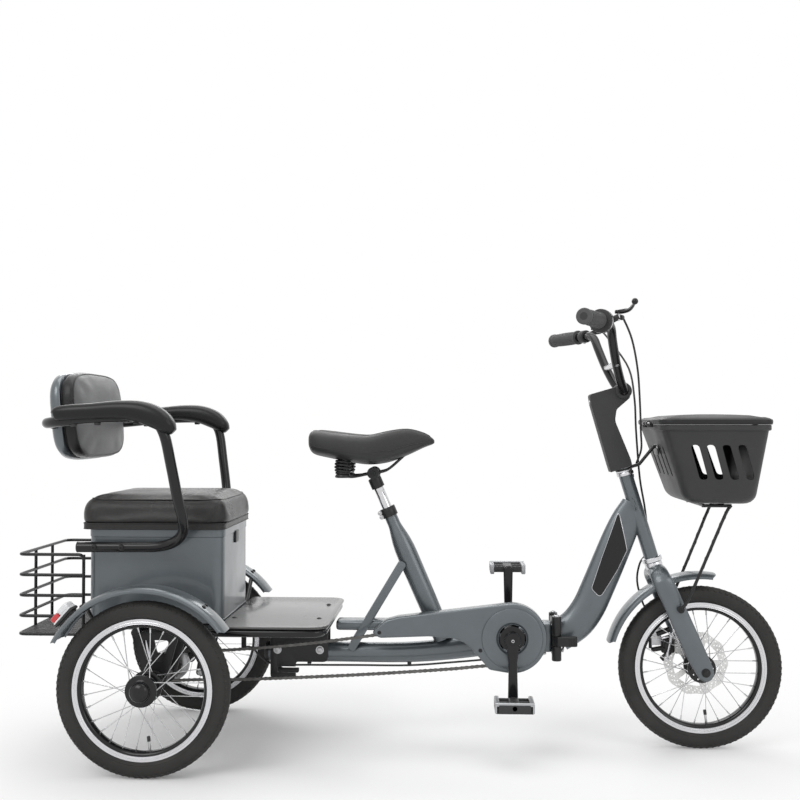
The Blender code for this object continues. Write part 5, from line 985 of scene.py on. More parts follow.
class TRICYCLE_OT_front_frame(bpy.types.Operator):
    """Make the down tube with its panels, the head tube, the front hinge plate and the latch"""
    bl_idname = "tricycle.front_frame"
    bl_label = "Front frame"

    def execute(self, context):
        head = turned([(0, 0.0002), (0.0232, 0.0002), (0.0244, 0.0015), (0.0244, 0.0105), (0.0232, 0.012),
            (0.0176, 0.0128), (0.0174, 0.223), (0.0206, 0.224), (0.0212, 0.225), (0.0212, 0.231),
            (0.0206, 0.232), (0, 0.232)], *HEAD, 44)
        top_edge, low_edge = head_point(0.2236), head_point(0.0125)
        paint_where(coat(head, "frame paint", "polished alloy"),
                    lambda face: (face.center - top_edge).dot(HEAD_UP) > 0
                    or (face.center - low_edge).dot(HEAD_UP) < 0)
        parts = [coat(oval_tube(DOWN_TUBE, 40), "frame paint"), head, *panel_parts()]
        clips = [bar((x - 0.002, y + 0.002, z - 0.004), (x + 0.002, y + 0.002, z + 0.004), 0.004, 12, 0.0008)
                 for x, y, z in ((0.503, 0.024, 0.448), (0.457, 0.0264, 0.344))]
        parts += coat_all(clips, "satin black")
        parts.append(weld(head_point(0.15, -0.004), head_point(0, 1) - head_point(0), 0.017, 0.03))
        finish_piece(parts, "front_frame_tube", "", "front_frame", name="front_frame_panelled")

        foot_z, top_z = HINGE_ZS
        parts = [slab(soft_box((-0.029, 0.229), (0.034, 0.317), 0.006), "yz", 0.3723, 0.382, 0.0016)]
        for low, high in ((foot_z, foot_z + HINGE_THIRD), (top_z - HINGE_THIRD, top_z)):
            parts += [bar((HINGE_X, HINGE_Y, low), (HINGE_X, HINGE_Y, high), 0.0108, 24, 0.0012),
                      block((0.3735, 0.028, low + 0.001), (0.3815, HINGE_Y, high - 0.001), 0.001)]
        finish_piece(coat_all(parts, "satin black"), "fold_hinge_front", "turned", "front_frame")

        eye_r = 0.0093
        shape = [(0.05, -0.0005), (0.0465, 0.0043), (0.012, 0.0043),
                 *((eye_r * cos(radians(d)), eye_r * sin(radians(d))) for d in range(30, 251, 15)),
                 (0.002, -0.0155), (0.0455, -0.0155), (0.05, -0.011)]
        parts = [slab([(HINGE_X + x, LATCH_Y + y) for x, y in shape], "xy", 0.2552, 0.2788, 0.003, 3)]
        parts += [block((x, -0.0606, 0.258), (x + 0.0025, -0.059, 0.276), 0.0006)
                  for x in (0.402, 0.408, 0.414)]
        axle = bar((HINGE_X, LATCH_Y, 0.2475), (HINGE_X, LATCH_Y, 0.288), 0.0049, 16)
        finish_piece([*coat_all(parts, "satin black"), coat(axle, "bolt steel")], "fold_latch", "shaped",
                     "fold_latch")
        return {"FINISHED"}


# Steering

FORK_HALF = ((0.621, 0, 0.4355, 0.022, 0.0165), (0.621, 0.026, 0.435, 0.0225, 0.016),
             (0.622, 0.044, 0.43, 0.0232, 0.014), (0.626, 0.056, 0.419, 0.0236, 0.0118),
             (0.634, 0.06, 0.403, 0.024, 0.0108), (0.672, 0.06, 0.318, 0.024, 0.0105),
             (0.706, 0.06, 0.242, 0.024, 0.0105), (0.727, 0.06, 0.19874, 0.021, 0.009),
             (0.734, 0.06, 0.183, 0.014, 0.0075), (0.736, 0.06, 0.1785, 0.006, 0.006))
BLADE_TURN = radians(24)


class TRICYCLE_OT_fork(bpy.types.Operator):
    """Make the fork with its crown, races and axle nuts"""
    bl_idname = "tricycle.fork"
    bl_label = "Fork"

    def execute(self, context):
        fore = Vector((cos(BLADE_TURN), 0, sin(BLADE_TURN)))
        whole = [(x, -y, z, deep, thin) for x, y, z, deep, thin in reversed(FORK_HALF[1:])] + list(FORK_HALF)
        widths = eased([(deep, thin, 0) for *_, deep, thin in whole])
        arch = skinned(eased([row[:3] for row in whole]), lambda index, run: (
            fore * widths[index].x, run.cross(fore).normalized() * widths[index].y))
        race = turned([(0, -0.016), (0.0205, -0.016), (0.0213, -0.011), (0.0215, -0.0035), (0.02, -0.0004),
            (0, -0.0004)], *HEAD, 40)
        steerer = turned([(0, -0.02), (0.0124, -0.02), (0.0124, 0.2415), (0, 0.2415)], *HEAD, 28)
        nut = turned([(0.0124, 0.2324), (0.02, 0.2324), (0.0205, 0.233), (0.0205, 0.2368), (0.0198, 0.2374),
            (0.0124, 0.2374)], *HEAD, 8)
        parts = [coat(arch, "frame paint"), coat(race, "polished alloy"), coat(steerer, "bolt steel"),
                 coat(nut, "polished alloy")]
        for side in BOTH:
            parts += coat_all([pin(FRONT_X, AXLE_Z, side * start, side * stop, *rest)
                for start, stop, *rest in ((0.069, 0.0705, 0.011, 24, 0.0005),
                (0.07, 0.0752, 0.0078, 6, 0.0012), (0.05, 0.0772, 0.0048, 16, 0.0008))], "satin black")
        finish_piece(parts, "fork", "formed", "steering")
        return {"FINISHED"}


BAR_HALF = ((0.541, 0, 0.88), (0.541, 0.026, 0.88), (0.538, 0.036, 0.886), (0.528, 0.056, 0.905),
            (0.513, 0.09, 0.945), (0.499, 0.128, 0.995), (0.493, 0.15, 1.02), (0.486, 0.17, 1.03),
            (0.474, 0.198, 1.033), (0.406, 0.345, 1.033))
UP = Vector(Z_AXIS)


def bar_end(side):
    """The grip end of the handlebar: its start, its reach, and the directions along and forward of it."""
    start, stop = (Vector((x, side * y, z)) for x, y, z in BAR_HALF[-2:])
    run = (stop - start).normalized()
    return start, stop - start, run, Vector((run.y * side, -run.x * side, 0)).normalized()


def lever_pivot(side):
    """Where the brake lever of this side turns, in front of the bar."""
    start, reach, _, fore = bar_end(side)
    return start + reach * 0.02 + fore * 0.03 + UP * 0.012


class TRICYCLE_OT_handlebar(bpy.types.Operator):
    """Make the stem, the bar with its cross brace, grips, bell and brake levers"""
    bl_idname = "tricycle.handlebar"
    bl_label = "Handlebar"

    def execute(self, context):
        corners = [(0.458, 0.871), (0.52, 0.889), (0.541, 0.9), (0.56, 0.878), (0.556, 0.862), (0.524, 0.834),
                   (0.52, 0.806), (0.558, 0.712), (0.57, 0.66), (0.52, 0.645), (0.503, 0.7), (0.462, 0.845)]
        rounding = [0.008, 0.02, 0.014, 0.01, 0.008, 0.014, 0.03, 0.08, 0.002, 0.002, 0.06, 0.012]
        stem = slab(outlined(corners, rounding, 5), "xz", -0.023, 0.023, 0.0075, 4)
        edit(stem)
        bpy.ops.mesh.bisect(plane_co=head_point(0.2426), plane_no=HEAD_UP, clear_inner=True, use_fill=True)
        leave()
        barrel = turned(mirrored([(0.0115, -0.0285), (0.0185, -0.0285), (0.02, -0.027)]), BAR_HALF[0], Y_AXIS,
                        36)
        ring = turned([(0.0124, 0.2419), (0.0222, 0.2419), (0.023, 0.2426), (0.023, 0.2468), (0.0222, 0.2476),
            (0.0124, 0.2476)], *HEAD, 44)
        parts = [*coat_all([seal(stem), barrel], "matt black"), coat(ring, "polished alloy")]
        for place, axis in (((0.462, 0, 0.852), (-1, 0, 0.25)), ((0.549, -0.014, 0.8975), (0.5, 0, 1)),
                            ((0.549, 0.014, 0.8975), (0.5, 0, 1))):
            parts.append(bolt(place, axis, 0.0046, 0.0036, "bolt steel"))
        finish_piece(parts, "stem", "forged", "steering", 50)

        right, left = (eased([(x, side * y, z) for x, y, z in BAR_HALF]) for side in BOTH)
        parts = [coat(tube(list(reversed(right)) + left[1:], 0.011, 20), "gloss black"),
                 coat(tube([(0.514, -0.094, 0.942), (0.514, 0.094, 0.942)], 0.0078, 16), "polished alloy")]
        for side in BOTH:
            start, reach, run, fore = bar_end(side)
            place, pivot = start + reach * 0.02, lever_pivot(side)
            clamp = turned(mirrored([(0.011, -0.011), (0.0158, -0.011), (0.0166, -0.0098)]), place, run, 30)
            perch = bar(place + fore * 0.013 + UP * 0.004, pivot + fore * 0.002, 0.008, 16, 0.001, 0.007)
            barrel = bar(pivot - run * 0.0108, pivot - run * 0.028 + fore * 0.001, 0.0062, 14, 0.001)
            parts += [*coat_all([clamp, perch, barrel], "matt black"),
                      coat(pin(0.514, 0.942, side * 0.08, side * 0.0905, 0.0092, 18, 0.0012), "gloss black"),
                      coat(bar(pivot - UP * 0.01, pivot + UP * 0.01, 0.0039, 12), "bolt steel"),
                      bolt((0.5135, side * 0.0955, 0.9425), (0, side, 0.3), 0.005, 0.004, "bolt steel"),
                      bolt(place - UP * 0.016, (0, 0, -1), 0.0038, 0.0032, "bolt steel"),
                      bolt(pivot + UP * 0.0095, Z_AXIS, 0.0046, 0.0026, "bolt steel")]
        finish_piece(parts, "handlebar", "bent", "steering")

        for side, word in SIDES:
            start, reach, run, fore = bar_end(side)
            share = 0.365 if side == RIGHT else 0.2
            length = reach.length * (1 - share) + 0.0038
            profile = [(0.0111, 0), (0.0185, 0), (0.0192, 0.0012), (0.0192, 0.0042), (0.017, 0.0052)]
            rib_step = 0.0042
            ribs = int((length - 0.02) / rib_step)
            for rib in range(ribs):
                height, swell = 0.0062 + rib * rib_step, 0.001 * sin(pi * rib / ribs)
                profile += [(radius + swell, height + rise) for radius, rise in
                            ((0.0158, 0), (0.017, 0.0008), (0.017, 0.0026), (0.0158, 0.0033))]
            profile += [(radius, length - drop) for radius, drop in (
                (0.0168, 0.01), (0.0184, 0.0085), (0.0184, 0.002), (0.016, 0), (0, 0), (0, 0.003),
                (0.0111, 0.003))]
            place = start + reach * share
            cap = turned([(0, length - 0.001), (0.0095, length - 0.001), (0.0085, length + 0.0002),
                          (0, length + 0.0002)], place, run, 24)
            finish_piece([coat(turned(profile, place, run, 40), "grip rubber"), coat(cap, "matt black")],
                         "grip_" + word, "ribbed", "steering", 30)

            pivot = lever_pivot(side)
            line = eased([pivot + run * along + fore * ahead + UP * rise for along, ahead, rise in (
                (0, 0, 0.0108), (0.012, 0.018, 0.011), (0.028, 0.034, 0.013), (0.05, 0.048, 0.018),
                (0.078, 0.06, 0.024))])

            def blade_axes(index, ahead):
                share = index / (len(line) - 1)
                return ahead.cross(UP).normalized() * 0.0032, UP * (0.0052 - 0.0008 * share
                                                                    + 0.001 * sin(pi * share))

            eye = turned([(0.0044, 0.0068), (0.0078, 0.0068), (0.0084, 0.0076), (0.0084, 0.0142),
                (0.0078, 0.0148), (0.0044, 0.0148)], pivot, Z_AXIS, 24)
            blade = skinned(line, blade_axes, 16)
            deselect()
            bpy.ops.mesh.primitive_uv_sphere_add(segments=20, ring_count=12, radius=0.0074, location=line[-1])
            parts = coat_all([blade, eye, settle(bpy.context.object)], "gloss black")
            finish_piece(parts, "brake_lever_" + word, "curved", "brake_lever_" + word, 50)

        start, reach, run, _ = bar_end(RIGHT)
        place = start + reach * 0.225
        profile = [(0.0115, -0.0108), (0.0235, -0.0108), (0.0262, -0.0098), (0.0273, -0.008)]
        for height in [-0.0064 + groove * 0.0028 for groove in range(5)]:
            profile += [(radius, height + rise) for radius, rise in
                        ((0.0273, 0), (0.0266, 0.0005), (0.0266, 0.0011), (0.0273, 0.0016))]
        profile += [(0.0273, 0.0084), (0.0262, 0.01), (0.0235, 0.0108), (0.0115, 0.0108)]
        arc = turned(mirrored([(0.0274, -0.0022), (0.0277, -0.0016)]) + [(0.0265, 0)], place, run, 56)
        finish_piece([coat(turned(profile, place, run, 56), "matt black"), coat(arc, "polished alloy")],
                     "bell_ring", "grooved", "bell_ring", 30)
        return {"FINISHED"}


# Front basket

BASKET_FLOOR, BASKET_ROUND, BASKET_WALL = 0.6085, 0.023, 0.003
WALL_ROWS = (0.66, 0.685, 0.71, 0.735, 0.76)


def basket_ring(share, inset, z, grow=0):
    """The basket's rounded outline: share goes from its rim, 0, down its taper, 1."""
    low_x = 0.612 + 0.052 * share + inset - grow
    high_x = 0.862 - 0.022 * share - inset + grow
    half = 0.165 - 0.03 * share - inset + grow
    corners = [(low_x, -half, z), (high_x, -half, z), (high_x, half, z), (low_x, half, z)]
    return outlined(corners, max(0.012, 0.04 - inset), 8)


def tapered_ring(inset, z):
    return basket_ring(1.12 * (0.782 - z) / (0.782 - 0.6105), inset, z)


def basket_bowl(wall):
    """The rings of the basket's rounded foot, from its middle out, for its wall's outside or inside."""
    radius, turns = BASKET_ROUND - wall, [radians(degrees) for degrees in range(0, 91, 18)]
    return [tapered_ring(wall + radius * (1 - sin(turn)), BASKET_FLOOR + wall + radius * (1 - cos(turn)))
            for turn in turns]


class TRICYCLE_OT_basket(bpy.types.Operator):
    """Make the front basket with its slots and lid, its stay and its twisted struts"""
    bl_idname = "tricycle.basket"
    bl_label = "Front basket"

    def execute(self, context):
        rim = ((0, 0.7825, 0.003), (0, 0.785, 0.005), (0, 0.7945, 0.005), (0, 0.796, 0.003),
               (BASKET_WALL, 0.796, 0), (BASKET_WALL, 0.78, 0))
        shell = lofted(basket_bowl(0) + [tapered_ring(0, z) for z in (*WALL_ROWS, 0.782)]
            + [basket_ring(0, inset, z, grow) for inset, z, grow in rim]
            + [tapered_ring(BASKET_WALL, z) for z in reversed(WALL_ROWS)] + basket_bowl(BASKET_WALL)[::-1])
        cutters = []
        for x in [0.684 + 0.0362 * index for index in range(4)]:
            outline = outlined([(x - 0.01, 0.749), (x + 0.01, 0.749), (x + 0.035, 0.667), (x + 0.015, 0.667)],
                               0.012)
            cutters += [slab(outline, "xz", side * 0.19, side * 0.1) for side in BOTH]
        cutters += [slab(soft_box((y - 0.007, 0.672), (y + 0.007, 0.744), 0.0066, 4), "yz", 0.6, 0.69)
                    for y in (-0.075, -0.025, 0.025, 0.075)]
        ears = [block((0.5975, y - 0.004, 0.79), (0.61, y + 0.004, 0.8025), 0.0012) for y in (-0.036, 0.036)]
        parts = coat_all([cut(shell, *cutters), *ears], "moulded plastic")
        stay_ring = turned([(0.0126, 0.2379), (0.0205, 0.2379), (0.0214, 0.2388), (0.0214, 0.2412),
            (0.0205, 0.2418), (0.0126, 0.2418)], *HEAD, 36)
        stay = tube(cornered([head_point(0.2398, 0.016), head_point(0.2398, 0.04), (0.618, 0, 0.742),
                              (0.632, 0, 0.742)], 0.01, 4), 0.0041)
        bracket = slab(soft_box((-0.028, 0.722), (0.028, 0.76), 0.006), "yz", 0.6235, 0.6265, 0.0006)
        parts += coat_all([stay_ring, stay, bracket], "satin black")
        parts += [bolt((0.6235, y, 0.741), (-1, 0, 0), 0.0036, 0.0028, "bolt steel") for y in (-0.018, 0.018)]
        parts.append(coat(pin(0.6, 0.8, -0.0435, 0.0435, 0.0028, 14, 0.0004), "bolt steel"))
        finish_piece(parts, "front_basket", "slotted", "steering", 32)

        lid = lofted([basket_ring(0, inset, z, grow) for inset, z, grow in (
            (0.06, 0.8, 0), (0.01, 0.799, 0), (0, 0.7966, 0.0035), (0, 0.7964, 0.006), (0, 0.7985, 0.0075),
            (0, 0.8045, 0.008), (0, 0.8085, 0.0068), (0.006, 0.8118, 0.006), (0.014, 0.814, 0.006),
            (0.018, 0.8142, 0.006), (0.021, 0.8136, 0.006), (0.026, 0.8146, 0.006), (0.045, 0.8186, 0.006),
            (0.075, 0.8206, 0.006), (0.11, 0.8218, 0.006))])
        hinges = [part for y in (-0.016, 0.016) for part in (
            pin(0.6, 0.8, y - 0.01, y + 0.01, 0.0052, 18, 0.0008),
            block((0.6005, y - 0.009, 0.8015), (0.613, y + 0.009, 0.806), 0.001))]
        latch = coat(block((0.864, -0.016, 0.788), (0.8705, 0.016, 0.804), 0.002, 3), "moulded plastic")
        finish_piece([*coat_all([lid, *hinges], "lid plastic"), latch], "basket_lid", "crowned", "basket_lid",
                     30)

        foot_x, foot_z, rail_z, twist_r, turn_steps = 0.667, 0.351, 0.602, 0.003, 9
        parts = [tube([(x, -0.0892, rail_z), (x, 0.0892, rail_z)], 0.0041) for x in (0.722, 0.77)]
        for side in BOTH:
            parts.append(tube([(0.716, side * 0.085, rail_z), (0.786, side * 0.085, rail_z)], 0.0041))
            line = eased([(x, side * y, z) for x, y, z in (
                (0.785, 0.085, rail_z), (0.772, 0.085, 0.582), (0.729, 0.082, 0.48), (0.685, 0.0785, 0.378),
                (0.668, 0.0765, 0.352))], 4)
            twist = []
            for index, (place, after) in enumerate(zip(line, line[1:])):
                out = (after - place).normalized().cross(Vector(Y_AXIS)).normalized()
                for step in range(6):
                    angle = tau * (index * 6 + step) / turn_steps
                    twist.append(place.lerp(after, step / 6) + out * twist_r * cos(angle)
                                 + Vector((0, twist_r * sin(angle), 0)))
            parts += [tube(line, 0.0038, 10), tube(twist, 0.0016, 6),
                      pin(foot_x, foot_z, side * 0.0712, side * 0.08, 0.0085, 20, 0.001)]
        coat_all(parts, "satin black")
        parts += [bolt((foot_x, side * 0.08, foot_z), (0, side, 0), 0.0046, 0.0032, "satin black")
                  for side in BOTH]
        finish_piece(parts, "basket_struts", "twisted", "steering")
        return {"FINISHED"}


# Cables

def cable_piece(points, node, body):
    """A brake cable with a ferrule at each end."""
    line = eased(points)
    parts = [coat(tube(line, sizes().cable_radius), "matt black")]
    for end, inward in ((line[0], line[2]), (line[-1], line[-3])):
        parts.append(coat(bar(end, end + (inward - end).normalized() * 0.009, 0.0036, 12, 0.0005),
            "bolt steel"))
    finish_piece(parts, node, "sleeved", body)


class TRICYCLE_OT_cables(bpy.types.Operator):
    """Make the four runs of brake cable"""
    bl_idname = "tricycle.cables"
    bl_label = "Cables"

    def execute(self, context):
        starts = {side: [lever_pivot(side) - bar_end(side)[2] * step for step in (0.0285, 0.033, 0.04)]
                  for side in BOTH}
        cable_piece([*starts[LEFT], (0.535, 0.13, 1.01), (0.572, 0.085, 0.94), (0.58, 0.05, 0.86),
            (0.582, 0.042, 0.78), head_point(0.205, 0.036, 0.03), head_point(0.12, 0.024, 0.03),
            head_point(0.03, 0.004, 0.036), (0.59, 0.045, 0.446), (0.584, 0.049, 0.4), (0.598, 0.046, 0.345),
            (0.614, 0.036, 0.318), (0.618, 0.033, 0.311), (0.618, 0.033, 0.3045)], "front_brake_cable",
            "steering")
        cable_piece([*starts[RIGHT], (0.546, -0.12, 1), (0.566, -0.08, 0.93), (0.578, -0.04, 0.85),
                     (0.585, -0.01, 0.78), (0.59, 0.015, 0.735), head_point(0.242, 0.037, 0.021),
                     head_point(0.234, 0.036, 0.0215)], "rear_brake_cable_upper", "steering")
        cable_piece([head_point(0.22, 0.02, 0.0208), head_point(0.15, 0.003, 0.0208), (0.553, 0.0195, 0.566),
            (0.53, 0.0222, 0.515), (0.502, 0.0249, 0.448), (0.478, 0.0269, 0.392), (0.456, 0.0279, 0.344),
            (0.43, 0.0279, 0.307), (0.404, 0.028, 0.285), (0.397, 0.0275, 0.244), (0.392, 0.024, 0.226)],
            "rear_brake_cable_frame", "front_frame")
        cable_piece([(0.352, 0.024, 0.2235), (0.32, 0.02, 0.216), (0.24, 0.01, 0.212), (0.12, 0, 0.203),
            (0.01, -0.006, 0.1955), (-0.12, -0.01, 0.1955), (-0.24, -0.014, 0.1955), (-0.325, -0.016, 0.1965),
            (-0.358, -0.022, 0.213), (-0.378, -0.031, 0.238), (-0.386, -0.033, 0.242),
            (-0.3957, -0.033, 0.242)], "rear_brake_cable_lower", "rear_frame")
        return {"FINISHED"}


# Drive

RING_R, SPROCKET_R = (PITCH / (2 * sin(pi / teeth)) for teeth in (RING_TEETH, SPROCKET_TEETH))
TOOTH = ((0, 0.0068), (0.16, 0.0064), (0.3, 0.0047), (0.42, 0.004), (0.58, 0.004), (0.7, 0.0047),
         (0.84, 0.0064))


def toothed(teeth, radius, x, z):
    """A chain wheel with rounded teeth and hollows between them, slim enough to run between the links."""
    outline = [round_point(x, z, radius - drop, tau * (index + share) / teeth)
               for index in range(teeth) for share, drop in TOOTH]
    return slab(outline, "xz", CHAIN_Y - 0.0013, CHAIN_Y + 0.0013, 0.0003, 1)


def arc_points(x, z, radius, start, stop, steps):
    return [round_point(x, z, radius, start + (stop - start) * step / steps, CHAIN_Y)
            for step in range(steps + 1)]


def sagging(start, stop, sag, steps=60):
    """The points between the ends of a run of chain that hangs a little."""
    return [start.lerp(stop, s) - UP * (sag * 4 * s * (1 - s) * min(1, 6 * s, 6 * (1 - s)))
            for s in [step / steps for step in range(1, steps)]]


def chain_pins():
    """Centres of the chain's pins: round the ring, along both sagging runs, and round the sprocket."""
    span = Vector((BB_X - REAR_X, 0, BB_Z - AXLE_Z))
    tilt, open_angle = atan2(span.z, span.x), acos((RING_R - SPROCKET_R) / span.length)
    top, low = tilt + open_angle, tilt - open_angle
    ring = arc_points(BB_X, BB_Z, RING_R, top, low, 60)
    sprocket = arc_points(REAR_X, AXLE_Z, SPROCKET_R, low, top - tau, 40)
    line = ring + sagging(ring[-1], sprocket[0], 0.008) + sprocket + sagging(sprocket[-1], ring[0], 0.02)
    lengths = [0]
    for before, after in zip(line, line[1:] + line[:1]):
        lengths.append(lengths[-1] + (after - before).length)
    links = 2 * round(lengths[-1] / PITCH / 2)
    pins, cursor = [], 0
    for want in [lengths[-1] * index / links for index in range(links)]:
        while lengths[cursor + 1] < want:
            cursor += 1
        share = (want - lengths[cursor]) / (lengths[cursor + 1] - lengths[cursor])
        pins.append(line[cursor].lerp(line[(cursor + 1) % len(line)], share))
    return pins


def link_body(half_gap):
    """Two waisted side plates of a link and its roller, lying along X from its first pin."""
    plate, end_r, waist = 0.001, 0.004, 0.0028
    outline = []
    for centre, start, waist_z in ((PITCH, -75, waist), (0, 105, -waist)):
        outline += [round_point(centre, 0, end_r, radians(start + turn)) for turn in (0, 50, 100, 150)]
        outline.append((PITCH / 2, waist_z))
    return join([slab(outline, "xz", half_gap, half_gap + plate),
        slab(outline, "xz", -half_gap - plate, -half_gap), pin(0, 0, -half_gap, half_gap, 0.0036, 8)])


class TRICYCLE_OT_chain(bpy.types.Operator):
    """Make the chain link by link, the grey chain case and the tensioner"""
    bl_idname = "tricycle.chain"
    bl_label = "Chain"

    def execute(self, context):
        pins, masters = chain_pins(), [link_body(0.0014), link_body(0.0025)]
        links = []
        for index, (place, after) in enumerate(zip(pins, pins[1:] + pins[:1])):
            turn = Matrix.Rotation(-atan2(after.z - place.z, after.x - place.x), 4, "Y")
            links.append(copy_of(masters[index % 2], Matrix.Translation(place) @ turn))
        for master in masters:
            discard(master)
        finish_piece([coat(settle(join(links)), "chain steel")], "chain", "linked", "rear_frame", 30)

        tail = cornered([(0.206, 0.203), (0.196, 0.216), (0.152, 0.266), (0.12, 0.278), (0.06, 0.282),
                         (-0.059, 0.277), (-0.081, 0.29), (-0.044, 0.321), (-0.015, 0.329)],
                        [0.004, 0.03, 0.05, 0.03, 0.08, 0.02, 0.012, 0.03, 0.02], 5)
        outer, inner = ([round_point(BB_X, BB_Z, radius, radians(d)) for d in range(92, -101, -6)]
                        for radius in (0.084, 0.0812))
        cover = slab(outer + tail, "xz", -0.084, -0.048, 0.006, 5)
        middle, wall = Vector((0.02, 0, 0.3)), 0.0028
        for point in tail:
            pull = middle - point
            pull.x *= 0.15 if point.x > -0.05 else 0.6
            inner.append(point + pull.normalized() * wall)
        cut(cover, slab(inner, "xz", -0.0815, -0.04))
        cut(cover, pin(BB_X, BB_Z, -0.1, -0.07, 0.034, 48))
        ring = turned([(0.0345, 0.0835), (0.037, 0.0868), (0.04, 0.088), (0.07, 0.088), (0.0728, 0.0868),
            (0.0745, 0.0832)], BRACKET, OUT_RIGHT, 72)
        cut(ring, turned([(0.0755, 0.085), (0.0765, 0.0836), (0.0775, 0.085)], BRACKET, OUT_RIGHT, 72))
        parts = coat_all([cover, ring], "frame paint")
        parts += [bolt((x, -0.0838, z), OUT_RIGHT, 0.0036, 0.002, "satin black")
                  for x, z in ((0.185, 0.25), (-0.06, 0.291))]
        parts.append(coat(pin(0.185, 0.248, -0.05, -0.0452, 0.007, 16, 0.0008), "satin black"))
        finish_piece(parts, "chain_case", "pressed", "rear_frame", 34)

        arm = slab(outlined([(-0.493, 0.298), (-0.475, 0.298), (-0.488, 0.182), (-0.512, 0.182)], 0.0085, 5),
                   "xz", -0.0825, -0.077, 0.001)
        wheel = turned(mirrored([(0, -0.004), (0.0118, -0.004), (0.0125, -0.0034), (0.0125, -0.0024),
                                 (0.0112, -0.0012)]), (-0.5, CHAIN_Y, 0.1895), Y_AXIS, 32)
        parts = [*coat_all([arm, pin(-0.484, 0.2922, -0.077, -0.1002, 0.0065)], "satin black"),
                 coat(wheel, "matt black"), coat(pin(-0.5, 0.1895, -0.08, -0.06, 0.004, 14), "bolt steel"),
                 bolt((-0.5, -0.0825, 0.1895), OUT_RIGHT, 0.0048, 0.0034, "bolt steel"),
                 bolt((-0.484, -0.0825, 0.29), OUT_RIGHT, 0.0052, 0.0034, "bolt steel")]
        finish_piece(parts, "chain_tensioner", "rollered", "rear_frame")
        return {"FINISHED"}


def arm_outline(direction):
    """A crank arm tapering from its boss to its pedal eye, down or up from the bottom bracket."""
    def end(radius, height, degrees):
        return [(radius * cos(a), height - radius * sin(a)) for a in [radians(d) for d in degrees]]

    line = [*end(0.0172, 0, range(0, 181, 15)), (-0.0104, 0.05),
            *end(0.0122, CRANK, range(180, 361, 15)), (0.0104, 0.05)]
    return [(BB_X + x, BB_Z + direction * z) for x, z in line]


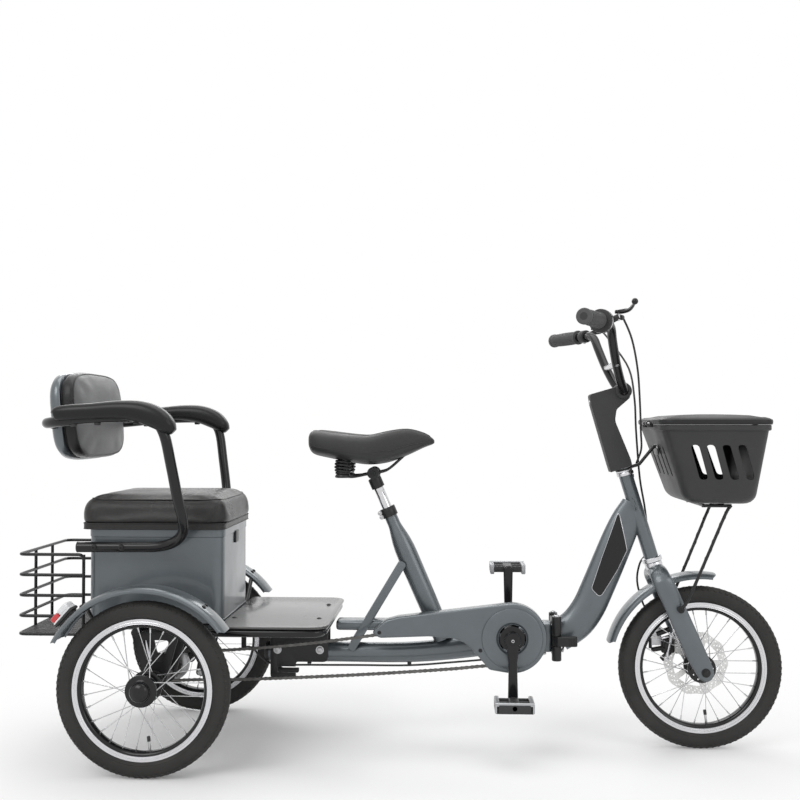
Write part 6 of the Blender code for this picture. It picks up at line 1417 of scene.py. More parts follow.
class TRICYCLE_OT_cranks(bpy.types.Operator):
    """Make the toothed chain ring with its spider, both crank arms and both pedals"""
    bl_idname = "tricycle.cranks"
    bl_label = "Cranks and pedals"

    def execute(self, context):
        for side, word in SIDES:
            x, z, out = BB_X, BB_Z + side * CRANK, (0, side, 0)
            black = [slab(arm_outline(side), "xz", side * 0.1, side * 0.114, 0.0062, 5),
                turned([(0, 0.086), (0.0168, 0.086), (0.0195, 0.0885), (0.0198, 0.11), (0.018, 0.114),
                (0.0105, 0.1145), (0.01, 0.112), (0, 0.112)], BRACKET, out, 40)]
            if side == RIGHT:
                rows = ((0.05, (0, 0.2, 0.4, 0.6, 0.78)), (0.0285, (0.7, 0.4, 0.08)))
                windows = [slab(window_between(x, BB_Z, radians(72 * index + 14), rows), "xz", CHAIN_Y - 0.01,
                                CHAIN_Y + 0.01) for index in range(5)]
                black += [turned([(0, 0.0832), (0.0296, 0.0832), (0.0306, 0.0845), (0.03, 0.0866),
                    (0.024, 0.0886), (0.012, 0.0904), (0, 0.0904)], BRACKET, out, 48),
                    cut(toothed(RING_TEETH, RING_R, x, BB_Z), *windows),
                    turned([(0, 0.06), (0.023, 0.061), (0.0245, 0.064), (0.0245, 0.07), (0.0215, 0.076),
                    (0.019, 0.088), (0, 0.088)], BRACKET, out, 44)]
            steel = [pin(x, BB_Z, side * (0.0005 if side == RIGHT else 0.001), side * 0.104, 0.0083, 20),
                     pin(x, z, side * 0.11, side * 0.19, 0.0046, 14),
                     pin(x, z, side * 0.1135, side * 0.1185, 0.008, 6, 0.0008)]
            finish_piece([*coat_all(black, "gloss black"), *coat_all(steel, "bolt steel"),
                          bolt((x, side * 0.112, BB_Z), out, 0.0042, 0.0034, "bolt steel")],
                         "crank_" + word, "forged", "cranks")

            def crosswise(reach, low_y, high_y, low, high, rim, steps=2):
                """A block of the pedal, as far behind its pin as before it."""
                return block((x - reach, side * low_y, z + low), (x + reach, side * high_y, z + high), rim,
                             steps)

            core = crosswise(0.0125, 0.1205, 0.1915, -0.0095, 0.0095, 0.004, 3)
            ribs = [crosswise(0.04, y - 0.0038, y + 0.0038, -0.008, 0.008, 0.002)
                    for y in (0.126, 0.156, 0.185)]
            plastic = [cut(part, pin(x, z, side * 0.1, side * 0.195, 0.0051, 14)) for part in (core, *ribs)]
            plastic.append(crosswise(0.044, 0.1862, 0.192, -0.013, 0.0078, 0.0026, 3))
            low_y, high_y = sorted((side * 0.1862, side * 0.192))
            grey = [block((x - 0.0458, low_y - 0.0006, z + 0.0072), (x + 0.0458, high_y + 0.0004, z + 0.0132),
                          0.0022, 3)]
            red, studs = [], []
            low_y, high_y = sorted((side * 0.12, side * 0.192))
            for fore in BOTH:
                low_x, high_x = sorted((x + fore * 0.035, x + fore * 0.046))
                grey.append(cut(block((low_x, low_y, z - 0.013), (high_x, high_y, z + 0.013), 0.003, 3),
                                block((low_x - 0.01, low_y + 0.009, z - 0.0072),
                                      (high_x + 0.01, high_y - 0.009, z + 0.0072), 0.003, 3)))
                red.append(block((low_x + 0.0022, low_y + 0.0075, z - 0.0085),
                                 (high_x - 0.0022, high_y - 0.0075, z + 0.0085), 0.0015))
                stud_x = x + fore * 0.0405
                studs += [bar((stud_x, y, z + up * 0.012), (stud_x, y, z + up * 0.013), 0.0018, 6)
                          for y in [low_y + 0.006 + index * 0.01 for index in range(7)] for up in BOTH]
            cap = pin(x, z, side * 0.1905, side * 0.192, 0.0062, 18, 0.0005)
            finish_piece([*coat_all(plastic, "moulded plastic"), *coat_all(grey, "pedal grey"),
                *coat_all(red, "reflector red"), *coat_all(studs, "bolt steel"), coat(cap, "matt black")],
                "pedal_" + word, "caged", "pedal_" + word)
        return {"FINISHED"}


class TRICYCLE_OT_rear_axle(bpy.types.Operator):
    """Make the live rear axle with the driven hub, brake drum and sprocket"""
    bl_idname = "tricycle.rear_axle"
    bl_label = "Rear axle"

    def execute(self, context):
        drum = turned([(0.0084, 0.022), (0.037, 0.022), (0.0398, 0.0235), (0.0398, 0.025), (0.0388, 0.0258),
            (0.0388, 0.0362), (0.0398, 0.037), (0.0398, 0.0385), (0.037, 0.04), (0.0084, 0.04)], REAR_AXLE,
            OUT_RIGHT, 56)
        collar = turned([(0.0084, 0.04), (0.015, 0.041), (0.015, 0.07), (0.0135, 0.073), (0.0084, 0.073)],
                        REAR_AXLE, OUT_RIGHT, 32)
        shaft = pin(REAR_X, AXLE_Z, -WHEEL_Y, WHEEL_Y + 0.0354, 0.0084, 24, 0.0006)
        parts = [settle(rear_hub_body(), Matrix.Translation((REAR_X, -WHEEL_Y, AXLE_Z))),
                 *coat_all([shaft, drum], "bolt steel"), coat(collar, "satin black"),
                 coat(toothed(SPROCKET_TEETH, SPROCKET_R, REAR_X, AXLE_Z), "chain steel")]
        finish_piece(parts, "rear_axle", "turned", "drive_axle")
        return {"FINISHED"}


# Carriage

class TRICYCLE_OT_carriage(bpy.types.Operator):
    """Make the black tube carriage, its axle hangers, side plates and fender stays, and the floor board"""
    bl_idname = "tricycle.carriage"
    bl_label = "Carriage"

    def execute(self, context):
        rail_z, rail_ends, loop_z = 0.3082, (-0.753, -0.205), 0.3107
        loop = outlined([(-0.458, -0.205, loop_z), (-0.186, -0.205, loop_z), (-0.186, 0.205, loop_z),
                         (-0.458, 0.205, loop_z)], 0.035)
        satin, pipes = [], [tube(loop, 0.01, 20, ring=True),
                            tube([(-0.747, -0.13, rail_z), (-0.747, 0.13, rail_z)], 0.0105, 20)]
        pipes += [tube([(x, y, rail_z) for x in rail_ends], 0.0125, 20) for y in (-0.1, 0.1)]
        pipes += [tube([(x, -0.205, rail_z), (x, 0.205, rail_z)], 0.0105, 20) for x in (-0.625, -0.535)]
        parts = [coat(bar((x - 0.0012, y, rail_z), (x + 0.0012, y, rail_z), 0.0118, 20, 0.0006), "matt black")
                 for y in (-0.1, 0.1) for x in rail_ends]
        hanger, window = (outlined([(REAR_X + x, z) for x, z in corners], corner, steps)
            for corners, corner, steps in ((((-0.058, rail_z), (0.058, rail_z), (0.02, 0.1727),
            (-0.02, 0.1727)), [0.004, 0.004, 0.014, 0.014], 5),
            (((-0.034, 0.29), (0.034, 0.29), (0.02, 0.24), (-0.02, 0.24)), 0.008, 4)))
        for y in (-0.195, -0.105, 0.105, 0.195):
            plate = slab(hanger, "xz", y - 0.003, y + 0.003, 0.001)
            cut(plate, slab(window, "xz", y - 0.01, y + 0.01))
            satin.append(cut(plate, pin(REAR_X, AXLE_Z, y - 0.01, y + 0.01, 0.01, 24)))
        bracket = outlined([(-0.336, 0.306), (-0.192, 0.306), (-0.192, 0.206), (-0.272, 0.206),
            (-0.272, 0.194), (-0.318, 0.194), (-0.318, 0.179), (-0.272, 0.179), (-0.272, 0.166),
            (-0.336, 0.166)],
            [0.006, 0.006, 0.012, 0.02, 0.002, 0.006, 0.006, 0.002, 0.008, 0.008], 4)
        lip_z = AXLE_Z + sqrt((FENDER_R - 0.013) ** 2 - 0.14 ** 2) + 0.0045
        for side in BOTH:
            satin += [turned([(0.01, 0.094), (0.0195, 0.094), (0.021, 0.0955), (0.021, 0.2045),
                (0.0195, 0.206), (0.01, 0.206)], REAR_AXLE, (0, side, 0), 32),
                slab(bracket, "xz", side * 0.0256, side * 0.0296, 0.0008),
                block((-0.33, side * 0.026, 0.302), (-0.3, side * 0.1, 0.308), 0.001)]
            parts += [bolt((x, side * 0.0296, 0.236), (0, side, 0), 0.0075, 0.0052, "bolt steel")
                      for x in (-0.318, -0.212)]
            for x in STAY_XS:
                stay = [(x, side * y, z)
                        for y, z in ((0.102, rail_z), (0.185, rail_z + 0.004), (0.27, lip_z), (0.29, lip_z))]
                pipes.append(tube(cornered(stay, [0, 0.02, 0.014, 0], 5), 0.0058, 20))
                foot = soft_box((x - 0.009, side * WHEEL_Y - 0.017), (x + 0.009, side * WHEEL_Y + 0.013),
                                0.004)
                satin.append(slab(foot, "xy", lip_z + 0.002, lip_z + 0.005, 0.0006))
        satin += [block((-0.408, -0.0362, 0.236), (-0.396, -0.03, 0.312), 0.001),
                  block((-0.41, -0.1, 0.3042), (-0.394, -0.026, 0.3122), 0.002)]
        finish_piece([*coat_all(pipes, "gloss black"), *coat_all(satin, "satin black"), *parts], "carriage",
                     "tubed", "rear_frame")

        outline = outlined([(-0.428, -0.218), (-0.173, -0.218), (-0.173, 0.218), (-0.428, 0.218)],
                           [0.003, 0.045, 0.045, 0.003], 8)
        parts = [coat(slab(outline, "xy", 0.321, 0.327, 0.0022, 3), "deck board")]
        parts += [bolt((x, y, 0.3268), Z_AXIS, 0.0052, 0.0022, "satin black") for x in (-0.412, -0.205)
                  for y in (-0.1, 0.1)]
        finish_piece(parts, "floor_board", "rounded", "rear_frame")
        return {"FINISHED"}


class TRICYCLE_OT_crate(bpy.types.Operator):
    """Make the open wire basket behind the seat box"""
    bl_idname = "tricycle.crate"
    bl_label = "Rear wire basket"

    def execute(self, context):
        near, far, half, foot_z, top_z = -0.7645, -0.923, 0.161, 0.2945, 0.485
        lines = [([(near, -half, top_z - 0.03), (near, -half, top_z), (far, -half, top_z), (far, half, top_z),
                   (near, half, top_z), (near, half, top_z - 0.03)], [0, 0.014, 0.02, 0.02, 0.014, 0])]
        lines += [([(near, -half, z), (far, -half, z), (far, half, z), (near, half, z)], [0, 0.02, 0.02, 0])
                  for z in (0.436, 0.387, 0.338, foot_z)]
        wires = [tube(cornered(points, corner), 0.0039) for points, corner in lines]
        wires += [tube([(x, y, 0.2935), (x, y, top_z)], 0.0039)
                  for x, y in ((near, -half), (near, half), (far, -0.055), (far, 0.055))]
        wires += [tube([(near, y, foot_z), (far, y, foot_z)], 0.003, 10)
                  for y in (-0.107, -0.0535, 0, 0.0535, 0.107)]
        wires += [tube([(x, -half, 0.293), (x, half, 0.293)], 0.003, 10) for x in (-0.812, -0.868)]
        wires.append(tube([(near, -half, foot_z), (near, half, foot_z)], 0.0039))
        sheet = slab(soft_box((-0.921, -0.159), (-0.765, 0.159), 0.018, 5), "xy", 0.2955, 0.2972)
        finish_piece([*coat_all(wires, "gloss black"), coat(sheet, "matt black")], "rear_crate", "wired",
                     "rear_frame")
        return {"FINISHED"}


ARM_BOLT_XS = (-0.727, -0.662)


def box_ring(z, out, corner=0.028, steps=8):
    """The storage box's rounded outline at a height, grown outwards."""
    low_x, high_x, half = -0.757 - out, -0.43 + out, 0.152 + out
    return outlined([(low_x, -half, z), (high_x, -half, z), (high_x, half, z), (low_x, half, z)],
                    max(0.004, corner + out), steps)


class TRICYCLE_OT_storage_box(bpy.types.Operator):
    """Make the storage box under the passenger seat"""
    bl_idname = "tricycle.storage_box"
    bl_label = "Storage box"

    def execute(self, context):
        shell = lofted([box_ring(z, out) for z, out in (
            (0.3215, -0.03), (0.3212, -0.002), (0.3222, 0), (0.4, 0), (0.526, 0), (0.5275, 0.0016),
            (0.544, 0.0016), (0.545, 0.0006), (0.545, -0.003), (0.324, -0.003), (0.324, -0.03))])
        paint = [shell, tube(box_ring(0.33, 0.0004), 0.0012, 8, ring=True)]
        satin = [pin(x, 0.5062, side * 0.1515, side * 0.1722, 0.0068, 18, 0.0008) for x in ARM_BOLT_XS
                 for side in BOTH]
        satin += [block((-0.7705, y - 0.012, 0.533), (-0.7565, y + 0.012, 0.5448), 0.0015)
                  for y in (-0.06, 0.06)]
        satin.append(block((-0.4302, -0.018, 0.5), (-0.4255, 0.018, 0.53), 0.0018, 3))
        steel = [bolt((x, y, 0.324), Z_AXIS, 0.005, 0.0026, "bolt steel")
                 for y in (-0.11, 0.11) for x in (-0.745, -0.445)]
        steel.append(coat(pin(-0.767, 0.541, -0.0895, 0.0895, 0.0038, 16, 0.0005), "bolt steel"))
        finish_piece([*coat_all(paint, "frame paint"), *coat_all(satin, "satin black"), *steel],
                     "storage_box", "pressed", "rear_frame")
        return {"FINISHED"}


ARM_Y = 0.289
ARM_PATH = ((-0.77, 0.185, 0.506), (-0.64, 0.185, 0.5065), (-0.575, 0.186, 0.5085), (-0.535, 0.197, 0.521),
            (-0.509, 0.222, 0.546), (-0.504, 0.246, 0.58), (-0.511, 0.262, 0.625), (-0.523, 0.275, 0.7),
            (-0.536, 0.287, 0.772), (-0.556, 0.289, 0.802), (-0.595, 0.289, 0.814), (-0.7, 0.289, 0.812),
            (-0.77, 0.286, 0.805), (-0.808, 0.266, 0.801), (-0.8265, 0.236, 0.8), (-0.8265, 0.192, 0.8))
ARM_PAD = ((-0.79, 0.819, 0.008, 0.006), (-0.786, 0.8205, 0.018, 0.0155), (-0.76, 0.8235, 0.022, 0.0185),
           (-0.7, 0.8265, 0.024, 0.0195), (-0.64, 0.8295, 0.027, 0.022), (-0.59, 0.825, 0.028, 0.025),
           (-0.552, 0.811, 0.027, 0.025), (-0.527, 0.792, 0.023, 0.019), (-0.515, 0.78, 0.011, 0.009))


class TRICYCLE_OT_arms(bpy.types.Operator):
    """Make the two bent arm tubes and their foam pads"""
    bl_idname = "tricycle.arms"
    bl_label = "Arms"

    def execute(self, context):
        for side, word in SIDES:
            path = [(x, side * y, z) for x, y, z in ARM_PATH]
            start, end = path[0], path[-1]
            caps = [bar((-0.7722, *start[1:]), (-0.769, *start[1:]), 0.0128, 24, 0.001),
                    pin(end[0], end[2], end[1], end[1] + side * 0.01, 0.014, 24, 0.0015)]
            parts = [coat(tube(eased(path), 0.0124, 24), "gloss black"), coat(caps[0], "matt black"),
                     coat(caps[1], "satin black")]
            parts += [bolt((x, side * 0.1972, 0.5062), (0, side, 0), 0.0058, 0.0046, "satin black")
                      for x in ARM_BOLT_XS]
            finish_piece(parts, "arm_tube_" + word, "bent", "rear_frame")

            widths = eased([(wide, deep, 0) for _, _, wide, deep in ARM_PAD])

            def pad_axes(index, ahead):
                up = Vector((-ahead.z, 0, ahead.x)) * copysign(1, ahead.x)
                return Vector((0, widths[index].x, 0)), up * widths[index].y

            pad = skinned(eased([(x, side * ARM_Y, z) for x, z, _, _ in ARM_PAD]), pad_axes, power=2.6)
            buttons = [bar((x, side * ARM_Y, top), (x, side * ARM_Y, top - 0.007), 0.0075, 16, 0.002)
                       for x, top in ((-0.745, 0.7985), (-0.69, 0.802), (-0.6, 0.804))]
            parts = [coat(pad, "moulded foam"), *coat_all(buttons, "matt black")]
            finish_piece(parts, "arm_pad_" + word, "foam", "rear_frame", 60)
        return {"FINISHED"}


# Padded pieces and the saddle

def plumped(piece, pressure, cap, held, voxel=0.0055, ease=8):
    """Swells a padded form as stuffed cloth does: points that are held stay, and none moves past the cap."""
    apply(piece, "REMESH", mode="VOXEL", voxel_size=voxel)
    start = [vertex.co.copy() for vertex in piece.data.vertices]
    group = piece.vertex_groups.new(name="held")
    group.add([index for index, place in enumerate(start) if held(place)], 1, "REPLACE")
    pick(piece)
    bpy.ops.object.modifier_add(type="CLOTH")
    cloth = piece.modifiers[-1].settings
    cloth.quality = 6
    cloth.mass = 0.25
    cloth.tension_stiffness = cloth.compression_stiffness = 18
    cloth.bending_stiffness = 0.6
    cloth.use_pressure = True
    cloth.uniform_pressure_force = pressure
    cloth.effector_weights.gravity = 0
    cloth.vertex_group_mass = "held"
    for step in range(1, 21):
        bpy.context.scene.frame_set(step)
    bpy.ops.object.modifier_apply(modifier=piece.modifiers[-1].name)
    bpy.context.scene.frame_set(1)
    piece.vertex_groups.clear()
    for vertex, place in zip(piece.data.vertices, start, strict=True):
        move = vertex.co - place
        if move.length > cap:
            vertex.co = place + move.normalized() * cap
    apply(piece, "SMOOTH", factor=0.5, iterations=ease)
    return divide(piece)


def surface_point(piece, outside, inside, lift=0.0002):
    """Where a line from outside towards inside meets the piece, lifted off it."""
    outside, inside = Vector(outside), Vector(inside)
    found, place, normal, _ = piece.ray_cast(outside, (inside - outside).normalized())
    if not found:
        raise RuntimeError(f"no surface of {piece.name} between {outside} and {inside}")
    return place + normal * lift


def piped(piece, ring, centre_of, radius, finish):
    """A sewn cord laid on a padded piece along a ring of points outside it."""
    return coat(tube([surface_point(piece, point, centre_of(point)) for point in ring], radius, 10,
        ring=True), finish)


class TRICYCLE_OT_cushion(bpy.types.Operator):
    """Make the passenger cushion, plumped over its covered board, with piping and corner seams"""
    bl_idname = "tricycle.cushion"
    bl_label = "Passenger cushion"

    def execute(self, context):
        back, middle_x = Matrix.Translation((-0.005, 0, 0)), -0.5935
        board = settle(lofted([box_ring(z, out, corner)
            for z, out, corner in ((0.5456, -0.02, 0.028), (0.5456, 0.008, 0.02), (0.5466, 0.0098, 0.018),
            (0.5582, 0.0098, 0.018), (0.5592, 0.008, 0.02), (0.5592, -0.02, 0.028))]), back)
        board = cut(coat(board, "seat leather"), block((-0.8, -0.0905, 0.53), (-0.7615, 0.0905, 0.5468)))
        pad = settle(lofted([box_ring(z, out, 0.026) for z, out in ((0.5585, -0.06), (0.5585, 0.004),
            (0.559, 0.0085), (0.564, 0.0125), (0.578, 0.0145), (0.596, 0.014), (0.609, 0.01), (0.617, 0.002),
            (0.6215, -0.012), (0.6245, -0.045), (0.6258, -0.085), (0.6262, -0.12))]), back)
        pad = coat(plumped(pad, 4, 0.0055, lambda place: place.z < 0.5615), "seat leather")
        parts = [board, pad, piped(pad, box_ring(0.633, 0.028, 0.018, 14), lambda point: Vector(
            (middle_x + (point.x - middle_x) * 0.3, point.y * 0.3, 0.565)), 0.0016, "seat leather")]
        parts += [settle(coat(tube(box_ring(z, out, 0.018, 12), 0.0012, 8, ring=True), "seam thread"), back)
                  for z, out in ((0.5596, 0.01), (0.5466, 0.0096))]
        for y in (-0.225, 0.225):
            line = []
            for share in [step / 8 for step in range(9)]:
                x, z = -0.464 + 0.022 * share ** 2 + 0.01 * sin(pi * share), 0.563 + 0.05 * share
                line.append(surface_point(pad, (x, y, z), (x, 0, z)))
            parts.append(coat(tube(line, 0.0011, 8), "seam thread"))
        finish_piece(parts, "seat_cushion", "sewn", "seat_lid", 60)
        return {"FINISHED"}


BACK_PLACE = Matrix.Translation((-0.813, 0, 0.818)) @ Matrix.Rotation(radians(-5.3), 4, "Y")


def back_ring(depth, inset, count=52):
    """The full, rounded outline of the backrest at a depth in front of its middle plane."""
    return [Vector((depth, (0.19 - inset) * copysign(sqrt(abs(c)), c),
        (0.11 - inset) * copysign(sqrt(abs(s)), s))) for c, s in circle(count)]


class TRICYCLE_OT_backrest(bpy.types.Operator):
    """Make the backrest: a painted shell, a padded front and the black band sewn between them"""
    bl_idname = "tricycle.backrest"
    bl_label = "Backrest"

    def execute(self, context):
        pad = lofted([back_ring(depth, inset) for depth, inset in ((0.0012, 0.06), (0.0012, 0.006),
            (0.003, 0.0025), (0.015, 0.0018), (0.029, 0.002), (0.0335, 0.0055), (0.0375, 0.014), (0.04, 0.03),
            (0.0412, 0.055), (0.0416, 0.09))])
        pad = plumped(pad, 1.6, 0.0025, lambda place: place.x < 0.03, 0.005, 22)
        paint_where(coat(pad, "back leather", "band leather"), lambda face: face.center.x < 0.031)
        seams = [piped(pad, back_ring(depth, -0.02, 72),
            lambda point: Vector((point.x, point.y * 0.5, point.z * 0.3)), 0.0019, "band leather")
            for depth in (0.0312, 0.003)]
        parts = [settle(part, BACK_PLACE) for part in (pad, *seams)]
        finish_piece(parts, "backrest_pad", "sewn", "rear_frame", 60)

        shell = lofted([back_ring(-depth, inset)
            for depth, inset in ((0.0004, 0.06), (0.0004, 0.0035), (0.003, 0.0012), (0.011, 0.0008),
            (0.02, 0.003), (0.027, 0.011), (0.0315, 0.026), (0.0345, 0.05), (0.0358, 0.08), (0.0362, 0.1))])
        parts = [settle(coat(shell, "frame paint"), BACK_PLACE)]
        parts += coat_all([pin(-0.8265, 0.8, side * 0.17, side * 0.1915, 0.0105, 20, 0.001) for side in BOTH],
                          "satin black")
        outward = BACK_PLACE.to_3x3() @ Vector((-1, 0, 0))
        parts += [bolt(BACK_PLACE @ Vector((-0.0352, y, z)), outward, 0.0046, 0.003, "satin black")
                  for y in (-0.08, 0.08) for z in (-0.055, 0.055)]
        finish_piece(parts, "backrest_shell", "domed", "rear_frame", 45)
        return {"FINISHED"}


SADDLE_ROWS = ((-0.237, 0.07, 0.774, 0.738), (-0.226, 0.098, 0.786, 0.722), (-0.19, 0.112, 0.784, 0.713),
               (-0.14, 0.11, 0.778, 0.703), (-0.09, 0.09, 0.775, 0.696), (-0.04, 0.06, 0.785, 0.702),
               (0.005, 0.038, 0.789, 0.719), (0.045, 0.027, 0.778, 0.738), (0.066, 0.018, 0.765, 0.746),
               (0.073, 0.008, 0.757, 0.75))
SPRING_X, SPRING_Y, CLAMP_Z = -0.152, 0.06, 0.6755


def saddle_ring(x, half, top, low):
    """The saddle's section at a place along it: a dished top, rounded sides and a flatter underside."""
    middle, dish = low + (top - low) * 0.52, 0.006 * min(1, half / 0.09)
    ring = []
    for c, s in circle(40):
        y = half * copysign(abs(c) ** 0.8, c)
        z = middle - (middle - low) * abs(s) ** 0.75
        if s >= 0:
            z = middle + (top - middle) * s ** 0.62 - dish * (1 - (y / half) ** 2) ** 3
        ring.append(Vector((x, y, z)))
    return ring


class TRICYCLE_OT_saddle(bpy.types.Operator):
    """Make the sprung saddle, its coil springs, rails and clamp, and the chrome seat post"""
    bl_idname = "tricycle.saddle"
    bl_label = "Saddle"

    def execute(self, context):
        places = eased([(x, 0, 0) for x, _, _, _ in SADDLE_ROWS], 4)
        rows = [(place.x, *shape) for place, shape in zip(places, eased([row[1:] for row in SADDLE_ROWS], 4))]
        seat = coat(divide(lofted([saddle_ring(*row) for row in rows])), "saddle vinyl", "moulded plastic")
        paint_where(seat, lambda face: face.normal.z < -0.25)
        parts = [seat]
        edge = [(x, half * 0.985, low + (top - low) * 0.36) for x, half, top, low in rows[2:-2]]
        for side in BOTH:
            line = [surface_point(seat, (x, side * (y + 0.05), z), (x, 0, z)) for x, y, z in edge]
            panel = [surface_point(seat, (x, side * y * 0.55, 0.9), (x, side * y * 0.55, 0.6), 0.0001)
                     for x, y, _ in edge[2:-3]]
            parts += coat_all([tube(line, 0.0011, 8), tube(panel, 0.001, 8)], "seam thread")
        finish_piece(parts, "saddle", "stitched", "seat_post", 60)

        turns = sizes().coil_turns
        for side, word in SIDES:
            line = []
            for share in [step / (turns * 24) for step in range(int(turns * 24) + 1)]:
                rise = min(1, max(0, (share * turns - 0.6) / (turns - 1.2)))
                swell = 0.015 + 0.0035 * sin(pi * share)
                line.append(Vector((SPRING_X + swell * cos(tau * turns * share),
                    side * (SPRING_Y + swell * sin(tau * turns * share)), 0.6775 + 0.0292 * rise)))
            name = "saddle_spring_" + word
            finish_piece([coat(tube(line, 0.0029, 12), "satin black")], name, "coiled", "seat_post")

        clamp_x, black = seat_point(0.086).x, []
        for side in BOTH:
            y = side * 0.0285
            rail = [(SPRING_X, side * SPRING_Y, 0.669), (-0.13, side * 0.052, 0.6675),
                    (-0.112, side * 0.034, 0.6695), (-0.1, y, 0.672), (-0.055, y, 0.68),
                    (-0.036, 0.8 * y, 0.69), (-0.008, 0.5 * y, 0.715), (0.002, 0.45 * y, 0.7245)]
            black += [tube(eased(rail), 0.0034), turned([(0, 0.6655), (0.017, 0.6655), (0.0192, 0.667),
                (0.0192, 0.67), (0.0165, 0.674), (0, 0.674)], (SPRING_X, side * SPRING_Y, 0), Z_AXIS, 28),
                pin(clamp_x, CLAMP_Z, side * 0.024, side * 0.0335, 0.0152, 26, 0.0012)]
        collar = [(0.0126, 0.058), (0.016, 0.058), (0.0168, 0.06), (0.0168, 0.084), (0.0126, 0.086)]
        black += [pin(clamp_x, CLAMP_Z, -0.033, 0.033, 0.0105, 24, 0.0012), turned(collar, *SEAT)]
        bolts = [bolt((clamp_x, side * 0.0335, CLAMP_Z), (0, side, 0), 0.0056, 0.0044, "satin black")
                 for side in BOTH]
        finish_piece([*coat_all(black, "satin black"), *bolts], "saddle_rails", "clamped", "seat_post")

        post = turned([(0, -0.14), (0.0118, -0.14), (0.0124, -0.1388), (0.0124, 0.085), (0.0118, 0.086),
                       (0, 0.086)], *SEAT, 36)
        marks = [turned([(0.0124, along), (0.01255, along + 0.0004), (0.0124, along + 0.0008)], *SEAT, 36)
                 for along in (0.012, 0.024, 0.036, 0.048)]
        finish_piece([coat(post, "chrome"), *coat_all(marks, "bolt steel")], "seat_post", "chromed",
                     "seat_post")
        return {"FINISHED"}


# Stage

WHITE = (1, 1, 1, 1)
AIM = Vector((0, 0, 0.55))
LIGHTS = (("key softbox", (-1.6, -2.6, 2.9), (2.2, 1.8), 44),
          ("fill softbox", (2.6, -2.2, 1.9), (1.8, 1.8), 18),
          ("top softbox", (0.1, 0.2, 3), (3.2, 1.6), 34),
          ("back strip", (-0.6, 2.6, 2.2), (3, 0.8), 22))


def stage_light(name, place, size, power):
    deselect()
    bpy.ops.object.light_add(type="AREA", location=place)
    lamp = bpy.context.object
    lamp.name = name
    lamp.data.shape = "RECTANGLE"
    lamp.data.size, lamp.data.size_y = size
    lamp.data.energy = power
    lamp.rotation_euler = (AIM - Vector(place)).to_track_quat("-Z", "Y").to_euler()


def seen_background(tree):
    """1 for rays that show the background: camera, mirror and glass rays."""
    path = put(tree, "LightPath")
    first = put(tree, "Math", {0: path.outputs["Is Camera Ray"], 1: path.outputs["Is Glossy Ray"]},
                operation="MAXIMUM")
    return put(tree, "Math", {0: first, 1: path.outputs["Is Transmission Ray"]}, operation="MAXIMUM")


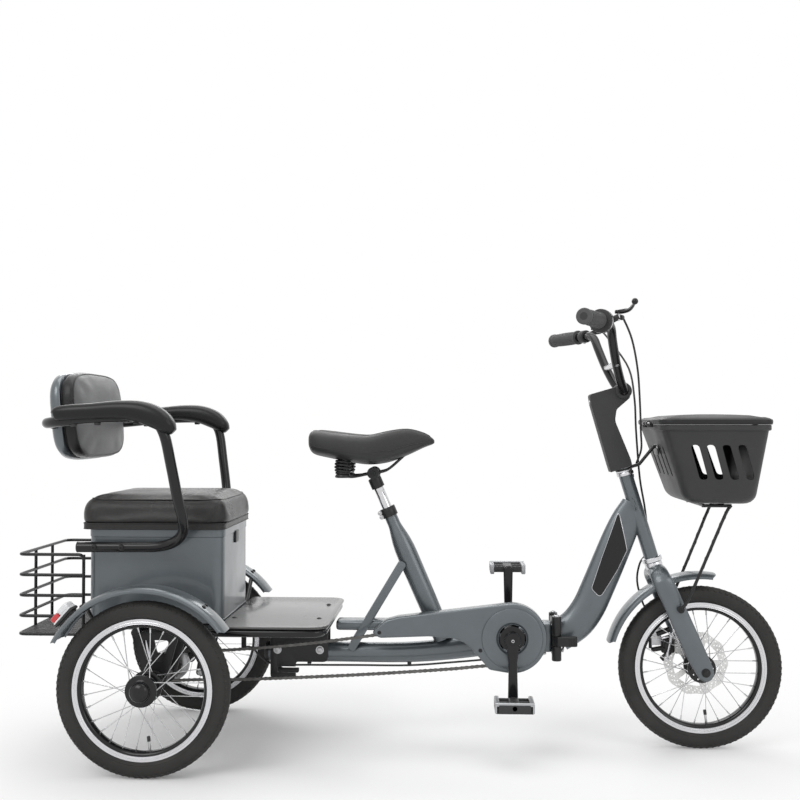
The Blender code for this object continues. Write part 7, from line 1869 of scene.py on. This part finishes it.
class TRICYCLE_OT_stage(bpy.types.Operator):
    """Make the pale floor, the soft lights, the white surround and the camera"""
    bl_idname = "tricycle.stage"
    bl_label = "Stage"

    def execute(self, context):
        scene = context.scene
        deselect()
        bpy.ops.mesh.primitive_grid_add(size=24, x_subdivisions=8, y_subdivisions=8)
        floor = bpy.context.object
        floor.name = "studio_floor"
        material = bpy.data.materials.new("studio floor")
        material.use_nodes = True
        tree = material.node_tree
        shader = tree.nodes["Principled BSDF"]
        shader.inputs["Base Color"].default_value = (*scene.tricycle_colours.floor, 1)
        shader.inputs["Roughness"].default_value = 0.75
        shader.inputs["Specular IOR Level"].default_value = 0.2
        distance = put(tree, "VectorMath", {0: put(tree, "TexCoord").outputs["Object"]}, operation="LENGTH")
        fade = put(tree, "MapRange", {"Value": distance.outputs["Value"], "From Min": 0.35, "From Max": 1.6},
                   interpolation_type="SMOOTHSTEP")
        share = put(tree, "Math", {0: fade, 1: seen_background(tree)}, operation="MULTIPLY")
        white = put(tree, "Emission", {"Color": WHITE, "Strength": 1})
        blend = put(tree, "MixShader", {0: share, 1: shader, 2: white})
        tree.links.new(blend.outputs[0], tree.nodes["Material Output"].inputs["Surface"])
        floor.data.materials.append(material)

        world = bpy.data.worlds.new("studio surround")
        world.use_nodes = True
        scene.world = world
        tree = world.node_tree
        tree.nodes.clear()
        soft, plain = (put(tree, "Background", {"Color": WHITE, "Strength": strength})
                       for strength in (0.58, 1))
        blend = put(tree, "MixShader", {0: seen_background(tree), 1: soft, 2: plain})
        put(tree, "OutputWorld", {"Surface": blend})
        for light in LIGHTS:
            stage_light(*light)

        deselect()
        bpy.ops.object.camera_add(location=(0.1203, -2.6897, 0.7951), rotation=(pi / 2 + 0.02357, 0, 0.04983))
        camera = bpy.context.object
        camera.name = "photo_camera"
        camera.data.sensor_width = 36
        camera.data.lens = 48.1
        scene.camera = camera
        scene.view_settings.view_transform = "Standard"
        return {"FINISHED"}


# Panel and running

OPERATORS = (TRICYCLE_OT_finishes, TRICYCLE_OT_wheels, TRICYCLE_OT_disc_brake, TRICYCLE_OT_fenders,
    TRICYCLE_OT_main_frame, TRICYCLE_OT_front_frame, TRICYCLE_OT_fork, TRICYCLE_OT_handlebar,
    TRICYCLE_OT_basket, TRICYCLE_OT_cables, TRICYCLE_OT_chain, TRICYCLE_OT_cranks, TRICYCLE_OT_rear_axle,
    TRICYCLE_OT_carriage, TRICYCLE_OT_crate, TRICYCLE_OT_storage_box, TRICYCLE_OT_arms, TRICYCLE_OT_cushion,
    TRICYCLE_OT_backrest, TRICYCLE_OT_saddle, TRICYCLE_OT_stage)
STEPS = [item.bl_idname.split(".")[1] for item in OPERATORS]


class TRICYCLE_PT_pieces(bpy.types.Panel):
    """The tricycle's colours, sizes and pieces"""
    bl_label = "Folding tricycle"
    bl_idname = "TRICYCLE_PT_pieces"
    bl_space_type = "VIEW_3D"
    bl_region_type = "UI"
    bl_category = "Tricycle"

    def draw(self, context):
        for group in (context.scene.tricycle_colours, context.scene.tricycle_sizes):
            box = self.layout.box()
            for name in group.__annotations__:
                box.prop(group, name)
        column = self.layout.column(align=True)
        for step in STEPS:
            column.operator("tricycle." + step)


CLASSES = (TricycleColours, TricycleSizes, *OPERATORS, TRICYCLE_PT_pieces)


def register():
    for item in CLASSES:
        bpy.utils.register_class(item)
    bpy.types.Scene.tricycle_colours = bpy.props.PointerProperty(type=TricycleColours)
    bpy.types.Scene.tricycle_sizes = bpy.props.PointerProperty(type=TricycleSizes)


def unregister():
    del bpy.types.Scene.tricycle_sizes
    del bpy.types.Scene.tricycle_colours
    for item in reversed(CLASSES):
        bpy.utils.unregister_class(item)


def main():
    register()
    for step in STEPS:
        getattr(bpy.ops.tricycle, step)()


if __name__ == "__main__":
    main()
